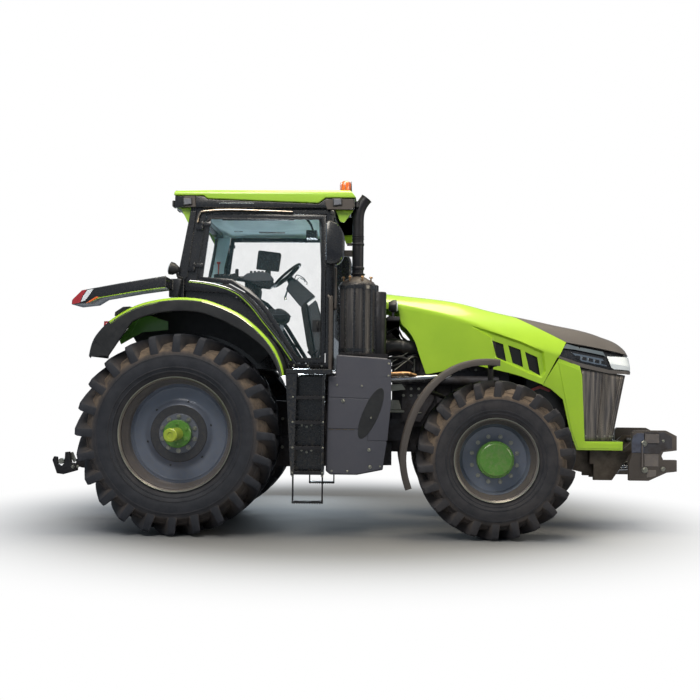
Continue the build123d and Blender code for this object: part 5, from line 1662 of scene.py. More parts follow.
@dataclass
class Nose:
    """The fixed nose: green columns and bar, and the grille with its mesh."""

    stance: Stance

    def build(self) -> None:
        """Makes the columns, their raised panels and the grille."""
        s = self.stance
        soften("nose_frame", LIME, 9, 3)
        raised = Shape()
        raised.prism(s.front((712, 1746), (930, 1664), (952, 1596), (982, 932), (1014, 912), (1366, 912),
                             (1362, 852), (918, 852), (852, 1040), (790, 1350)), -468, -460)
        raised.both_sides().make("column_panel", "tractor", LIME, edge=5)
        self._grille()

    def _grille(self) -> None:
        """The grille's bent mesh with a frame, a lip under the lamps and studs at its foot."""
        s = self.stance
        rows = []
        for share in [k / 14 for k in range(15)]:
            z = blended(928, 1668, share)
            back, front = blended(944, 950, share), blended(1286, 1420, share)
            line = smooth_line([(back, -437), (blended(back, front, 0.5), -433), (front - 60, -418),
                                (front - 14, -380), (front, -330), (front + 3, 0)], 5)
            rows.append([(s.front_x + x, y, z - (max(0, x - back)) * 0.14 * share) for x, y in line])
        mesh = Shape().strip(rows).both_sides()
        mesh.welded(0.5).facing((s.front_x + 1000, 0, 1300))
        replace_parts(mesh.sheet("grille_sheet", "tractor", GRILLE_MESH, 4.0, 0.0), "grille")
        trim = Shape()
        for y in (-436, 436):
            trim.tube(s.front((948, y, 1662), (942, y, 1300), (944, y, 934)), 7, 8)
        for share in (0.0, 1.0):
            row = rows[-1] if share else rows[0]
            trim.tube([(x - 2, y + 3, z) for x, y, z in row]
                      + [(x - 2, -y - 3, z) for x, y, z in reversed(row[:-1])], 8, 8)
        trim.make("grille_trim", "tractor", BLACK)
        ribs = Shape()
        for share in (0.22, 0.42, 0.6, 0.76):
            column = [row[int(share * (len(row) - 1))] for row in rows]
            for sign in (1, -1):
                ribs.tube([(x + 1, (y - 2) * sign, z) for x, y, z in column], 3.0, 6)
        ribs.make("grille_ribs", "tractor", GUARD_GREY)
        studs = Shape()
        for i in range(6):
            x, y, z = rows[1][2 + 3 * i]
            studs.bolt((x, y + 1, z), (0.2, -1, 0), 8)
        studs.both_sides().make("grille_studs", "tractor", ZINC)


# --- Wings over the wheels ------------------------------------------------------------------------
def arc_sweep(shape: Shape, axle: tuple[float, float], track: Outline, radius: float, section: Outline,
              taper: tuple[float, float, float] = (0.0, 0.001, 1.0)) -> Shape:
    """Sweeps a section round a wheel.

    Args:
        shape: the shape that gets the mesh.
        axle: the wheel's centre, as (x, z).
        track: rows of (angle, gap over the radius).
        radius: the radius that the gaps are over.
        section: the section's points, as (y, outwards).
        taper: angles between which the section's depth grows to full, and its share at the first.

    Returns:
        The shape itself.
    """
    rings = []
    for angle, gap in smooth_line(track, 6):
        a = math.radians(angle)
        share = blended(taper[2], 1.0, min(1.0, max(0.0, (angle - taper[0]) / (taper[1] - taper[0]))))
        reach = [(y, radius + gap + out * (share if out < 0 else 1.0)) for y, out in section]
        rings.append([(axle[0] + r * math.cos(a), y, axle[1] + r * math.sin(a)) for y, r in reach])
    return shape.loft(rings)


@dataclass
class RearWings:
    """The rear fenders with their black flares, their lamps, and the lamp wings behind the cab."""

    stance: Stance
    track: Outline = field(default_factory=lambda: [
        (138.5, 140), (131, 228), (121, 280), (108, 312), (98, 322), (80, 338), (72, 332), (62, 325),
        (52, 305), (42, 282), (33, 235), (29, 205)])
    inner_y: float = 596.0
    outer_y: float = 1335.0
    sill_z: float = 2425.0

    def build(self) -> None:
        """Makes the fenders, the flares, the inner walls and the lamps."""
        s, out = self.stance, self.outer_y
        axle = (s.rear_x, s.rear_r)
        crown = [(self.inner_y, 14), (out - 80, 14), (out - 28, 9), (out - 8, -4), (out - 1, -26),
                 (out - 10, -27), (out - 17, -8), (out - 36, 0), (self.inner_y, 0)]
        strip = [(out - 48, 12), (out - 28, 9), (out - 8, -4), (out - 1, -14), (out - 10, -16),
                 (out - 17, -8), (out - 36, 0), (out - 48, 0)]
        rest = [(self.inner_y, 14), (out - 50, 12), (out - 50, 0), (self.inner_y, 0)]
        green = arc_sweep(Shape(), axle, self.track[2:5], s.rear_r, crown)
        arc_sweep(green, axle, self.track[4:], s.rear_r, strip).both_sides()
        cover = arc_sweep(Shape(), axle, self.track[4:], s.rear_r, rest).both_sides()
        cover.make("fender_top", "tractor", BLACK, crease=40)
        black = arc_sweep(Shape(), axle, self.track[:3], s.rear_r, crown).both_sides()
        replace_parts(green.make("fender_skin", "tractor", LIME, crease=40), "rear_fenders")
        black.make("fender_tail", "tractor", BLACK, crease=40)
        lip = [(out - 2, -19), (out, -44), (out - 1, -112), (out - 8, -122), (out - 36, -122),
               (out - 42, -115), (out - 42, -19)]
        flare = arc_sweep(Shape(), axle, self.track[1:], s.rear_r, lip, (29, 62, 0.28))
        foot = s.rear((-828, 1737), (-822, 1815), (-705, 1965), (-600, 2060), (-500, 2140), (-390, 2130),
                      (-480, 2000), (-656, 1737))
        flare.prism(foot, out - 40, out - 2)
        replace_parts(flare.both_sides().make("flare_form", "tractor", BLACK, edge=5), "fender_flares")
        # painted highlight: a thin bright strip along the flare's top edge stands for light catching that edge
        line = arc_sweep(Shape(), axle, self.track[2:], s.rear_r,
                         [(out - 1, -15), (out + 1.5, -17), (out - 1, -20), (out - 6, -18)])
        line.both_sides().make("flare_seam", "tractor", CHROME)
        self._arch(axle)
        self._lamp_wings()
        self._markers()

    def _arch(self, axle: tuple[float, float]) -> None:
        """The arch's inner wall, its green gusset and the ribs under the crown.

        Args:
            axle: the rear axle's X and Z.
        """
        s = self.stance
        liner = Shape()
        rows = [row for row in smooth_line(self.track, 4) if 44 <= row[0] <= 122]
        outer = [(s.rear_r + gap - 3, math.radians(angle)) for angle, gap in rows]
        inner = [(s.rear_r + 30, math.radians(angle)) for angle, _ in rows]
        arcs = [on_circle(*axle, r, a) for r, a in outer + inner[::-1]]
        liner.prism(arcs, -612, -600)
        liner.both_sides().make("arch_liner", "tractor", BLACK)
        gusset = Shape().prism(s.rear((-612, 1862), (-628, 1905), (-470, 2130), (-320, 2150), (-140, 2095),
                                      (-140, 2010), (-400, 1985)), -1010, -1000)
        gusset.prism(s.rear((-600, 1890), (-560, 1890), (-430, 2120), (-460, 2128)), -1022, -1010)
        gusset.both_sides().make("fender_gusset", "tractor", HUB_GREEN, edge=3)
        ribs = Shape()
        for i in range(9):
            a = math.radians(50 + 7 * i)
            low, high = s.rear_r + 262, s.rear_r + 316
            for y in (-1270, -800):
                ribs.prism([(axle[0] + r * math.cos(a + k), axle[1] + r * math.sin(a + k)) for r, k in
                            ((low, -0.008), (high, -0.008), (high, 0.008), (low, 0.008))], y, y + 180)
        ribs.both_sides().make("arch_ribs", "tractor", BLACK, edge=2)

    def _lamp_wings(self) -> None:
        """The wings that carry the tail lamps, with a light edge on top and a green one under them."""
        s, z = self.stance, self.sill_z
        soften("tail_lamp_wings", CAB_BLACK, 14, 3)
        lens = {RED_LENS: [(-1030, -188), (-1022, -136), (-936, -50), (-884, -42), (-930, -110),
                           (-948, -170)], WHITE_LENS: [
            (-944, -166), (-926, -112), (-880, -46), (-820, -36), (-858, -92), (-900, -150)],
                AMBER_LENS: [(-896, -176), (-852, -165), (-768, -116), (-790, -108), (-858, -150)]}
        for finish, outline in lens.items():
            shape = Shape().prism(s.rear(*((x, z + rise) for x, rise in outline)), -1294, -1276)
            shape.both_sides().make(f"tail_{finish.name}", "tractor", finish, edge=4)
        back = Shape()
        for low, high in ((-1270, -1120), (-1108, -960)):
            back.loft([[(s.rear_x + x, y, z + rise)
                        for x, rise in ((-1033, -186), (-1024, -138), (-1036, -140), (-1040, -184))]
                       for y in (low, high)])
        back.both_sides().make("tail_back_lens", "tractor", RED_LENS, edge=3)
        under = Shape().prism(s.rear((-860, z - 172), (-765, z - 117), (-405, z - 53), (-118, z - 12),
                                     (-118, z - 18), (-405, z - 60), (-765, z - 124)), -1290, -1272)
        under.both_sides().make("lamp_wing_edge", "tractor", LIME, edge=2)
        top = Shape().prism(s.rear((-936, z - 48), (-570, z + 22), (-118, z + 98), (-118, z + 94),
                                   (-570, z + 17), (-936, z - 52)), -1288, -1262)
        top.both_sides().make("lamp_wing_trim", "tractor", CHROME, edge=1)

    def _markers(self) -> None:
        """Marker lamps at the fender's rear, and the work lamp on the pillar."""
        s = self.stance
        holder, red, white = Shape(), Shape(), Shape()
        holder.prism(s.rear((-716, 1962), (-656, 1962), (-648, 2076), (-708, 2076)), -1300, -1190)
        red.prism(s.rear((-714, 1968), (-664, 1968), (-656, 2072), (-706, 2072)), -1306, -1296)
        white.prism(s.rear((-696, 1984), (-680, 1984), (-672, 2056), (-688, 2056)), -1309, -1300)
        holder.prism(s.rear((-622, 2130), (-500, 2206), (-470, 2226), (-540, 2222), (-618, 2170)), -1240,
                     -1120)
        red.prism(s.rear((-624, 2136), (-560, 2180), (-560, 2206), (-620, 2166)), -1236, -1124)
        lamp = Shape()
        lamp.tube(s.rear((-60, -925, 2622), (-110, -925, 2632), (-146, -925, 2640), (-150, -925, 2641)),
                  [30, 62, 66, 60], 28)
        lamp.rod(*s.rear((-90, -925, 2626), (-70, -900, 2552)), 12)
        lamp.rod(*s.rear((-70, -900, 2556), (-30, -870, 2545)), 12)
        glass = Shape().tube(s.rear((-148, -925, 2640), (-158, -925, 2642)), [56, 50], 28)
        for shape, name, finish in ((holder, "marker_holder", BLACK), (red, "marker_red", RED_LENS),
                                    (white, "marker_white", WHITE_LENS), (lamp, "pillar_lamp", BLACK),
                                    (glass, "pillar_lamp_glass", CLEAR_LENS)):
            shape.both_sides().make(name, "tractor", finish, edge=2.5)


@dataclass
class FrontMudguard:
    """A front mudguard on its arm, which turns with the knuckle."""

    stance: Stance
    side: Side
    track: Outline = field(default_factory=lambda: [
        (199, 0), (181, 8), (162, 6), (142, 32), (125, 64), (112, 76), (100, 66), (88, 48)])
    inner_y: float = 880.0
    outer_y: float = 1290.0

    def build(self) -> None:
        """Makes the guard with its turned-down lip, and the arm under it."""
        s, out = self.stance, self.outer_y
        axle, base = (s.front_x, s.front_r), s.front_r + 150
        section = [(self.inner_y, 0), (out - 30, 0), (out - 8, -6), (out, -20), (out, -64), (out - 9, -66),
                   (out - 12, -22), (out - 32, -11), (self.inner_y + 9, -11), (self.inner_y + 9, -36),
                   (self.inner_y, -36)]
        guard = arc_sweep(Shape(), axle, self.track, base, section)
        top = s.front_r + 150 + 50 + s.front_r - 6
        stay = Shape()
        stay.rod((axle[0], 652, s.front_r + 225), (axle[0], 652, top - 12), 28)
        stay.tube(smooth_path([(axle[0], 652, top - 60), (axle[0], 760, top - 40), (axle[0], 980, top - 38),
                               (axle[0], 1170, top - 40)], 4), 24)
        stay.box((axle[0] - 45, 930, top - 34), (axle[0] + 45, 1150, top - 20))
        stay.tube(smooth_path([(axle[0] - 20, 700, s.front_r + 260), (axle[0] - 420, 800, s.front_r + 560),
                               (axle[0] - 640, 1000, s.front_r + 650)], 6), 20)
        for y in (960, 1120):
            stay.bolt((axle[0], y, top + 4), (0, 0, 1), 11)
        body = f"knuckle_{self.side.word}"
        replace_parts(guard.on_side(self.side).make(
            f"mudguard_form_{self.side.word}", body, GUARD_GREY, crease=40),
                    f"front_mudguard_{self.side.word}")
        stay.on_side(self.side).make(f"mudguard_stay_{self.side.word}", body, DARK_IRON, edge=2)


# --- Cabin ----------------------------------------------------------------------------------------
@dataclass
class Cushion:
    """A padded piece: a crowned closed form with a piped seam and sewn channels.

    Attributes:
        name: the piece's name.
        centre: its middle.
        size: its length, width and thickness.
        lean: how far its top is tilted back, in degrees.
        channels: lines sewn across it, as shares of its length.
    """

    name: str
    centre: tuple[float, float, float]
    size: tuple[float, float, float]
    lean: float = 0.0
    channels: tuple[float, ...] = ()
    voxel: float = 0.0055
    pressure: float = 4.0
    cap: float = 0.024

    def build(self, finish: Finish) -> bpy.types.Object:
        """Args:
            finish: the cloth's finish.

        Returns:
            The new object.
        """
        piece = self._body().make(self.name, "tractor", finish)
        self._swell(piece)
        self._sew(piece)
        for poly in piece.data.polygons:
            poly.use_smooth = True
        self._piping().make(f"{self.name}_piping", "tractor", TRIM_GREY)
        return piece

    def _place(self, along: float, across: float, up: float) -> tuple[float, float, float]:
        """A point of the cushion in the machine's space.

        Args:
            along: how far ahead of its centre.
            across: how far to the left of it.
            up: how far over its base.

        Returns:
            The point.
        """
        cos, sin = math.cos(math.radians(self.lean)), math.sin(math.radians(self.lean))
        x, y, z = self.centre
        return x + along * cos + up * sin, y + across, z - along * sin + up * cos

    def _ring(self, share: float, up: float, pull: float = 0.0) -> list[tuple[float, float, float]]:
        """A rounded rectangle whose sides pull in between its corners.

        Args:
            share: the ring's size against the cushion's.
            up: its height over the base.
            pull: how far the sides pull in.

        Returns:
            The points of the ring.
        """
        ring = []
        for k in range(40):
            a = 2 * math.pi * k / 40
            c, s = math.cos(a), math.sin(a)
            reach = (abs(c) ** 5 + abs(s) ** 5) ** (-0.2) * (1 - pull * abs(math.cos(2 * a)) ** 3)
            ring.append(self._place(self.size[0] / 2 * share * reach * c,
                                    self.size[1] / 2 * share * reach * s, up))
        return ring

    def _body(self) -> Shape:
        """The unswollen form: flat below, crowned above.

        Returns:
            The form.
        """
        t = self.size[2]
        shape = Shape()
        rows = [(0.80, -0.5 * t, 0), (0.93, -0.46 * t, 0.01), (0.985, -0.32 * t, 0.02),
                (1.0, -0.05 * t, 0.025), (0.985, 0.20 * t, 0.02), (0.94, 0.34 * t, 0.012),
                (0.84, 0.42 * t, 0), (0.66, 0.46 * t, 0), (0.40, 0.49 * t, 0), (0.15, 0.5 * t, 0)]
        return shape.loft([self._ring(*row) for row in rows])

    def _swell(self, piece: bpy.types.Object) -> None:
        """Swells the form with air pressure, held within a cap.

        Args:
            piece: the unswollen form.
        """
        scene = bpy.context.scene
        remesh = piece.modifiers.new("remesh", "REMESH")
        remesh.mode, remesh.voxel_size = "VOXEL", self.voxel
        flat = bpy.data.meshes.new_from_object(piece.evaluated_get(bpy.context.evaluated_depsgraph_get()))
        piece.modifiers.clear()
        old, piece.data = piece.data, flat
        flat.materials.clear()
        for material in old.materials:
            flat.materials.append(material)
        rest = [v.co.copy() for v in flat.vertices]
        cloth = piece.modifiers.new("cloth", "CLOTH")
        cloth.settings.use_pressure = True
        cloth.settings.uniform_pressure_force = self.pressure
        cloth.settings.effector_weights.gravity = 0
        cloth.point_cache.frame_start, cloth.point_cache.frame_end = 1, 20
        for frame in range(1, 21):
            scene.frame_set(frame)
        swollen = bpy.data.meshes.new_from_object(piece.evaluated_get(bpy.context.evaluated_depsgraph_get()))
        piece.modifiers.clear()
        scene.frame_set(1)
        for vert, start, end in zip(flat.vertices, rest, swollen.vertices):
            move = end.co - start
            vert.co = start + (move if move.length < self.cap else move.normalized() * self.cap)
        bpy.data.meshes.remove(swollen)

    def _sew(self, piece: bpy.types.Object) -> None:
        """Presses the sewn channels into the top, and smooths the form.

        Args:
            piece: the swollen form.
        """
        inverse, a = piece.matrix_world.inverted(), math.radians(self.lean)
        ahead, up = Vector((math.cos(a), 0, -math.sin(a))), Vector((math.sin(a), 0, math.cos(a)))
        centre = Vector(self.centre) * MM
        for vert in piece.data.vertices:
            local = piece.matrix_world @ vert.co - centre
            if local.dot(up) < 0.1 * self.size[2] * MM:
                continue
            along = local.dot(ahead) / (self.size[0] * MM) + 0.5
            depth = sum(math.exp(-((along - c) * self.size[0] / 11) ** 2) for c in self.channels)
            vert.co -= (inverse.to_3x3() @ up) * 0.012 * min(1.0, depth)
        sub = piece.modifiers.new("smooth", "SUBSURF")
        sub.levels = sub.render_levels = 1

    def _piping(self) -> Shape:
        """A cord sewn round the edge."""
        ring = self._ring(1.005, 0.06 * self.size[2], 0.02)
        return Shape().tube(ring + ring[:2], 5, 8)


@dataclass
class Cabin:
    """What shows through the glass: lining, seat, console, screen, column and wheel."""

    stance: Stance
    inner: float = 794.0

    def build(self) -> None:
        """Makes the cabin's inside."""
        self._floor()
        self._lining()
        self._seat()
        self._console()
        self._column()

    def _floor(self) -> None:
        """The floor, with a rubber mat and a pedal."""
        s = self.stance
        soften("cab_floor", CAB_BLACK, 8, 2)
        mat = Shape().deck(s.rear((960, -480), (1400, -480), (1400, 480), (960, 480)), 1690, 1698)
        for k in range(12):
            mat.box((s.rear_x + 975 + 35 * k, -460, 1697), (s.rear_x + 987 + 35 * k, 460, 1701))
        mat.make("floor_mat", "tractor", RUBBER, edge=3)
        pedals = Shape()
        for y in (-170, -90, 150):
            pedals.prism(s.rear((1190, 1830), (1205, 1850), (1275, 1762), (1262, 1750)), y - 30, y + 30)
            pedals.rod(*s.rear((1240, y, 1800), (1300, y, 1850)), 9)
        pedals.make("pedals", "tractor", DARK_IRON, edge=3)

    def _lining(self) -> None:
        """The pale roof lining, which turns down to the doors, and the pillars' trim."""
        s, y = self.stance, self.inner
        liner = Shape()
        rings = []
        for x, drop in ((20, 30), (70, 6), (160, 0), (1380, 0), (1428, 14)):
            rings.append([(s.rear_x + x, side * a, 3252 - drop - b) for side in (-1, 1) for a, b in
                          (((y - 1, 58), (y - 14, 44), (y - 70, 26), (y - 150, 14), (y - 240, 10)) if side < 0
                           else ((y - 240, 10), (y - 150, 14), (y - 70, 26), (y - 14, 44), (y - 1, 58)))])
        liner.strip(rings)
        liner.make("roof_lining", "tractor", HEADLINER, thick=4, smooth=1)
        trims, dark, front = Shape(), Shape(), Shape()
        for sign in (-1, 1):
            band = [(196, 3252), (1440, 3252), (1440, 3210), (200, 3210)]
            trims.prism(s.rear(*band), sign * (y - 1), sign * (y - 12))
            trims.prism(s.rear((40, 3250), (214, 3250), (204, 3150), (140, 2860), (118, 2660), (136, 2545),
                               (-70, 2545)), sign * (y - 1), sign * (y - 14))
            front.prism(s.rear((1340, 3190), (1452, 3206), (1452, 1800), (1400, 1800), (1384, 2300)),
                        sign * (y - 4), sign * (y - 16))
            dark.prism(s.rear((30, 3190), (66, 3190), (6, 2800), (-56, 2560), (-86, 2560), (-20, 2840)),
                       sign * (y - 15), sign * (y - 22))
        trims.make("pillar_trim", "tractor", HEADLINER, edge=6, segments=3)
        dark.make("pillar_net", "tractor", CAB_BLACK, edge=3)
        front.make("front_pillar_trim", "tractor", TRIM_GREY, edge=3)
        hammer = Shape().prism(s.rear((66, 2886), (82, 2886), (78, 2760), (66, 2760)), y - 18, y - 34)
        hammer.prism(s.rear((50, 2908), (98, 2908), (92, 2882), (56, 2882)), y - 16, y - 38)
        hammer.make("glass_hammer", "tractor", RED_PAINT, edge=4)
        details = Shape()
        details.tube([(s.rear_x + 330 + 46 * math.cos(a), y - 232 + 30 * math.sin(a), 3237)
                      for a in [2 * math.pi * i / 16 for i in range(17)]], 7, 6)
        details.box(*s.rear((560, y - 215, 3229), (860, y - 90, 3236)))
        details.box(*s.rear((352, -y + 4, 3150), (1080, -y + 34, 3190)))
        details.tube(s.rear((1180, -420, 3238), (1236, -430, 3160), (1260, -440, 3090)), [14, 12, 10], 10)
        details.box(*s.rear((1190, -520, 3010), (1300, -370, 3092)))
        details.make("lining_details", "tractor", CAB_BLACK, edge=6)

    def _seat(self) -> None:
        """The seat: cushion, back, shell and suspension."""
        s = self.stance
        base = Shape()
        base.box(*s.rear((600, -200, 1692), (880, 200, 1740)))
        for k in range(6):
            base.deck(s.rear((640, -160 - 6 * (k % 2)), (850, -160 - 6 * (k % 2)), (850, 160 + 6 * (k % 2)),
                             (640, 160 + 6 * (k % 2))), 1740 + 50 * k, 1790 + 50 * k)
        base.prism(s.rear((560, 2060), (880, 2050), (900, 2100), (900, 2140), (560, 2140)), -215, 215)
        base.prism(s.rear((540, 2130), (600, 2160), (540, 2640), (505, 2640)), -200, 200)
        base.make("seat_base", "tractor", CAB_BLACK, edge=12, segments=3)
        seat = Cushion("seat_cushion", (s.rear_x + 775, 0, 2212), (420, 440, 130), -4,
                       (0.33, 0.66)).build(SEAT_CLOTH)
        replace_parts(seat, "operator_seat")
        Cushion("seat_back", (s.rear_x + 590, 0, 2452), (400, 420, 90), 97, (0.3, 0.6)).build(SEAT_CLOTH)

    def _console(self) -> None:
        """The armrest with its joystick and keys, and the screen on its stand."""
        s = self.stance
        arm, top, keys, screen, glass = Shape(), Shape(), Shape(), Shape(), Shape()
        arm.prism(s.rear((206, 2640), (430, 2646), (430, 2568), (206, 2572)), -400, -290)
        arm.prism(s.rear((430, 2580), (560, 2560), (700, 2500), (800, 2490), (860, 2540), (800, 2600),
                         (560, 2620), (430, 2620)), -400, -280)
        top.prism(s.rear((520, 2618), (560, 2650), (700, 2668), (790, 2656), (836, 2600), (830, 2566),
                         (640, 2560), (520, 2576)), -405, -275)
        arm.prism(s.rear((560, 2590), (640, 2560), (640, 2300), (700, 2180), (620, 2180), (570, 2320)), -330,
                  -300)
        keys.tube(s.rear((432, -402, 2608), (432, -412, 2608)), [42, 36], 24)
        keys.tube(s.rear((452, -350, 2620), (446, -350, 2672), (450, -350, 2700)), [14, 20, 16], 16)
        for k in range(5):
            keys.box((s.rear_x + 590 + 40 * k, -390, 2652), (s.rear_x + 616 + 40 * k, -366, 2676))
        a = math.radians(6)

        def turned(points: Outline, x0: float, z0: float) -> Outline:
            """Points round a screen's middle, tilted."""
            return [(s.rear_x + x0 + x * math.cos(a) + z * math.sin(a),
                     z0 - x * math.sin(a) + z * math.cos(a)) for x, z in points]

        screen.prism(turned([(-124, -100), (118, -100), (124, 80), (112, 100), (-112, 104), (-124, 88)], 784,
                            2786), -352, -312)
        glass.prism(turned([(-108, -84), (104, -84), (108, 84), (-106, 88)], 784, 2786), -355, -351)
        screen.rod(*s.rear((784, -330, 2700), (784, -330, 2640)), 22)
        screen.rod(*s.rear((768, -330, 2700), (748, -330, 2636)), 14)
        for shape, name, finish, edge in ((arm, "armrest", CAB_BLACK, 14),
                                          (top, "console_top", TRIM_GREY, 14),
                                          (keys, "console_keys", BLACK, 3), (screen, "terminal", BLACK, 8),
                                          (glass, "terminal_glass", CAB_BLACK, 3)):
            shape.make(name, "tractor", finish, edge=edge, segments=3)

    def _column(self) -> None:
        """The steering column with its covers and levers, and the wheel."""
        s = self.stance
        upper, duct, lower, levers = Shape(), Shape(), Shape(), Shape()
        upper.prism(s.rear((984, 2610), (1058, 2624), (1258, 2446), (1170, 2378), (1120, 2310), (1082, 2350),
                           (944, 2512)), -85, 85)
        duct.prism(s.rear((1150, 2380), (1182, 2350), (1192, 2240), (1262, 1850), (1290, 1700), (1250, 1700),
                          (1180, 1900), (1110, 2310)), -95, 95)
        lower.prism(s.rear((1186, 2330), (1270, 2400), (1330, 2200), (1330, 1890), (1292, 1720), (1268, 1850),
                           (1200, 2240)), -110, 110)
        centre, normal = Vector((s.rear_x + 948, 0, 2672)), Vector((-0.66, 0, 0.75)).normalized()
        ahead, side = Vector((0.75, 0, 0.66)).normalized(), Vector((0, 1, 0))
        wheel = Shape()
        ring = [tuple(centre + ahead * 182 * math.cos(a) + side * 182 * math.sin(a)) for a in turns(48)]
        wheel.tube(ring + ring[:1], 15, 12)
        for a in (math.radians(90), math.radians(210), math.radians(330)):
            end = centre + (ahead * math.cos(a) + side * math.sin(a)) * 172
            wheel.tube([tuple(centre - normal * 22), tuple((centre + end) / 2 - normal * 16), tuple(end)],
                       [26, 18, 13], 10)
        wheel.tube([tuple(centre - normal * 40), tuple(centre - normal * 10), tuple(centre - normal * 4)],
                   [62, 58, 40], 28)
        wheel.tube([tuple(centre - normal * 38), tuple(Vector((s.rear_x + 1030, 0, 2560)))], [34, 60], 20)
        for y in (-150, 150):
            levers.tube(smooth_path(s.rear((1030, y * 0.5, 2590), (1066, y, 2662), (1150, y, 2620),
                                           (1150, y, 2585)), 5), 5, 8)
        levers.tube(s.rear((960, -90, 2500), (944, -150, 2420), (950, -155, 2390)), [8, 12, 14], 10)
        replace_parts(upper.make("column_cover", "tractor", TRIM_GREY, edge=14, segments=3), "steering_column")
        for shape, name, finish, edge in ((duct, "column_duct", BLACK, 14),
                                          (lower, "column_panel", TRIM_GREY, 16),
                                          (wheel, "steering_wheel", BLACK, 0),
                                          (levers, "column_levers", CHROME, 0)):
            shape.make(name, "tractor", finish, edge=edge, segments=3, crease=50)


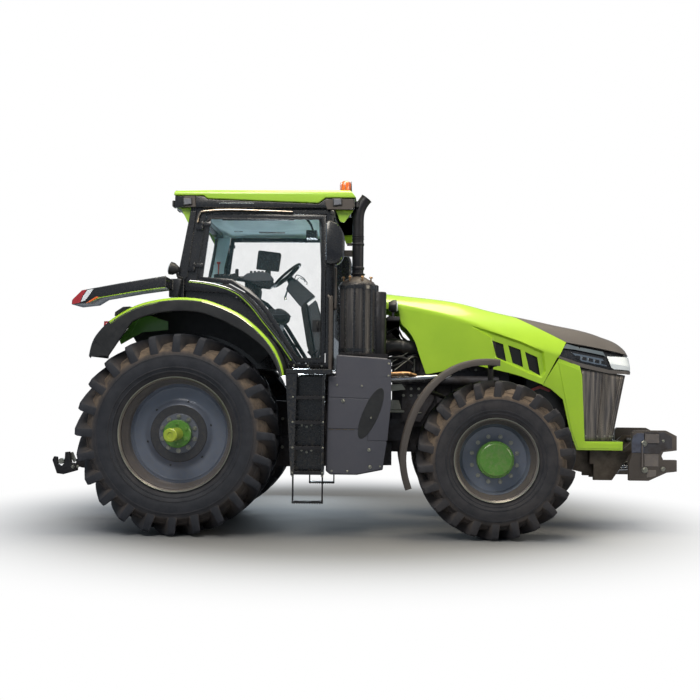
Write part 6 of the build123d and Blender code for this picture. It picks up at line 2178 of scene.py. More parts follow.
# --- Cab ------------------------------------------------------------------------------------------
@dataclass
class CabShell:
    """The cab's frame, doors, glass and roof."""

    stance: Stance
    half: float = 860.0
    roof_z: float = 3260.0
    floor_z: float = 1690.0

    def build(self) -> None:
        """Makes the outside of the cab."""
        soften("cab_frame", CAB_BLACK, 12, 3)
        for side in Side:
            soften(f"door_{side.word}", CAB_BLACK, 7, 2)
            self._door_trim(side)
        for node in ("cab_glass", "door_glass_left", "door_glass_right"):
            dress(node, GLASS)
        self._roof()
        self._roof_lamps()
        self._drip_rail()
        self._pillar_covers()

    def _door_trim(self, side: Side) -> None:
        """A bright line over the door's arc, its handle and its seal.

        Args:
            side: the side it is on.
        """
        s, y = self.stance, self.half
        arc = smooth_line([(44, 2521), (180, 2508), (311, 2484), (440, 2446), (555, 2388), (680, 2272),
                           (786, 2140), (955, 1930), (1094, 1735)], 6)
        line = Shape().tube([(s.rear_x + x, y + 6, z) for x, z in arc], 4.0, 8)
        green = Shape().tube([(s.rear_x + x - 14, y + 4, z - 13) for x, z in arc], 4.5, 8)
        handle = Shape()
        handle.box(*s.rear((1290, y - 2, 2010), (1372, y + 12, 2130)))
        handle.tube(smooth_path(s.rear((1350, y + 6, 2030), (1345, y + 34, 2042), (1342, y + 36, 2098),
                                       (1346, y + 6, 2112)), 4), 8)
        seal = Shape()
        door = smooth_line([(196, 3112), (120, 2580), (156, 2520), (450, 2440), (620, 2350), (735, 2235),
                            (850, 2080), (1125, 1775), (1180, 1742)], 3)
        seal.tube([(s.rear_x + x, y - 1, z) for x, z in door]
                  + s.rear((1366, y - 1, 1745), (1378, y - 1, 1760), (1380, y - 1, 3120), (1340, y - 1, 3155),
                           (240, y - 1, 3155), (196, y - 1, 3112)), 6.0, 6)
        body = f"cab_door_{side.word}"
        for shape, name, owner, finish in ((line, "arc_trim", body, CHROME),
                                           (green, "arc_green", body, ROOF_LIME),
                                           (handle, "door_handle", body, BLACK),
                                           (seal, "door_seal", body, BLACK)):
            shape.on_side(side).make(f"{name}_{side.word}", owner, finish,
                                     edge=2 if name == "door_handle" else 0)

    def _roof(self) -> None:
        """The roof's green top with a step along its sides, and its dark base."""
        s = self.stance
        soften("roof_shell", ROOF_LIME, 18, 4)
        soften("roof_base", CAB_BLACK, 12, 3)
        slots, under, caps = Shape(), Shape(), Shape()
        slots.box(*s.rear((336, -909, 3298), (688, -903, 3308)))
        under.deck(s.rear((1512, -840), (1690, -780), (1690, 780), (1512, 840)), self.roof_z - 26,
                   self.roof_z - 1)
        under.prism(s.rear((1512, 3245), (1560, 3130), (1600, 3120), (1690, 3245)), -845, -828)
        under.prism(s.rear((-118, 3262), (-60, 3252), (30, 3080), (46, 3100), (60, 3262)), -846, -832)
        for x in (1540, 1590, 1640):
            caps.box((s.rear_x + x, -700, self.roof_z - 30), (s.rear_x + x + 22, -500, self.roof_z - 25))
        hatch = Shape().deck(s.rear((420, -520), (1180, -520), (1180, 520), (420, 520)), 3441, 3447)
        hatch.deck(s.rear((460, -480), (1140, -480), (1140, 480), (460, 480)), 3447, 3452)
        ridges = Shape()
        for y in (-760, -640, 640, 760):
            ridges.loft([[(s.rear_x + x, y + a, 3438 + b) for a, b in ((-16, 0), (-9, 8), (9, 8), (16, 0))]
                         for x in (120, 1480)])
        box = Shape()
        box.prism(s.rear((1400, 3330), (1440, 3348), (1690, 3348), (1700, 3300), (1690, 3240), (1430, 3240)),
                  -921, -906)
        box.prism(s.rear((-20, 3376), (96, 3376), (100, 3262), (-16, 3258)), -920, -906)
        for shape, name, finish, edge in ((slots, "roof_side_slot", CHROME, 1),
                                          (under, "roof_underside", ROOF_LIME, 3),
                                          (caps, "underside_slots", BLACK, 1),
                                          (hatch, "roof_hatch", ROOF_LIME, 3),
                                          (ridges, "roof_ridges", ROOF_LIME, 3),
                                          (box, "roof_lamp_surround", GUARD_GREY, 6)):
            if name in ("roof_side_slot", "roof_underside", "roof_lamp_surround"):
                shape.both_sides()
            shape.make(name, "tractor", finish, edge=edge)

    def _roof_lamps(self) -> None:
        """Work lamps with housings and lenses, the beacon and the aerial."""
        s = self.stance
        housing, lens = Shape(), Shape()
        for x in (18, 1532):
            housing.prism(s.rear((x - 46, 3352), (x + 46, 3356), (x + 50, 3284), (x - 42, 3272)), -934, -918)
            lens.prism(s.rear((x - 36, 3342), (x + 36, 3345), (x + 39, 3292), (x - 33, 3282)), -937, -930)
        for y in (-815, -555):
            for x, way in ((1708, 1), (-116, -1)):
                housing.loft([[(s.rear_x + x + way * d, y + a * w, 3304 + b * w)
                               for a, b in ((-58, -32), (58, -32), (58, 32), (-58, 32))]
                              for d, w in ((0, 0.8), (12, 1.0), (30, 1.0))])
                lens.loft([[(s.rear_x + x + way * d, y + a, 3304 + b)
                            for a, b in ((-50, -25), (50, -25), (50, 25), (-50, 25))] for d in (28, 33)])
        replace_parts(housing.both_sides().make("work_lamps", "tractor", BLACK, edge=6, segments=3),
                    "roof_lamps")
        lens.both_sides().make("work_lamp_glass", "tractor", WORK_LENS, edge=4)
        x, y = s.rear_x + 1600, -600
        foot = Shape().tube([(x, y, 3440), (x, y, 3452), (x, y, 3462), (x, y, 3476)], [62, 62, 50, 48], 32)
        dome = Shape().tube([(x, y, 3474), (x, y, 3482), (x, y, 3556), (x, y, 3578), (x, y, 3588),
                             (x, y, 3590)], [52, 55, 55, 50, 34, 4], 36)
        cage = Shape()
        for i in range(8):
            a = math.radians(45 * i)
            cage.tube([(x + r * math.cos(a), y + r * math.sin(a), z)
                       for r, z in ((56, 3482), (57, 3550), (50, 3580))], 2.2, 6)
        aerial = Shape().tube([(x + 62, y, 3440), (x + 62, y, 3460), (x + 60, y, 3588)], [9, 7, 2.2], 10)
        for shape, name, finish in ((foot, "beacon_foot", STEEL), (dome, "beacon_dome", AMBER_LENS),
                                    (cage, "beacon_ribs", STEEL), (aerial, "aerial", BLACK)):
            shape.make(name, "tractor", finish, crease=50)

    def _drip_rail(self) -> None:
        """The bent rail over the door, and the blind's case behind it."""
        s, rail, case = self.stance, Shape(), Shape()
        path = smooth_path([(112, 3110), (122, 3160), (136, 3198), (160, 3220), (272, 3232), (320, 3236),
                            (560, 3238), (1080, 3220)], 4)
        rail.tube([(s.rear_x + x, -886, z) for x, z in path], 11, 10)
        rail.both_sides().make("drip_rail", "tractor", WARM_CHROME)
        case.prism(s.rear((330, 3186), (1090, 3170), (1090, 3146), (330, 3158)), -846, -800)
        case.both_sides().make("door_blind_case", "tractor", BLACK, edge=5)

    def _pillar_covers(self) -> None:
        """A second skin on the rear pillar, as on a folded pressing, bolts on the sill, and a black plate under
        the door's arch as painted shade.
        """
        s, cover, bolts = self.stance, Shape(), Shape()
        cover.prism(s.rear((40, 3230), (100, 3230), (20, 2560), (-60, 2470), (-92, 2440), (-84, 2520)), -874,
                    -861)
        cover.prism(s.rear((-108, 2510), (-14, 2520), (-14, 2342), (-108, 2342)), -880, -861)
        for x, z in ((-60, 2400), (-60, 2470), (1110, 1668), (1250, 1668), (1390, 1668)):
            bolts.bolt((s.rear_x + x, -880 if z > 2000 else -861, z), (0, -1, 0), 9)
        # painted shade: a black plate fills the gap under the door's arch, where only shade shows
        arch_shade_plate = Shape().prism(s.rear((-60, 2440), (120, 2470), (457, 2400), (700, 2210), (900, 1990),
                                     (820, 1940), (600, 2120), (300, 2240), (-60, 2290)), -812, -800)
        arch_shade_plate.both_sides().make("cab_skirt", "tractor", CAB_BLACK, edge=2)
        cover.both_sides().make("pillar_cover", "tractor", CAB_BLACK, edge=8, segments=3)
        bolts.both_sides().make("cab_bolts", "tractor", ZINC)


def dress(node: str, finish: Finish) -> None:
    """Gives a solid its finish without changing its form.

    Args:
        node: the solid's name.
        finish: what its surface is.
    """
    slots = bpy.data.objects[node].material_slots
    if slots:
        for slot in slots:
            slot.material = finish.material()
    else:
        bpy.data.objects[node].data.materials.append(finish.material())


# --- Tanks, ladders, exhaust and mirrors ----------------------------------------------------------
@dataclass
class SideGear:
    """What stands beside the engine: tanks, boarding ladders, exhaust cleaner with its stack, and mirrors."""

    stance: Stance
    tank_y: float = 1150.0
    ladder_y: float = 1235.0
    stack_x: float = 1740.0
    stack_y: float = -793.0

    def build(self) -> None:
        """Makes the gear on both sides."""
        self._tanks()
        self._ladders()
        self._canister()
        self._stack()
        self._mirrors()

    def _tanks(self) -> None:
        """The tanks' moulded covers with a seam, a black oval painted as the shade in their hollow, and their
        fixings.
        """
        s, y = self.stance, self.tank_y
        soften("side_tanks", TANK_GREY, 12, 3)
        panel, hollow, seams, bolts = Shape(), Shape(), Shape(), Shape()
        for outline, low, high in ((((1552, 1766), (2086, 1730), (2088, 1300), (2054, 940), (1868, 940),
                                     (1868, 1350), (1480, 1362), (1476, 1560), (1550, 1560)), 0, 5),
                                   (((1480, 1352), (1862, 1340), (1862, 1052), (1470, 1056)), 0, 5),
                                   (((1470, 1046), (1862, 1042), (1862, 930), (2050, 930), (2010, 668),
                                     (1758, 614), (1504, 616), (1466, 646)), 0, 5)):
            panel.prism(s.rear(*outline), -y - high, -y - low)
        # painted shade: a black oval stands for the shade in the tank's hollow
        oval = [(1892 + 84 * math.cos(a) + 95 * math.sin(a), 1205 + 250 * math.sin(a)) for a in turns(28)]
        hollow.prism(s.rear(*oval), -y - 7.5, -y - 1)
        for i in range(4):
            seams.box((s.rear_x + 1482 + 66 * i, -y - 8, 1040), (s.rear_x + 1534 + 66 * i, -y - 3, 1050))
        for x, z, size in ((1558, 1476, 9), (1801, 1469, 9), (1619, 1323, 14), (1892, 1161, 10),
                           (1877, 848, 14), (1887, 684, 15), (1985, 690, 8), (1513, 640, 9), (1667, 640, 9),
                           (2062, 1690, 9), (2060, 1570, 9)):
            bolts.bolt((s.rear_x + x, -y - 5, z), (0, -1, 0), size)
        panel.both_sides().make("tank_panels", "tractor", TANK_GREY, edge=3)
        hollow.both_sides().make("tank_hollow", "tractor", BLACK, edge=2.5)
        seams.both_sides().make("tank_step", "tractor", GUARD_GREY, edge=1)
        bolts.both_sides().make("tank_bolts", "tractor", ZINC)
        cap = Shape().tube(s.rear((1600, 980, 1770), (1600, 980, 1800), (1600, 980, 1806)), [62, 62, 52], 30)
        for u, v in (on_circle(s.rear_x + 1600, 980, 62, a) for a in spread(10)):
            cap.rod((u, v, 1774), (u, v, 1800), 6, sides=8)
        cap.make("filler_cap", "tractor", BLACK, edge=2)

    def _ladders(self) -> None:
        """Boarding steps with slotted treads between side plates, a hung bottom step and the handrails."""
        s, out = self.stance, self.ladder_y
        frame, treads, steps, rails, bolts = Shape(), Shape(), Shape(), Shape(), Shape()
        for low, high in ((-out, -out + 12), (-1072, -1060)):
            frame.prism(s.rear((1060, 1589), (1172, 1589), (1150, 600), (1120, 600)), low, high)
        for x in (1420, 1432):
            frame.prism(s.rear((x, 1589), (x + 10, 1589), (x + 6, 600), (x - 4, 600)), -out, -1060)
        frame.prism(s.rear((1150, 1560), (1425, 1560), (1425, 600), (1150, 600)), -1068, -1060)
        for z in (1356, 1114, 867, 626):
            for k in range(4):
                treads.box(*s.rear((1142, -out + 6 + 40 * k, z - 14), (1424, -out + 22 + 40 * k, z + 10)))
            treads.box(*s.rear((1140, -out + 2, z - 20), (1426, -out + 8, z + 12)))
            for k in range(9):
                treads.box((s.rear_x + 1152 + 31 * k, -out + 4, z + 9),
                           (s.rear_x + 1164 + 31 * k, -1082, z + 16))
            for x in (1134, 1429):
                bolts.bolt((s.rear_x + x, -out, z), (0, -1, 0), 8)
        for z in (1080, 832):
            for x in (1212, 1262, 1308):
                bolts.bolt((s.rear_x + x, -1069, z if x != 1262 else z - 16), (0, -1, 0), 9)
        for x in (1136, 1424):
            steps.box((s.rear_x + x - 6, -1170, 322), (s.rear_x + x + 8, -1136, 640))
            bolts.bolt((s.rear_x + x, -1172, 590), (0, -1, 0), 10)
        for y in (-1176, -1150, -1124):
            steps.box(*s.rear((1130, y - 9, 328), (1432, y + 9, 348)))
        for k in range(11):
            steps.box((s.rear_x + 1150 + 25 * k, -1186, 320), (s.rear_x + 1160 + 25 * k, -1110, 330))
        platform = Shape()
        platform.deck(s.rear((1062, -out), (1505, -out), (1505, -864), (1062, -864)), 1581, 1604)
        for k in range(13):
            platform.box((s.rear_x + 1078 + 33 * k, -out + 14, 1603), (s.rear_x + 1092 + 33 * k, -880, 1628))
        platform.box(*s.rear((1062, -out, 1600), (1505, -out + 10, 1629)))
        rails.tube(smooth_path(s.rear((1487, -930, 1600), (1487, -930, 2300), (1485, -918, 2334),
                                      (1480, -868, 2340)), 4), 14)
        rails.tube(smooth_path(s.rear((1487, -1216, 1600), (1487, -1216, 2000), (1486, -1216, 2290),
                                      (1478, -1204, 2330), (1462, -1196, 2346)), 4), 14)
        rails.tube(smooth_path(s.rear((1520, -868, 2650), (1522, -925, 2640), (1524, -932, 2600),
                                      (1524, -932, 2290), (1522, -925, 2250), (1518, -868, 2242)), 4), 13)
        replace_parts(frame.both_sides().make("ladder_plates", "tractor", CAB_BLACK, edge=2),
                    "boarding_ladders")
        treads.both_sides().make("ladder_treads", "tractor", DARK_IRON, edge=1.5)
        steps.both_sides().make("ladder_foot", "tractor", DARK_IRON, edge=2)
        platform.both_sides().make("platform", "tractor", CAB_BLACK, edge=2)
        rails.both_sides().make("handrails", "tractor", GUARD_GREY)
        bolts.both_sides().make("ladder_bolts", "tractor", ZINC)

    def _canister(self) -> None:
        """The exhaust cleaner: a ribbed upright drum with a domed lid, and a smaller one beside it."""
        s = self.stance
        x, y = s.rear_x + self.stack_x, self.stack_y
        drum = Shape().tube([(x, y, z) for z in (1776, 1786, 1800, 2486, 2500, 2512)],
                            [180, 187, 187, 187, 181, 168], 56)
        lid = Shape().tube([(x, y, z) for z in (2506, 2520, 2548, 2566, 2574)], [172, 166, 112, 84, 66], 48)
        small = Shape().tube([(x + 215, y + 20, z) for z in (1776, 1790, 2414, 2424)], [74, 78, 78, 70], 32)
        small.tube([(x + 150, y + 60, z) for z in (1776, 2488, 2498)], [64, 64, 54], 28)
        ribs, band, studs = Shape(), Shape(), Shape()
        for angle in (205, 232, 262, 292, 318, 345, 12):
            a = math.radians(angle)
            px, py = x + 186 * math.cos(a), y + 186 * math.sin(a)
            side = Vector((-math.sin(a), math.cos(a), 0)) * 13
            ribs.loft([[(px + side.x * k - out * math.cos(a), py + side.y * k - out * math.sin(a), z)
                        for k, out in ((-1, 4), (-0.7, -9), (0.7, -9), (1, 4))] for z in (1800, 2484)])
        for z in (1830, 2460):
            band.tube([(x, y, z - 16), (x, y, z + 16)], 190.5, 56)
        for angle in (200, 240, 290, 335):
            u, v = on_circle(x, y, 150, math.radians(angle))
            studs.tube([(u, v, z) for z in (2512, 2552, 2560)], [8, 8, 15], 12)
            studs.bolt((u, v, 2556), (0, 0, 1), 17)
        foot = Shape().prism(s.rear((1566, 1776), (2050, 1746), (2052, 1792), (1566, 1798)), -950, -600)
        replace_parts(drum.make("cleaner_drum", "tractor", CANISTER_SHEET, crease=50), "exhaust_canister")
        for shape, name, finish in ((lid, "cleaner_lid", GUARD_GREY), (small, "cleaner_side_drum", SOOT),
                                    (ribs, "cleaner_ribs", CAB_BLACK), (band, "cleaner_bands", CAB_BLACK),
                                    (studs, "cleaner_studs", COPPER), (foot, "cleaner_foot", DARK_IRON)):
            shape.make(name, "tractor", finish, crease=50)

    def _stack(self) -> None:
        """The exhaust stack, bent ahead at its top and cut on the slant, with clamps."""
        s = self.stance
        x, y = s.rear_x + self.stack_x, self.stack_y
        path = smooth_path([(x, y, 2540), (x, y, 2760), (x, y, 3050), (x, y, 3170), (x + 12, y, 3250),
                            (x + 42, y, 3318), (x + 84, y, 3376)], 5)
        outer = Shape().tube(path, 58, 40, caps=False)
        inner = Shape().tube(path[-9:], 51, 40, caps=False)
        bore = Shape().tube(path[-12:-8], 50, 40)
        rings = Shape()
        for z, r, h in ((2600, 74, 9), (2662, 66, 16), (2905, 64, 14), (2962, 62, 6), (2985, 62, 6)):
            rings.tube([(x, y, z - h), (x, y, z - h * 0.6), (x, y, z + h * 0.6), (x, y, z + h)],
                       [r - 6, r, r, r - 6], 40)
        end = Vector(path[-1])
        way = (end - Vector(path[-2])).normalized()
        rings.tube([tuple(end - way * 10), tuple(end - way * 6), tuple(end), tuple(end + way * 2)],
                   [58, 62, 62, 58], 40, caps=False)
        clamp = Shape().box((x - 110, y - 14, 2892), (x - 56, y + 14, 2918))
        clamp.bolt((x - 84, y - 16, 2905), (0, -1, 0), 10)
        clamp.box((x - 260, y + 20, 2785), (x - 50, y + 40, 2850))
        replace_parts(outer.make("stack_pipe", "tractor", SOOT, crease=60, thick=5), "exhaust_stack")
        inner.make("stack_liner", "tractor", DARK_IRON, crease=60)
        bore.make("stack_bore", "tractor", BLACK, crease=60)
        rings.make("stack_rings", "tractor", SOOT, crease=60)
        clamp.make("stack_clamp", "tractor", GUARD_GREY, edge=3)

    def _mirrors(self) -> None:
        """The mirrors: a rounded case on an arm, with two panes."""
        s = self.stance
        case, panes, arm = Shape(), Shape(), Shape()
        outline = smooth_line([(1444, 3080), (1470, 3094), (1530, 3072), (1582, 3020), (1612, 2950),
                               (1616, 2850), (1612, 2760), (1588, 2700), (1540, 2662), (1480, 2652),
                               (1446, 2662)], 4)
        rings = []
        for y, share in ((-1000, 0.86), (-1012, 0.95), (-1040, 1.0), (-1160, 1.0), (-1188, 0.94),
                         (-1199, 0.82)):
            rings.append([(s.rear_x + 1450 + (x - 1450) * share, y, 2870 + (z - 2870) * share)
                          for x, z in outline])
        case.loft(rings)
        for low, high in ((2700, 2860), (2872, 3062)):
            panes.panel([(-1182, low), (-1018, low), (-1018, high), (-1182, high)], s.rear_x + 1437,
                        s.rear_x + 1446)
        arm.tube(smooth_path(s.rear((1490, -868, 3170), (1492, -1000, 3176), (1494, -1084, 3170),
                                    (1494, -1096, 3130), (1494, -1096, 3040)), 5), 14)
        arm.tube(s.rear((1494, -1096, 3160), (1494, -1096, 3192), (1494, -1096, 3200)), [24, 24, 16], 20)
        arm.tube(smooth_path(s.rear((1500, -1020, 2670), (1512, -960, 2560), (1512, -930, 2300)), 5), 9)
        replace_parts(case.both_sides().make("mirror_cases", "tractor", CAB_BLACK, edge=6, segments=3),
                    "mirrors")
        panes.both_sides().make("mirror_panes", "tractor", MIRROR, edge=4)
        arm.both_sides().make("mirror_arms", "tractor", BLACK)


# --- Drive line and engine bay --------------------------------------------------------------------
@dataclass
class DriveLine:
    """Chassis, housings and axles, with the pipes and brackets that show behind the mudguards."""

    stance: Stance

    def build(self) -> None:
        """Makes the drive line and what hangs on it."""
        for node, finish, edge in (("chassis_frame", CAST, 6), ("engine_block", CAST, 14),
                                   ("transmission_housing", CAST, 10), ("front_axle_beam", CAST, 10),
                                   ("steering_rod", STEEL, 3), ("radiator_pack", BLACK, 8)):
            soften(node, finish, edge, 2)
        for side in Side:
            soften(f"front_knuckle_{side.word}", CAST, 8, 2)
            self._knuckle_extras(side)
        self._engine()
        self._pipes()
        self._bay_brackets()
        self._underside()

    def _engine(self) -> None:
        """Covers, ribs and bolts on the engine's sides, and fins across the radiator."""
        s = self.stance
        covers, ribs, bolts = Shape(), Shape(), Shape()
        for k in range(6):
            x = s.front_x - 850 + 165 * k
            covers.box((x, -308, 1640), (x + 135, -290, 1800))
            covers.tube([(x + 68, -306, 1560), (x + 68, -350, 1545), (x + 68, -395, 1540)], [42, 40, 36], 16)
            for z in (1655, 1785):
                bolts.bolt((x + 68, -308, z), (0, -1, 0), 11)
            ribs.box((x + 140, -302, 1090), (x + 154, -290, 1500))
            bolts.bolt((x + 30, -292, 1200), (0, -1, 0), 12)
            bolts.bolt((x + 96, -292, 1340), (0, -1, 0), 12)
        covers.tube(s.front((-870, -392, 1546), (110, -392, 1540)), 46, 20)
        ribs.prism(s.front((-560, 1060), (140, 1060), (140, 1130), (-560, 1150)), -318, -290)
        covers.prism(s.front((-900, 1820), (-320, 1890), (120, 1800), (120, 1770), (-320, 1840),
                             (-900, 1800)), -270, -230)
        fins = Shape()
        for k in range(20):
            fins.box(*s.front((398, -290 + 30 * k, 1090), (401, -276 + 30 * k, 1880)))
        for shape, name, finish, edge in ((covers, "engine_covers", CAST, 6),
                                          (ribs, "engine_ribs", DARK_IRON, 3),
                                          (bolts, "engine_bolts", ZINC, 0),
                                          (fins, "radiator_fins", DARK_IRON, 0)):
            if name != "radiator_fins":
                shape.both_sides()
            shape.make(name, "tractor", finish, edge=edge)

    def _pipes(self) -> None:
        """The exhaust pipe with its copper-coloured wrap, the air duct, and hoses."""
        s = self.stance
        silver, copper, duct, hoses, rods = Shape(), Shape(), Shape(), Shape(), Shape()
        silver.tube(smooth_path(s.front((-1040, -470, 1548), (-820, -470, 1552), (-640, -466, 1560),
                                        (-500, -440, 1572), (-400, -370, 1580)), 5), 36, 24)
        silver.tube(s.front((-826, -470, 1552), (-806, -470, 1552)), 44, 24)
        copper.tube(smooth_path(s.front((-1040, -520, 1598), (-900, -520, 1606), (-820, -512, 1604),
                                        (-760, -480, 1590)), 5), 22, 20)
        for k in range(4):
            copper.tube([(s.front_x - 1010 + 60 * k, -520, 1599), (s.front_x - 998 + 60 * k, -520, 1600)], 26,
                        20)
        duct.tube(smooth_path(s.front((-1110, -400, 1880), (-960, -400, 1896), (-830, -380, 1880),
                                      (-700, -300, 1850)), 6), 76, 28)
        for x in (-1060, -900):
            hoses.tube([(s.front_x + x, -400, 1884), (s.front_x + x + 22, -400, 1886)], 82, 28)
        hoses.tube(smooth_path(s.front((-1060, -420, 1660), (-900, -430, 1720), (-800, -420, 1790),
                                       (-700, -330, 1810)), 5), 13)
        hoses.tube(smooth_path(s.front((-1060, -380, 2020), (-960, -430, 2080), (-900, -420, 1990),
                                       (-860, -380, 1960)), 5), 11)
        hoses.tube(smooth_path(s.front((-1050, -440, 1760), (-940, -450, 1780), (-860, -440, 1760),
                                       (-780, -400, 1700)), 5), 16)
        rods.tube(s.front((-1060, -440, 1690), (-820, -430, 1840), (-770, -400, 1838)), 6, 8)
        rods.tube(s.front((-980, -450, 1640), (-790, -440, 1786), (-740, -400, 1784)), 6, 8)
        rods.rod(*s.front((-770, -380, 1620), (-770, -380, 1760)), 9)
        for shape, name, finish in ((silver, "exhaust_pipe", STEEL), (copper, "pipe_wrap", COPPER),
                                    (duct, "air_duct", BLACK), (hoses, "hoses", BLACK),
                                    (rods, "bay_rods", ZINC)):
            if name in ("air_duct", "hoses", "bay_rods"):
                shape.both_sides()
            shape.make(name, "tractor", finish, crease=50)

    def _bay_brackets(self) -> None:
        """Brackets, plates and the lamp ahead of the tank, and the red bracket behind the vents."""
        s = self.stance
        plates, dark, bolts, lamp = Shape(), Shape(), Shape(), Shape()
        plates.prism(s.front((-1060, 1490), (-900, 1500), (-860, 1440), (-1040, 1420)), -430, -300)
        plates.prism(s.front((-1060, 1230), (-1040, 1330), (-930, 1330), (-900, 1230)), -338, -326)
        plates.prism(s.front((-1064, 1200), (-870, 1200), (-870, 1222), (-1064, 1222)), -338, -290)
        plates.prism(s.front((-800, 1180), (-690, 1190), (-690, 1204), (-800, 1196)), -336, -290)
        dark.prism(s.front((-900, 1480), (-560, 1520), (-560, 1340), (-700, 1100), (-900, 1100)), -330, -244)
        dark.prism(s.front((-1060, 1130), (-860, 1140), (-800, 900), (-1060, 900)), -296, -244)
        for x in (-880, -800, -720):
            for z in (1380, 1450):
                bolts.bolt((s.front_x + x, -330, z), (0, -1, 0), 12)
        for x, z in ((-1010, 1290), (-950, 1290), (-980, 1262), (-1020, 1210), (-900, 1215)):
            bolts.bolt((s.front_x + x, -338, z), (0, -1, 0), 9)
        dark.box(*s.front((-1112, -70, 1900), (-925, 70, 2215)))
        dark.box(*s.front((120, -60, 1470), (400, 60, 1600)))
        dark.box(*s.front((-1060, -600, 2150), (-930, -440, 2190)))
        dark.box(*s.front((-1010, -560, 2186), (-985, -530, 2240)))
        lamp.tube(s.front((-1044, -545, 2300), (-1010, -545, 2300), (-968, -545, 2302), (-960, -545, 2302)),
                  [44, 62, 66, 60], 28)
        lens = Shape().tube(s.front((-962, -545, 2302), (-950, -545, 2302)), [56, 50], 28)
        red = Shape().prism(s.front((440, 1456), (547, 1502), (664, 1449), (640, 1430), (547, 1466),
                                    (470, 1436)), -300, -330)
        for shape, name, finish, edge in ((plates, "bay_plates", ZINC, 2), (dark, "bay_castings", CAST, 6),
                                          (bolts, "bay_bolts", ZINC, 0), (lamp, "bay_lamp", BLACK, 3),
                                          (lens, "bay_lamp_glass", CLEAR_LENS, 2),
                                          (red, "bay_bracket", RED_PAINT, 3)):
            shape.both_sides().make(name, "tractor", finish, edge=edge)

    def _knuckle_extras(self, side: Side) -> None:
        """Swivel caps and their bolts on a knuckle.

        Args:
            side: the side it is on.
        """
        s = self.stance
        caps = Shape()
        for z, way in ((s.front_r + 160, 1), (s.front_r - 160, -1)):
            caps.tube(s.front((0, 720, z - way * 2), (0, 720, z + way * 14), (0, 720, z + way * 20)),
                      [82, 82, 66], 32)
            for u, v in (on_circle(s.front_x, 720, 66, a) for a in spread(6, 30)):
                caps.bolt((u, v, z + way * 14), (0, 0, way), 8)
        caps.on_side(side).make(f"swivel_caps_{side.word}", f"knuckle_{side.word}", DARK_IRON, crease=40)

    def _underside(self) -> None:
        """Ribs and covers under the gearbox and on the rear axle's trumpets."""
        s = self.stance
        ribs, bolts = Shape(), Shape()
        for sign in (1, -1):
            for x, z in (on_circle(s.rear_x, s.rear_r, 210, a) for a in spread(8)):
                bolts.bolt((x, sign * 452, z), (0, sign, 0), 15)
            for a in spread(4, 45):
                cx, cz = on_circle(s.rear_x, s.rear_r, 176, a)
                ribs.rod((cx, sign * 440, cz), (cx - 30 * math.cos(a), sign * 780, cz - 30 * math.sin(a)), 16,
                         sides=8)
        for k in range(7):
            x = s.rear_x + 520 + 210 * k
            ribs.box((x, -236, 660), (x + 16, 236, 700))
            for z in (820, 1120):
                bolts.bolt((x, -232, z), (0, -1, 0), 14)
                bolts.bolt((x, 232, z), (0, 1, 0), 14)
        ribs.box(*s.rear((400, -246, 930), (2050, 246, 955)))
        ribs.make("housing_ribs", "tractor", CAST, edge=4)
        bolts.make("housing_bolts", "tractor", ZINC)


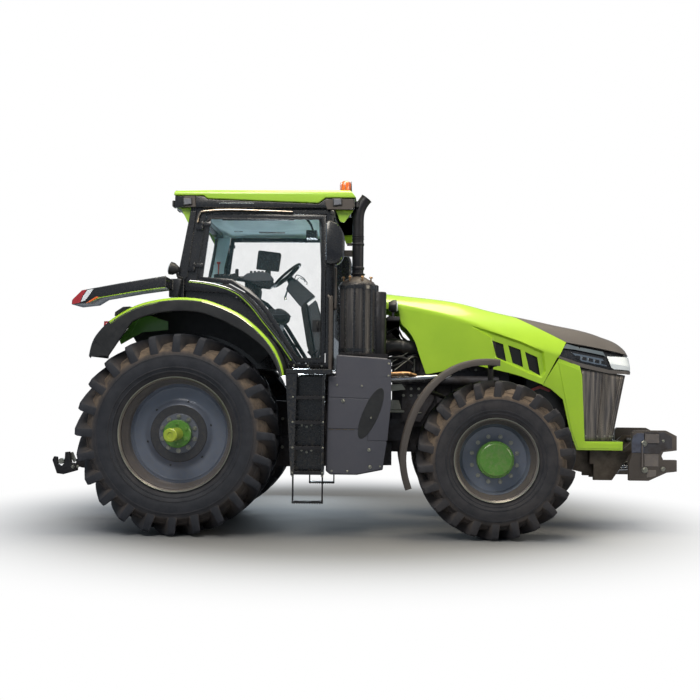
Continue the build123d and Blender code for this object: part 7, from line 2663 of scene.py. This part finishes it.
# --- Linkages -------------------------------------------------------------------------------------
@dataclass
class Linkages:
    """The rear three-point linkage and the front linkage."""

    stance: Stance

    def build(self) -> None:
        """Dresses the links' solids and adds their pins, rams and bolts."""
        soften("lower_links", DARK_IRON, 8, 2)
        soften("lift_rockshaft", DARK_IRON, 8, 2)
        soften("lift_rods", STEEL, 4, 2)
        soften("front_linkage_frame", FRAME_GREY, 9, 2)
        soften("front_linkage_arms", GUARD_GREY, 12, 3)
        self._rear_details()
        self._front_details()

    def _rear_details(self) -> None:
        """Hook latches and balls on the links, threads on the lift rods, and the drawbar's fittings."""
        s = self.stance
        latch, threads, hitch = Shape(), Shape(), Shape()
        for sign in (1, -1):
            latch.rod(*s.rear((-1355, sign * 405, 658), (-1355, sign * 475, 658)), 30)
            latch.prism(s.rear((-1300, 740), (-1250, 752), (-1210, 660), (-1240, 640)), sign * 408,
                        sign * 398)
            latch.bolt((s.rear_x - 1230, sign * 470, 600), (0, sign, 0), 15)
            latch.bolt((s.rear_x - 1180, sign * 466, 604), (0, sign, 0), 12)
            for k in range(9):
                threads.tube(s.rear((-840, sign * 470, 860 + 12 * k), (-840, sign * 470, 866 + 12 * k)), 24,
                             20)
            threads.tube(s.rear((-840, sign * 470, 968), (-840, sign * 470, 1010)), 38, 6)
        hitch.rod(*s.rear((-385, 0, 760), (-330, 0, 760)), 62)
        for u, v in (on_circle(0, 760, 19, a) for a in spread(6)):
            hitch.rod(*s.rear((-418, u, v), (-340, u, v)), 4.5, sides=8)
        for k in range(4):
            y, z = (-150 + 100 * k), 1020
            hitch.tube(s.rear((-328, y, z), (-372, y, z), (-380, y, z)), [26, 26, 20], 20)
        latch.make("hook_latches", "lower_link_pair", ZINC, edge=2)
        threads.make("lift_rod_threads", "lift_rod_pair", ZINC, edge=1)
        hitch.make("rear_couplers", "tractor", ZINC, edge=2)

    def _front_details(self) -> None:
        """Pins, rams and plates of the front linkage."""
        s = self.stance
        plates, panels, ribs, pins, rams, eyes, rods = (Shape() for _ in range(7))
        for sign in (1, -1):
            plates.prism(s.front((1594, 1030), (1800, 1030), (1880, 985), (1880, 860), (1770, 838),
                                 (1760, 806), (1594, 806)), sign * 456, sign * 466)
            panels.prism(s.front((1466, 816), (1466, 940), (1486, 990), (1520, 1016), (1594, 1016),
                                 (1594, 816)), sign * 462, sign * 470)
            panels.prism(s.front((1455, 534), (1455, 649), (1536, 649), (1536, 534)), sign * 456, sign * 463)
            ribs.prism(s.front((1600, 916), (1600, 1012), (1746, 1006), (1746, 916)), sign * 472, sign * 479)
            ribs.prism(s.front((1596, 676), (1596, 800), (1740, 800), (1740, 676)), sign * 458, sign * 468)
            ribs.prism(s.front((1620, 560), (1620, 640), (1716, 640), (1716, 580)), sign * 458, sign * 465)
            ribs.rod(*s.front((1574, sign * 474, 664), (1574, sign * 474, 912)), 9)
            for x, z, size in ((1590, 916, 30), (1600, 640, 26), (1790, 940, 13), (1786, 652, 20)):
                pins.bolt((s.front_x + x, sign * 464, z), (0, sign, 0), size)
                pins.bolt((s.front_x + x, sign * 396, z), (0, -sign, 0), size)
            rams.tube(s.front((1150, sign * 130, 600), (1178, sign * 130, 603), (1190, sign * 130, 604),
                              (1400, sign * 130, 622)), [30, 34, 42, 42], 24)
            rods.tube([(s.front_x + 1392 + 26 * k, sign * 130, 621.5 + 2.3 * k) for k in range(8)], 20, 20)
            eyes.tube(s.front((1600, sign * 104, 640), (1600, sign * 156, 640)), 36, 24)
            rams.tube(s.front((1150, sign * 102, 600), (1150, sign * 158, 600)), 38, 24)
        plates.make("jaw_plates", "front_lift_arms", CAST, edge=4)
        pins.make("jaw_pins", "front_lift_arms", ZINC, edge=2)
        panels.make("jaw_panels", "front_lift_arms", JAW_BLUE, edge=3)
        ribs.make("jaw_ribs", "front_lift_arms", RIM_PAINT, edge=3)
        rams.make("front_rams", "tractor", STEEL, edge=2)
        eyes.make("front_ram_eyes", "front_lift_arms", DARK_IRON, edge=2)
        sliding = rods.make("front_ram_rods", "", STEEL)
        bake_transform(sliding)


# --- Studio ---------------------------------------------------------------------------------------
@dataclass(frozen=True)
class SoftLamp:
    """A large round lamp, in metres and watts, aimed at a point."""

    name: str
    place: Point
    aim: Point
    size: float
    power: float
    colour: Colour

    def build(self) -> None:
        """Hangs the lamp."""
        data = bpy.data.lights.new(self.name, "AREA")
        data.shape = "DISK"
        data.size = self.size
        data.energy = self.power
        data.color = self.colour
        lamp = bpy.data.objects.new(self.name, data)
        lamp.location = self.place
        lamp.rotation_euler = (Vector(self.aim) - Vector(self.place)).to_track_quat("-Z", "Y").to_euler()
        bpy.context.scene.collection.objects.link(lamp)


WARM: Colour = (1.0, 0.88, 0.68)


@dataclass
class Studio:
    """The camera, the pale floor with a painted shadow under the machine, and soft lights. The camera is placed
    in millimetres and degrees.
    """

    place: Point = (259.0, -11630.0, 1418.0)
    focal: float = 55.2
    turn: float = 2.0
    pitch: float = 2.2
    roll: float = 0.57
    sensor: float = 36.0
    floor_reach: float = 60.0
    # the painted shadow on the floor: its middle, its reach, and its dark and pale colours
    shadow_shift: Point = (0.06, -0.14, 0.0)
    shadow_scale: Point = (1 / 4.9, 1 / 5.6, 1.0)
    paper_dark: Colour = (0.115, 0.116, 0.118)
    paper_pale: Colour = (0.4, 0.43, 0.48)
    sky_level: float = 0.36
    sky_tint: Colour = (0.8, 0.9, 1.0)
    lamps: tuple[SoftLamp, ...] = (
        SoftLamp("key", (-2.5, -6.5, 8.0), (0.2, 0.0, 1.4), 4.5, 560.0, (1.0, 0.94, 0.84)),
        SoftLamp("top", (0.8, -0.5, 8.5), (0.3, 0.0, 1.0), 5.0, 700.0, WARM),
        SoftLamp("front", (8.0, -4.0, 4.0), (1.0, 0.0, 1.2), 3.5, 190.0, WARM),
        SoftLamp("back", (-3.0, 8.5, 6.0), (0.0, 0.0, 1.6), 6.0, 200.0, (0.85, 0.92, 1.0)),
        SoftLamp("lining", (-0.9, 3.6, 1.1), (-0.9, -0.4, 3.2), 1.2, 90.0, (0.8, 0.92, 1.0)))

    def build(self) -> None:
        """Sets up the camera, the floor, the lights and the world."""
        self._camera()
        self._floor()
        for lamp in self.lamps:
            lamp.build()
        self._world()
        bpy.context.scene.view_settings.view_transform = "Standard"

    def _camera(self) -> None:
        """The camera, level with the wheels' tops and a long way off."""
        turn, pitch, roll = (math.radians(a) for a in (self.turn, self.pitch, self.roll))
        ahead = Vector((-math.cos(pitch) * math.sin(turn), math.cos(pitch) * math.cos(turn), math.sin(pitch)))
        right = Vector((math.cos(turn), math.sin(turn), 0.0))
        up = right.cross(ahead)
        right, up = right * math.cos(roll) + up * math.sin(roll), up * math.cos(roll) - right * math.sin(roll)
        data = bpy.data.cameras.new("camera")
        data.lens = self.focal
        data.sensor_width = self.sensor
        data.clip_end = 200.0
        camera = bpy.data.objects.new("camera", data)
        rows = Matrix((right, up, -ahead)).transposed().to_4x4()
        camera.matrix_world = Matrix.Translation(Vector(self.place) * MM) @ rows
        bpy.context.scene.collection.objects.link(camera)
        bpy.context.scene.camera = camera

    def _floor(self) -> None:
        """A wide pale floor that keeps the shadow, carries a painted shadow under the machine, and is white to
        the camera.
        """
        bm = bmesh.new()
        bmesh.ops.create_grid(bm, x_segments=1, y_segments=1, size=self.floor_reach)
        mesh = bpy.data.meshes.new("floor")
        bm.to_mesh(mesh)
        bm.free()
        floor = bpy.data.objects.new("floor", mesh)
        bpy.context.scene.collection.objects.link(floor)
        mesh.materials.append(self._paper())

    def _paper(self) -> bpy.types.Material:
        """The floor's paper: a painted shadow, grey under the machine and paler further out, white to the
        camera beyond.

        Returns:
            The material.
        """
        graph = Graph("floor_paper")
        spot = graph.node("ShaderNodeMapping")
        spot.inputs["Location"].default_value = self.shadow_shift
        spot.inputs["Scale"].default_value = self.shadow_scale
        graph.join(graph.coords, spot.inputs["Vector"])
        length = graph.node("ShaderNodeVectorMath", operation="LENGTH")
        graph.join(spot.outputs["Vector"], length.inputs[0])
        away = length.outputs["Value"]
        # painted shadow: the floor's colour is dark under the machine and paler further out
        graph.put("Base Color", graph.mix(graph.span(away, 0.3, 1.0, ease=True), self.paper_dark,
                                          self.paper_pale))
        graph.put("Roughness", graph.span(graph.noise(3.0), 0.0, 1.0, 0.86, 0.92))
        seen = graph.node("ShaderNodeLightPath").outputs["Is Camera Ray"]
        white = graph.node("ShaderNodeEmission").outputs[0]
        mixed = graph.node("ShaderNodeMixShader")
        graph.join(graph.product(graph.span(away, 0.5, 1.0, ease=True), seen), mixed.inputs["Fac"])
        graph.join(graph.shader.outputs[0], mixed.inputs[1])
        graph.join(white, mixed.inputs[2])
        graph.join(mixed.outputs[0], graph.tree.nodes["Material Output"].inputs["Surface"])
        return graph.result

    def _world(self) -> None:
        """An even grey sky that the camera and glass see as white."""
        world = bpy.data.worlds.new("sky")
        bpy.context.scene.world = world
        world.use_nodes = True
        tree = world.node_tree
        shade = tree.nodes["Background"]
        tint = tree.nodes.new("ShaderNodeMix")
        tint.data_type = "RGBA"
        tint.inputs[6].default_value = (*self.sky_tint, 1.0)
        tint.inputs[7].default_value = (1.0, 1.0, 1.0, 1.0)
        seen = tree.nodes.new("ShaderNodeLightPath")
        share = tree.nodes.new("ShaderNodeMath")
        share.operation = "MAXIMUM"
        level = tree.nodes.new("ShaderNodeMapRange")
        level.inputs["To Min"].default_value = self.sky_level
        level.inputs["To Max"].default_value = 1.0
        tree.links.new(seen.outputs["Is Camera Ray"], share.inputs[0])
        tree.links.new(seen.outputs["Is Transmission Ray"], share.inputs[1])
        tree.links.new(share.outputs[0], level.inputs["Value"])
        tree.links.new(share.outputs[0], tint.inputs["Factor"])
        tree.links.new(tint.outputs[2], shade.inputs["Color"])
        tree.links.new(level.outputs["Result"], shade.inputs["Strength"])


def main() -> None:
    """Builds the tractor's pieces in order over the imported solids, and reports each."""
    logging.basicConfig(level=logging.INFO, format="%(message)s")
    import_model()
    stance = Stance.read()
    Studio().build()
    builders: list[tuple[str, object]] = []
    for side in Side:
        builders += [(f"rear wheel {side.word}", rear_wheel(stance, side)),
                     (f"front wheel {side.word}", front_wheel(stance, side))]
    builders += [(f"front mudguard {side.word}", FrontMudguard(stance, side)) for side in Side]
    builders += [("bonnet", Bonnet(stance)), ("nose", Nose(stance)), ("rear wings", RearWings(stance)),
                 ("cab shell", CabShell(stance)), ("cabin", Cabin(stance)), ("side gear", SideGear(stance)),
                 ("drive line", DriveLine(stance)), ("linkages", Linkages(stance))]
    for name, builder in builders:
        builder.build()
        LOG.info("made the %s", name)


if __name__ == "__main__":
    main()
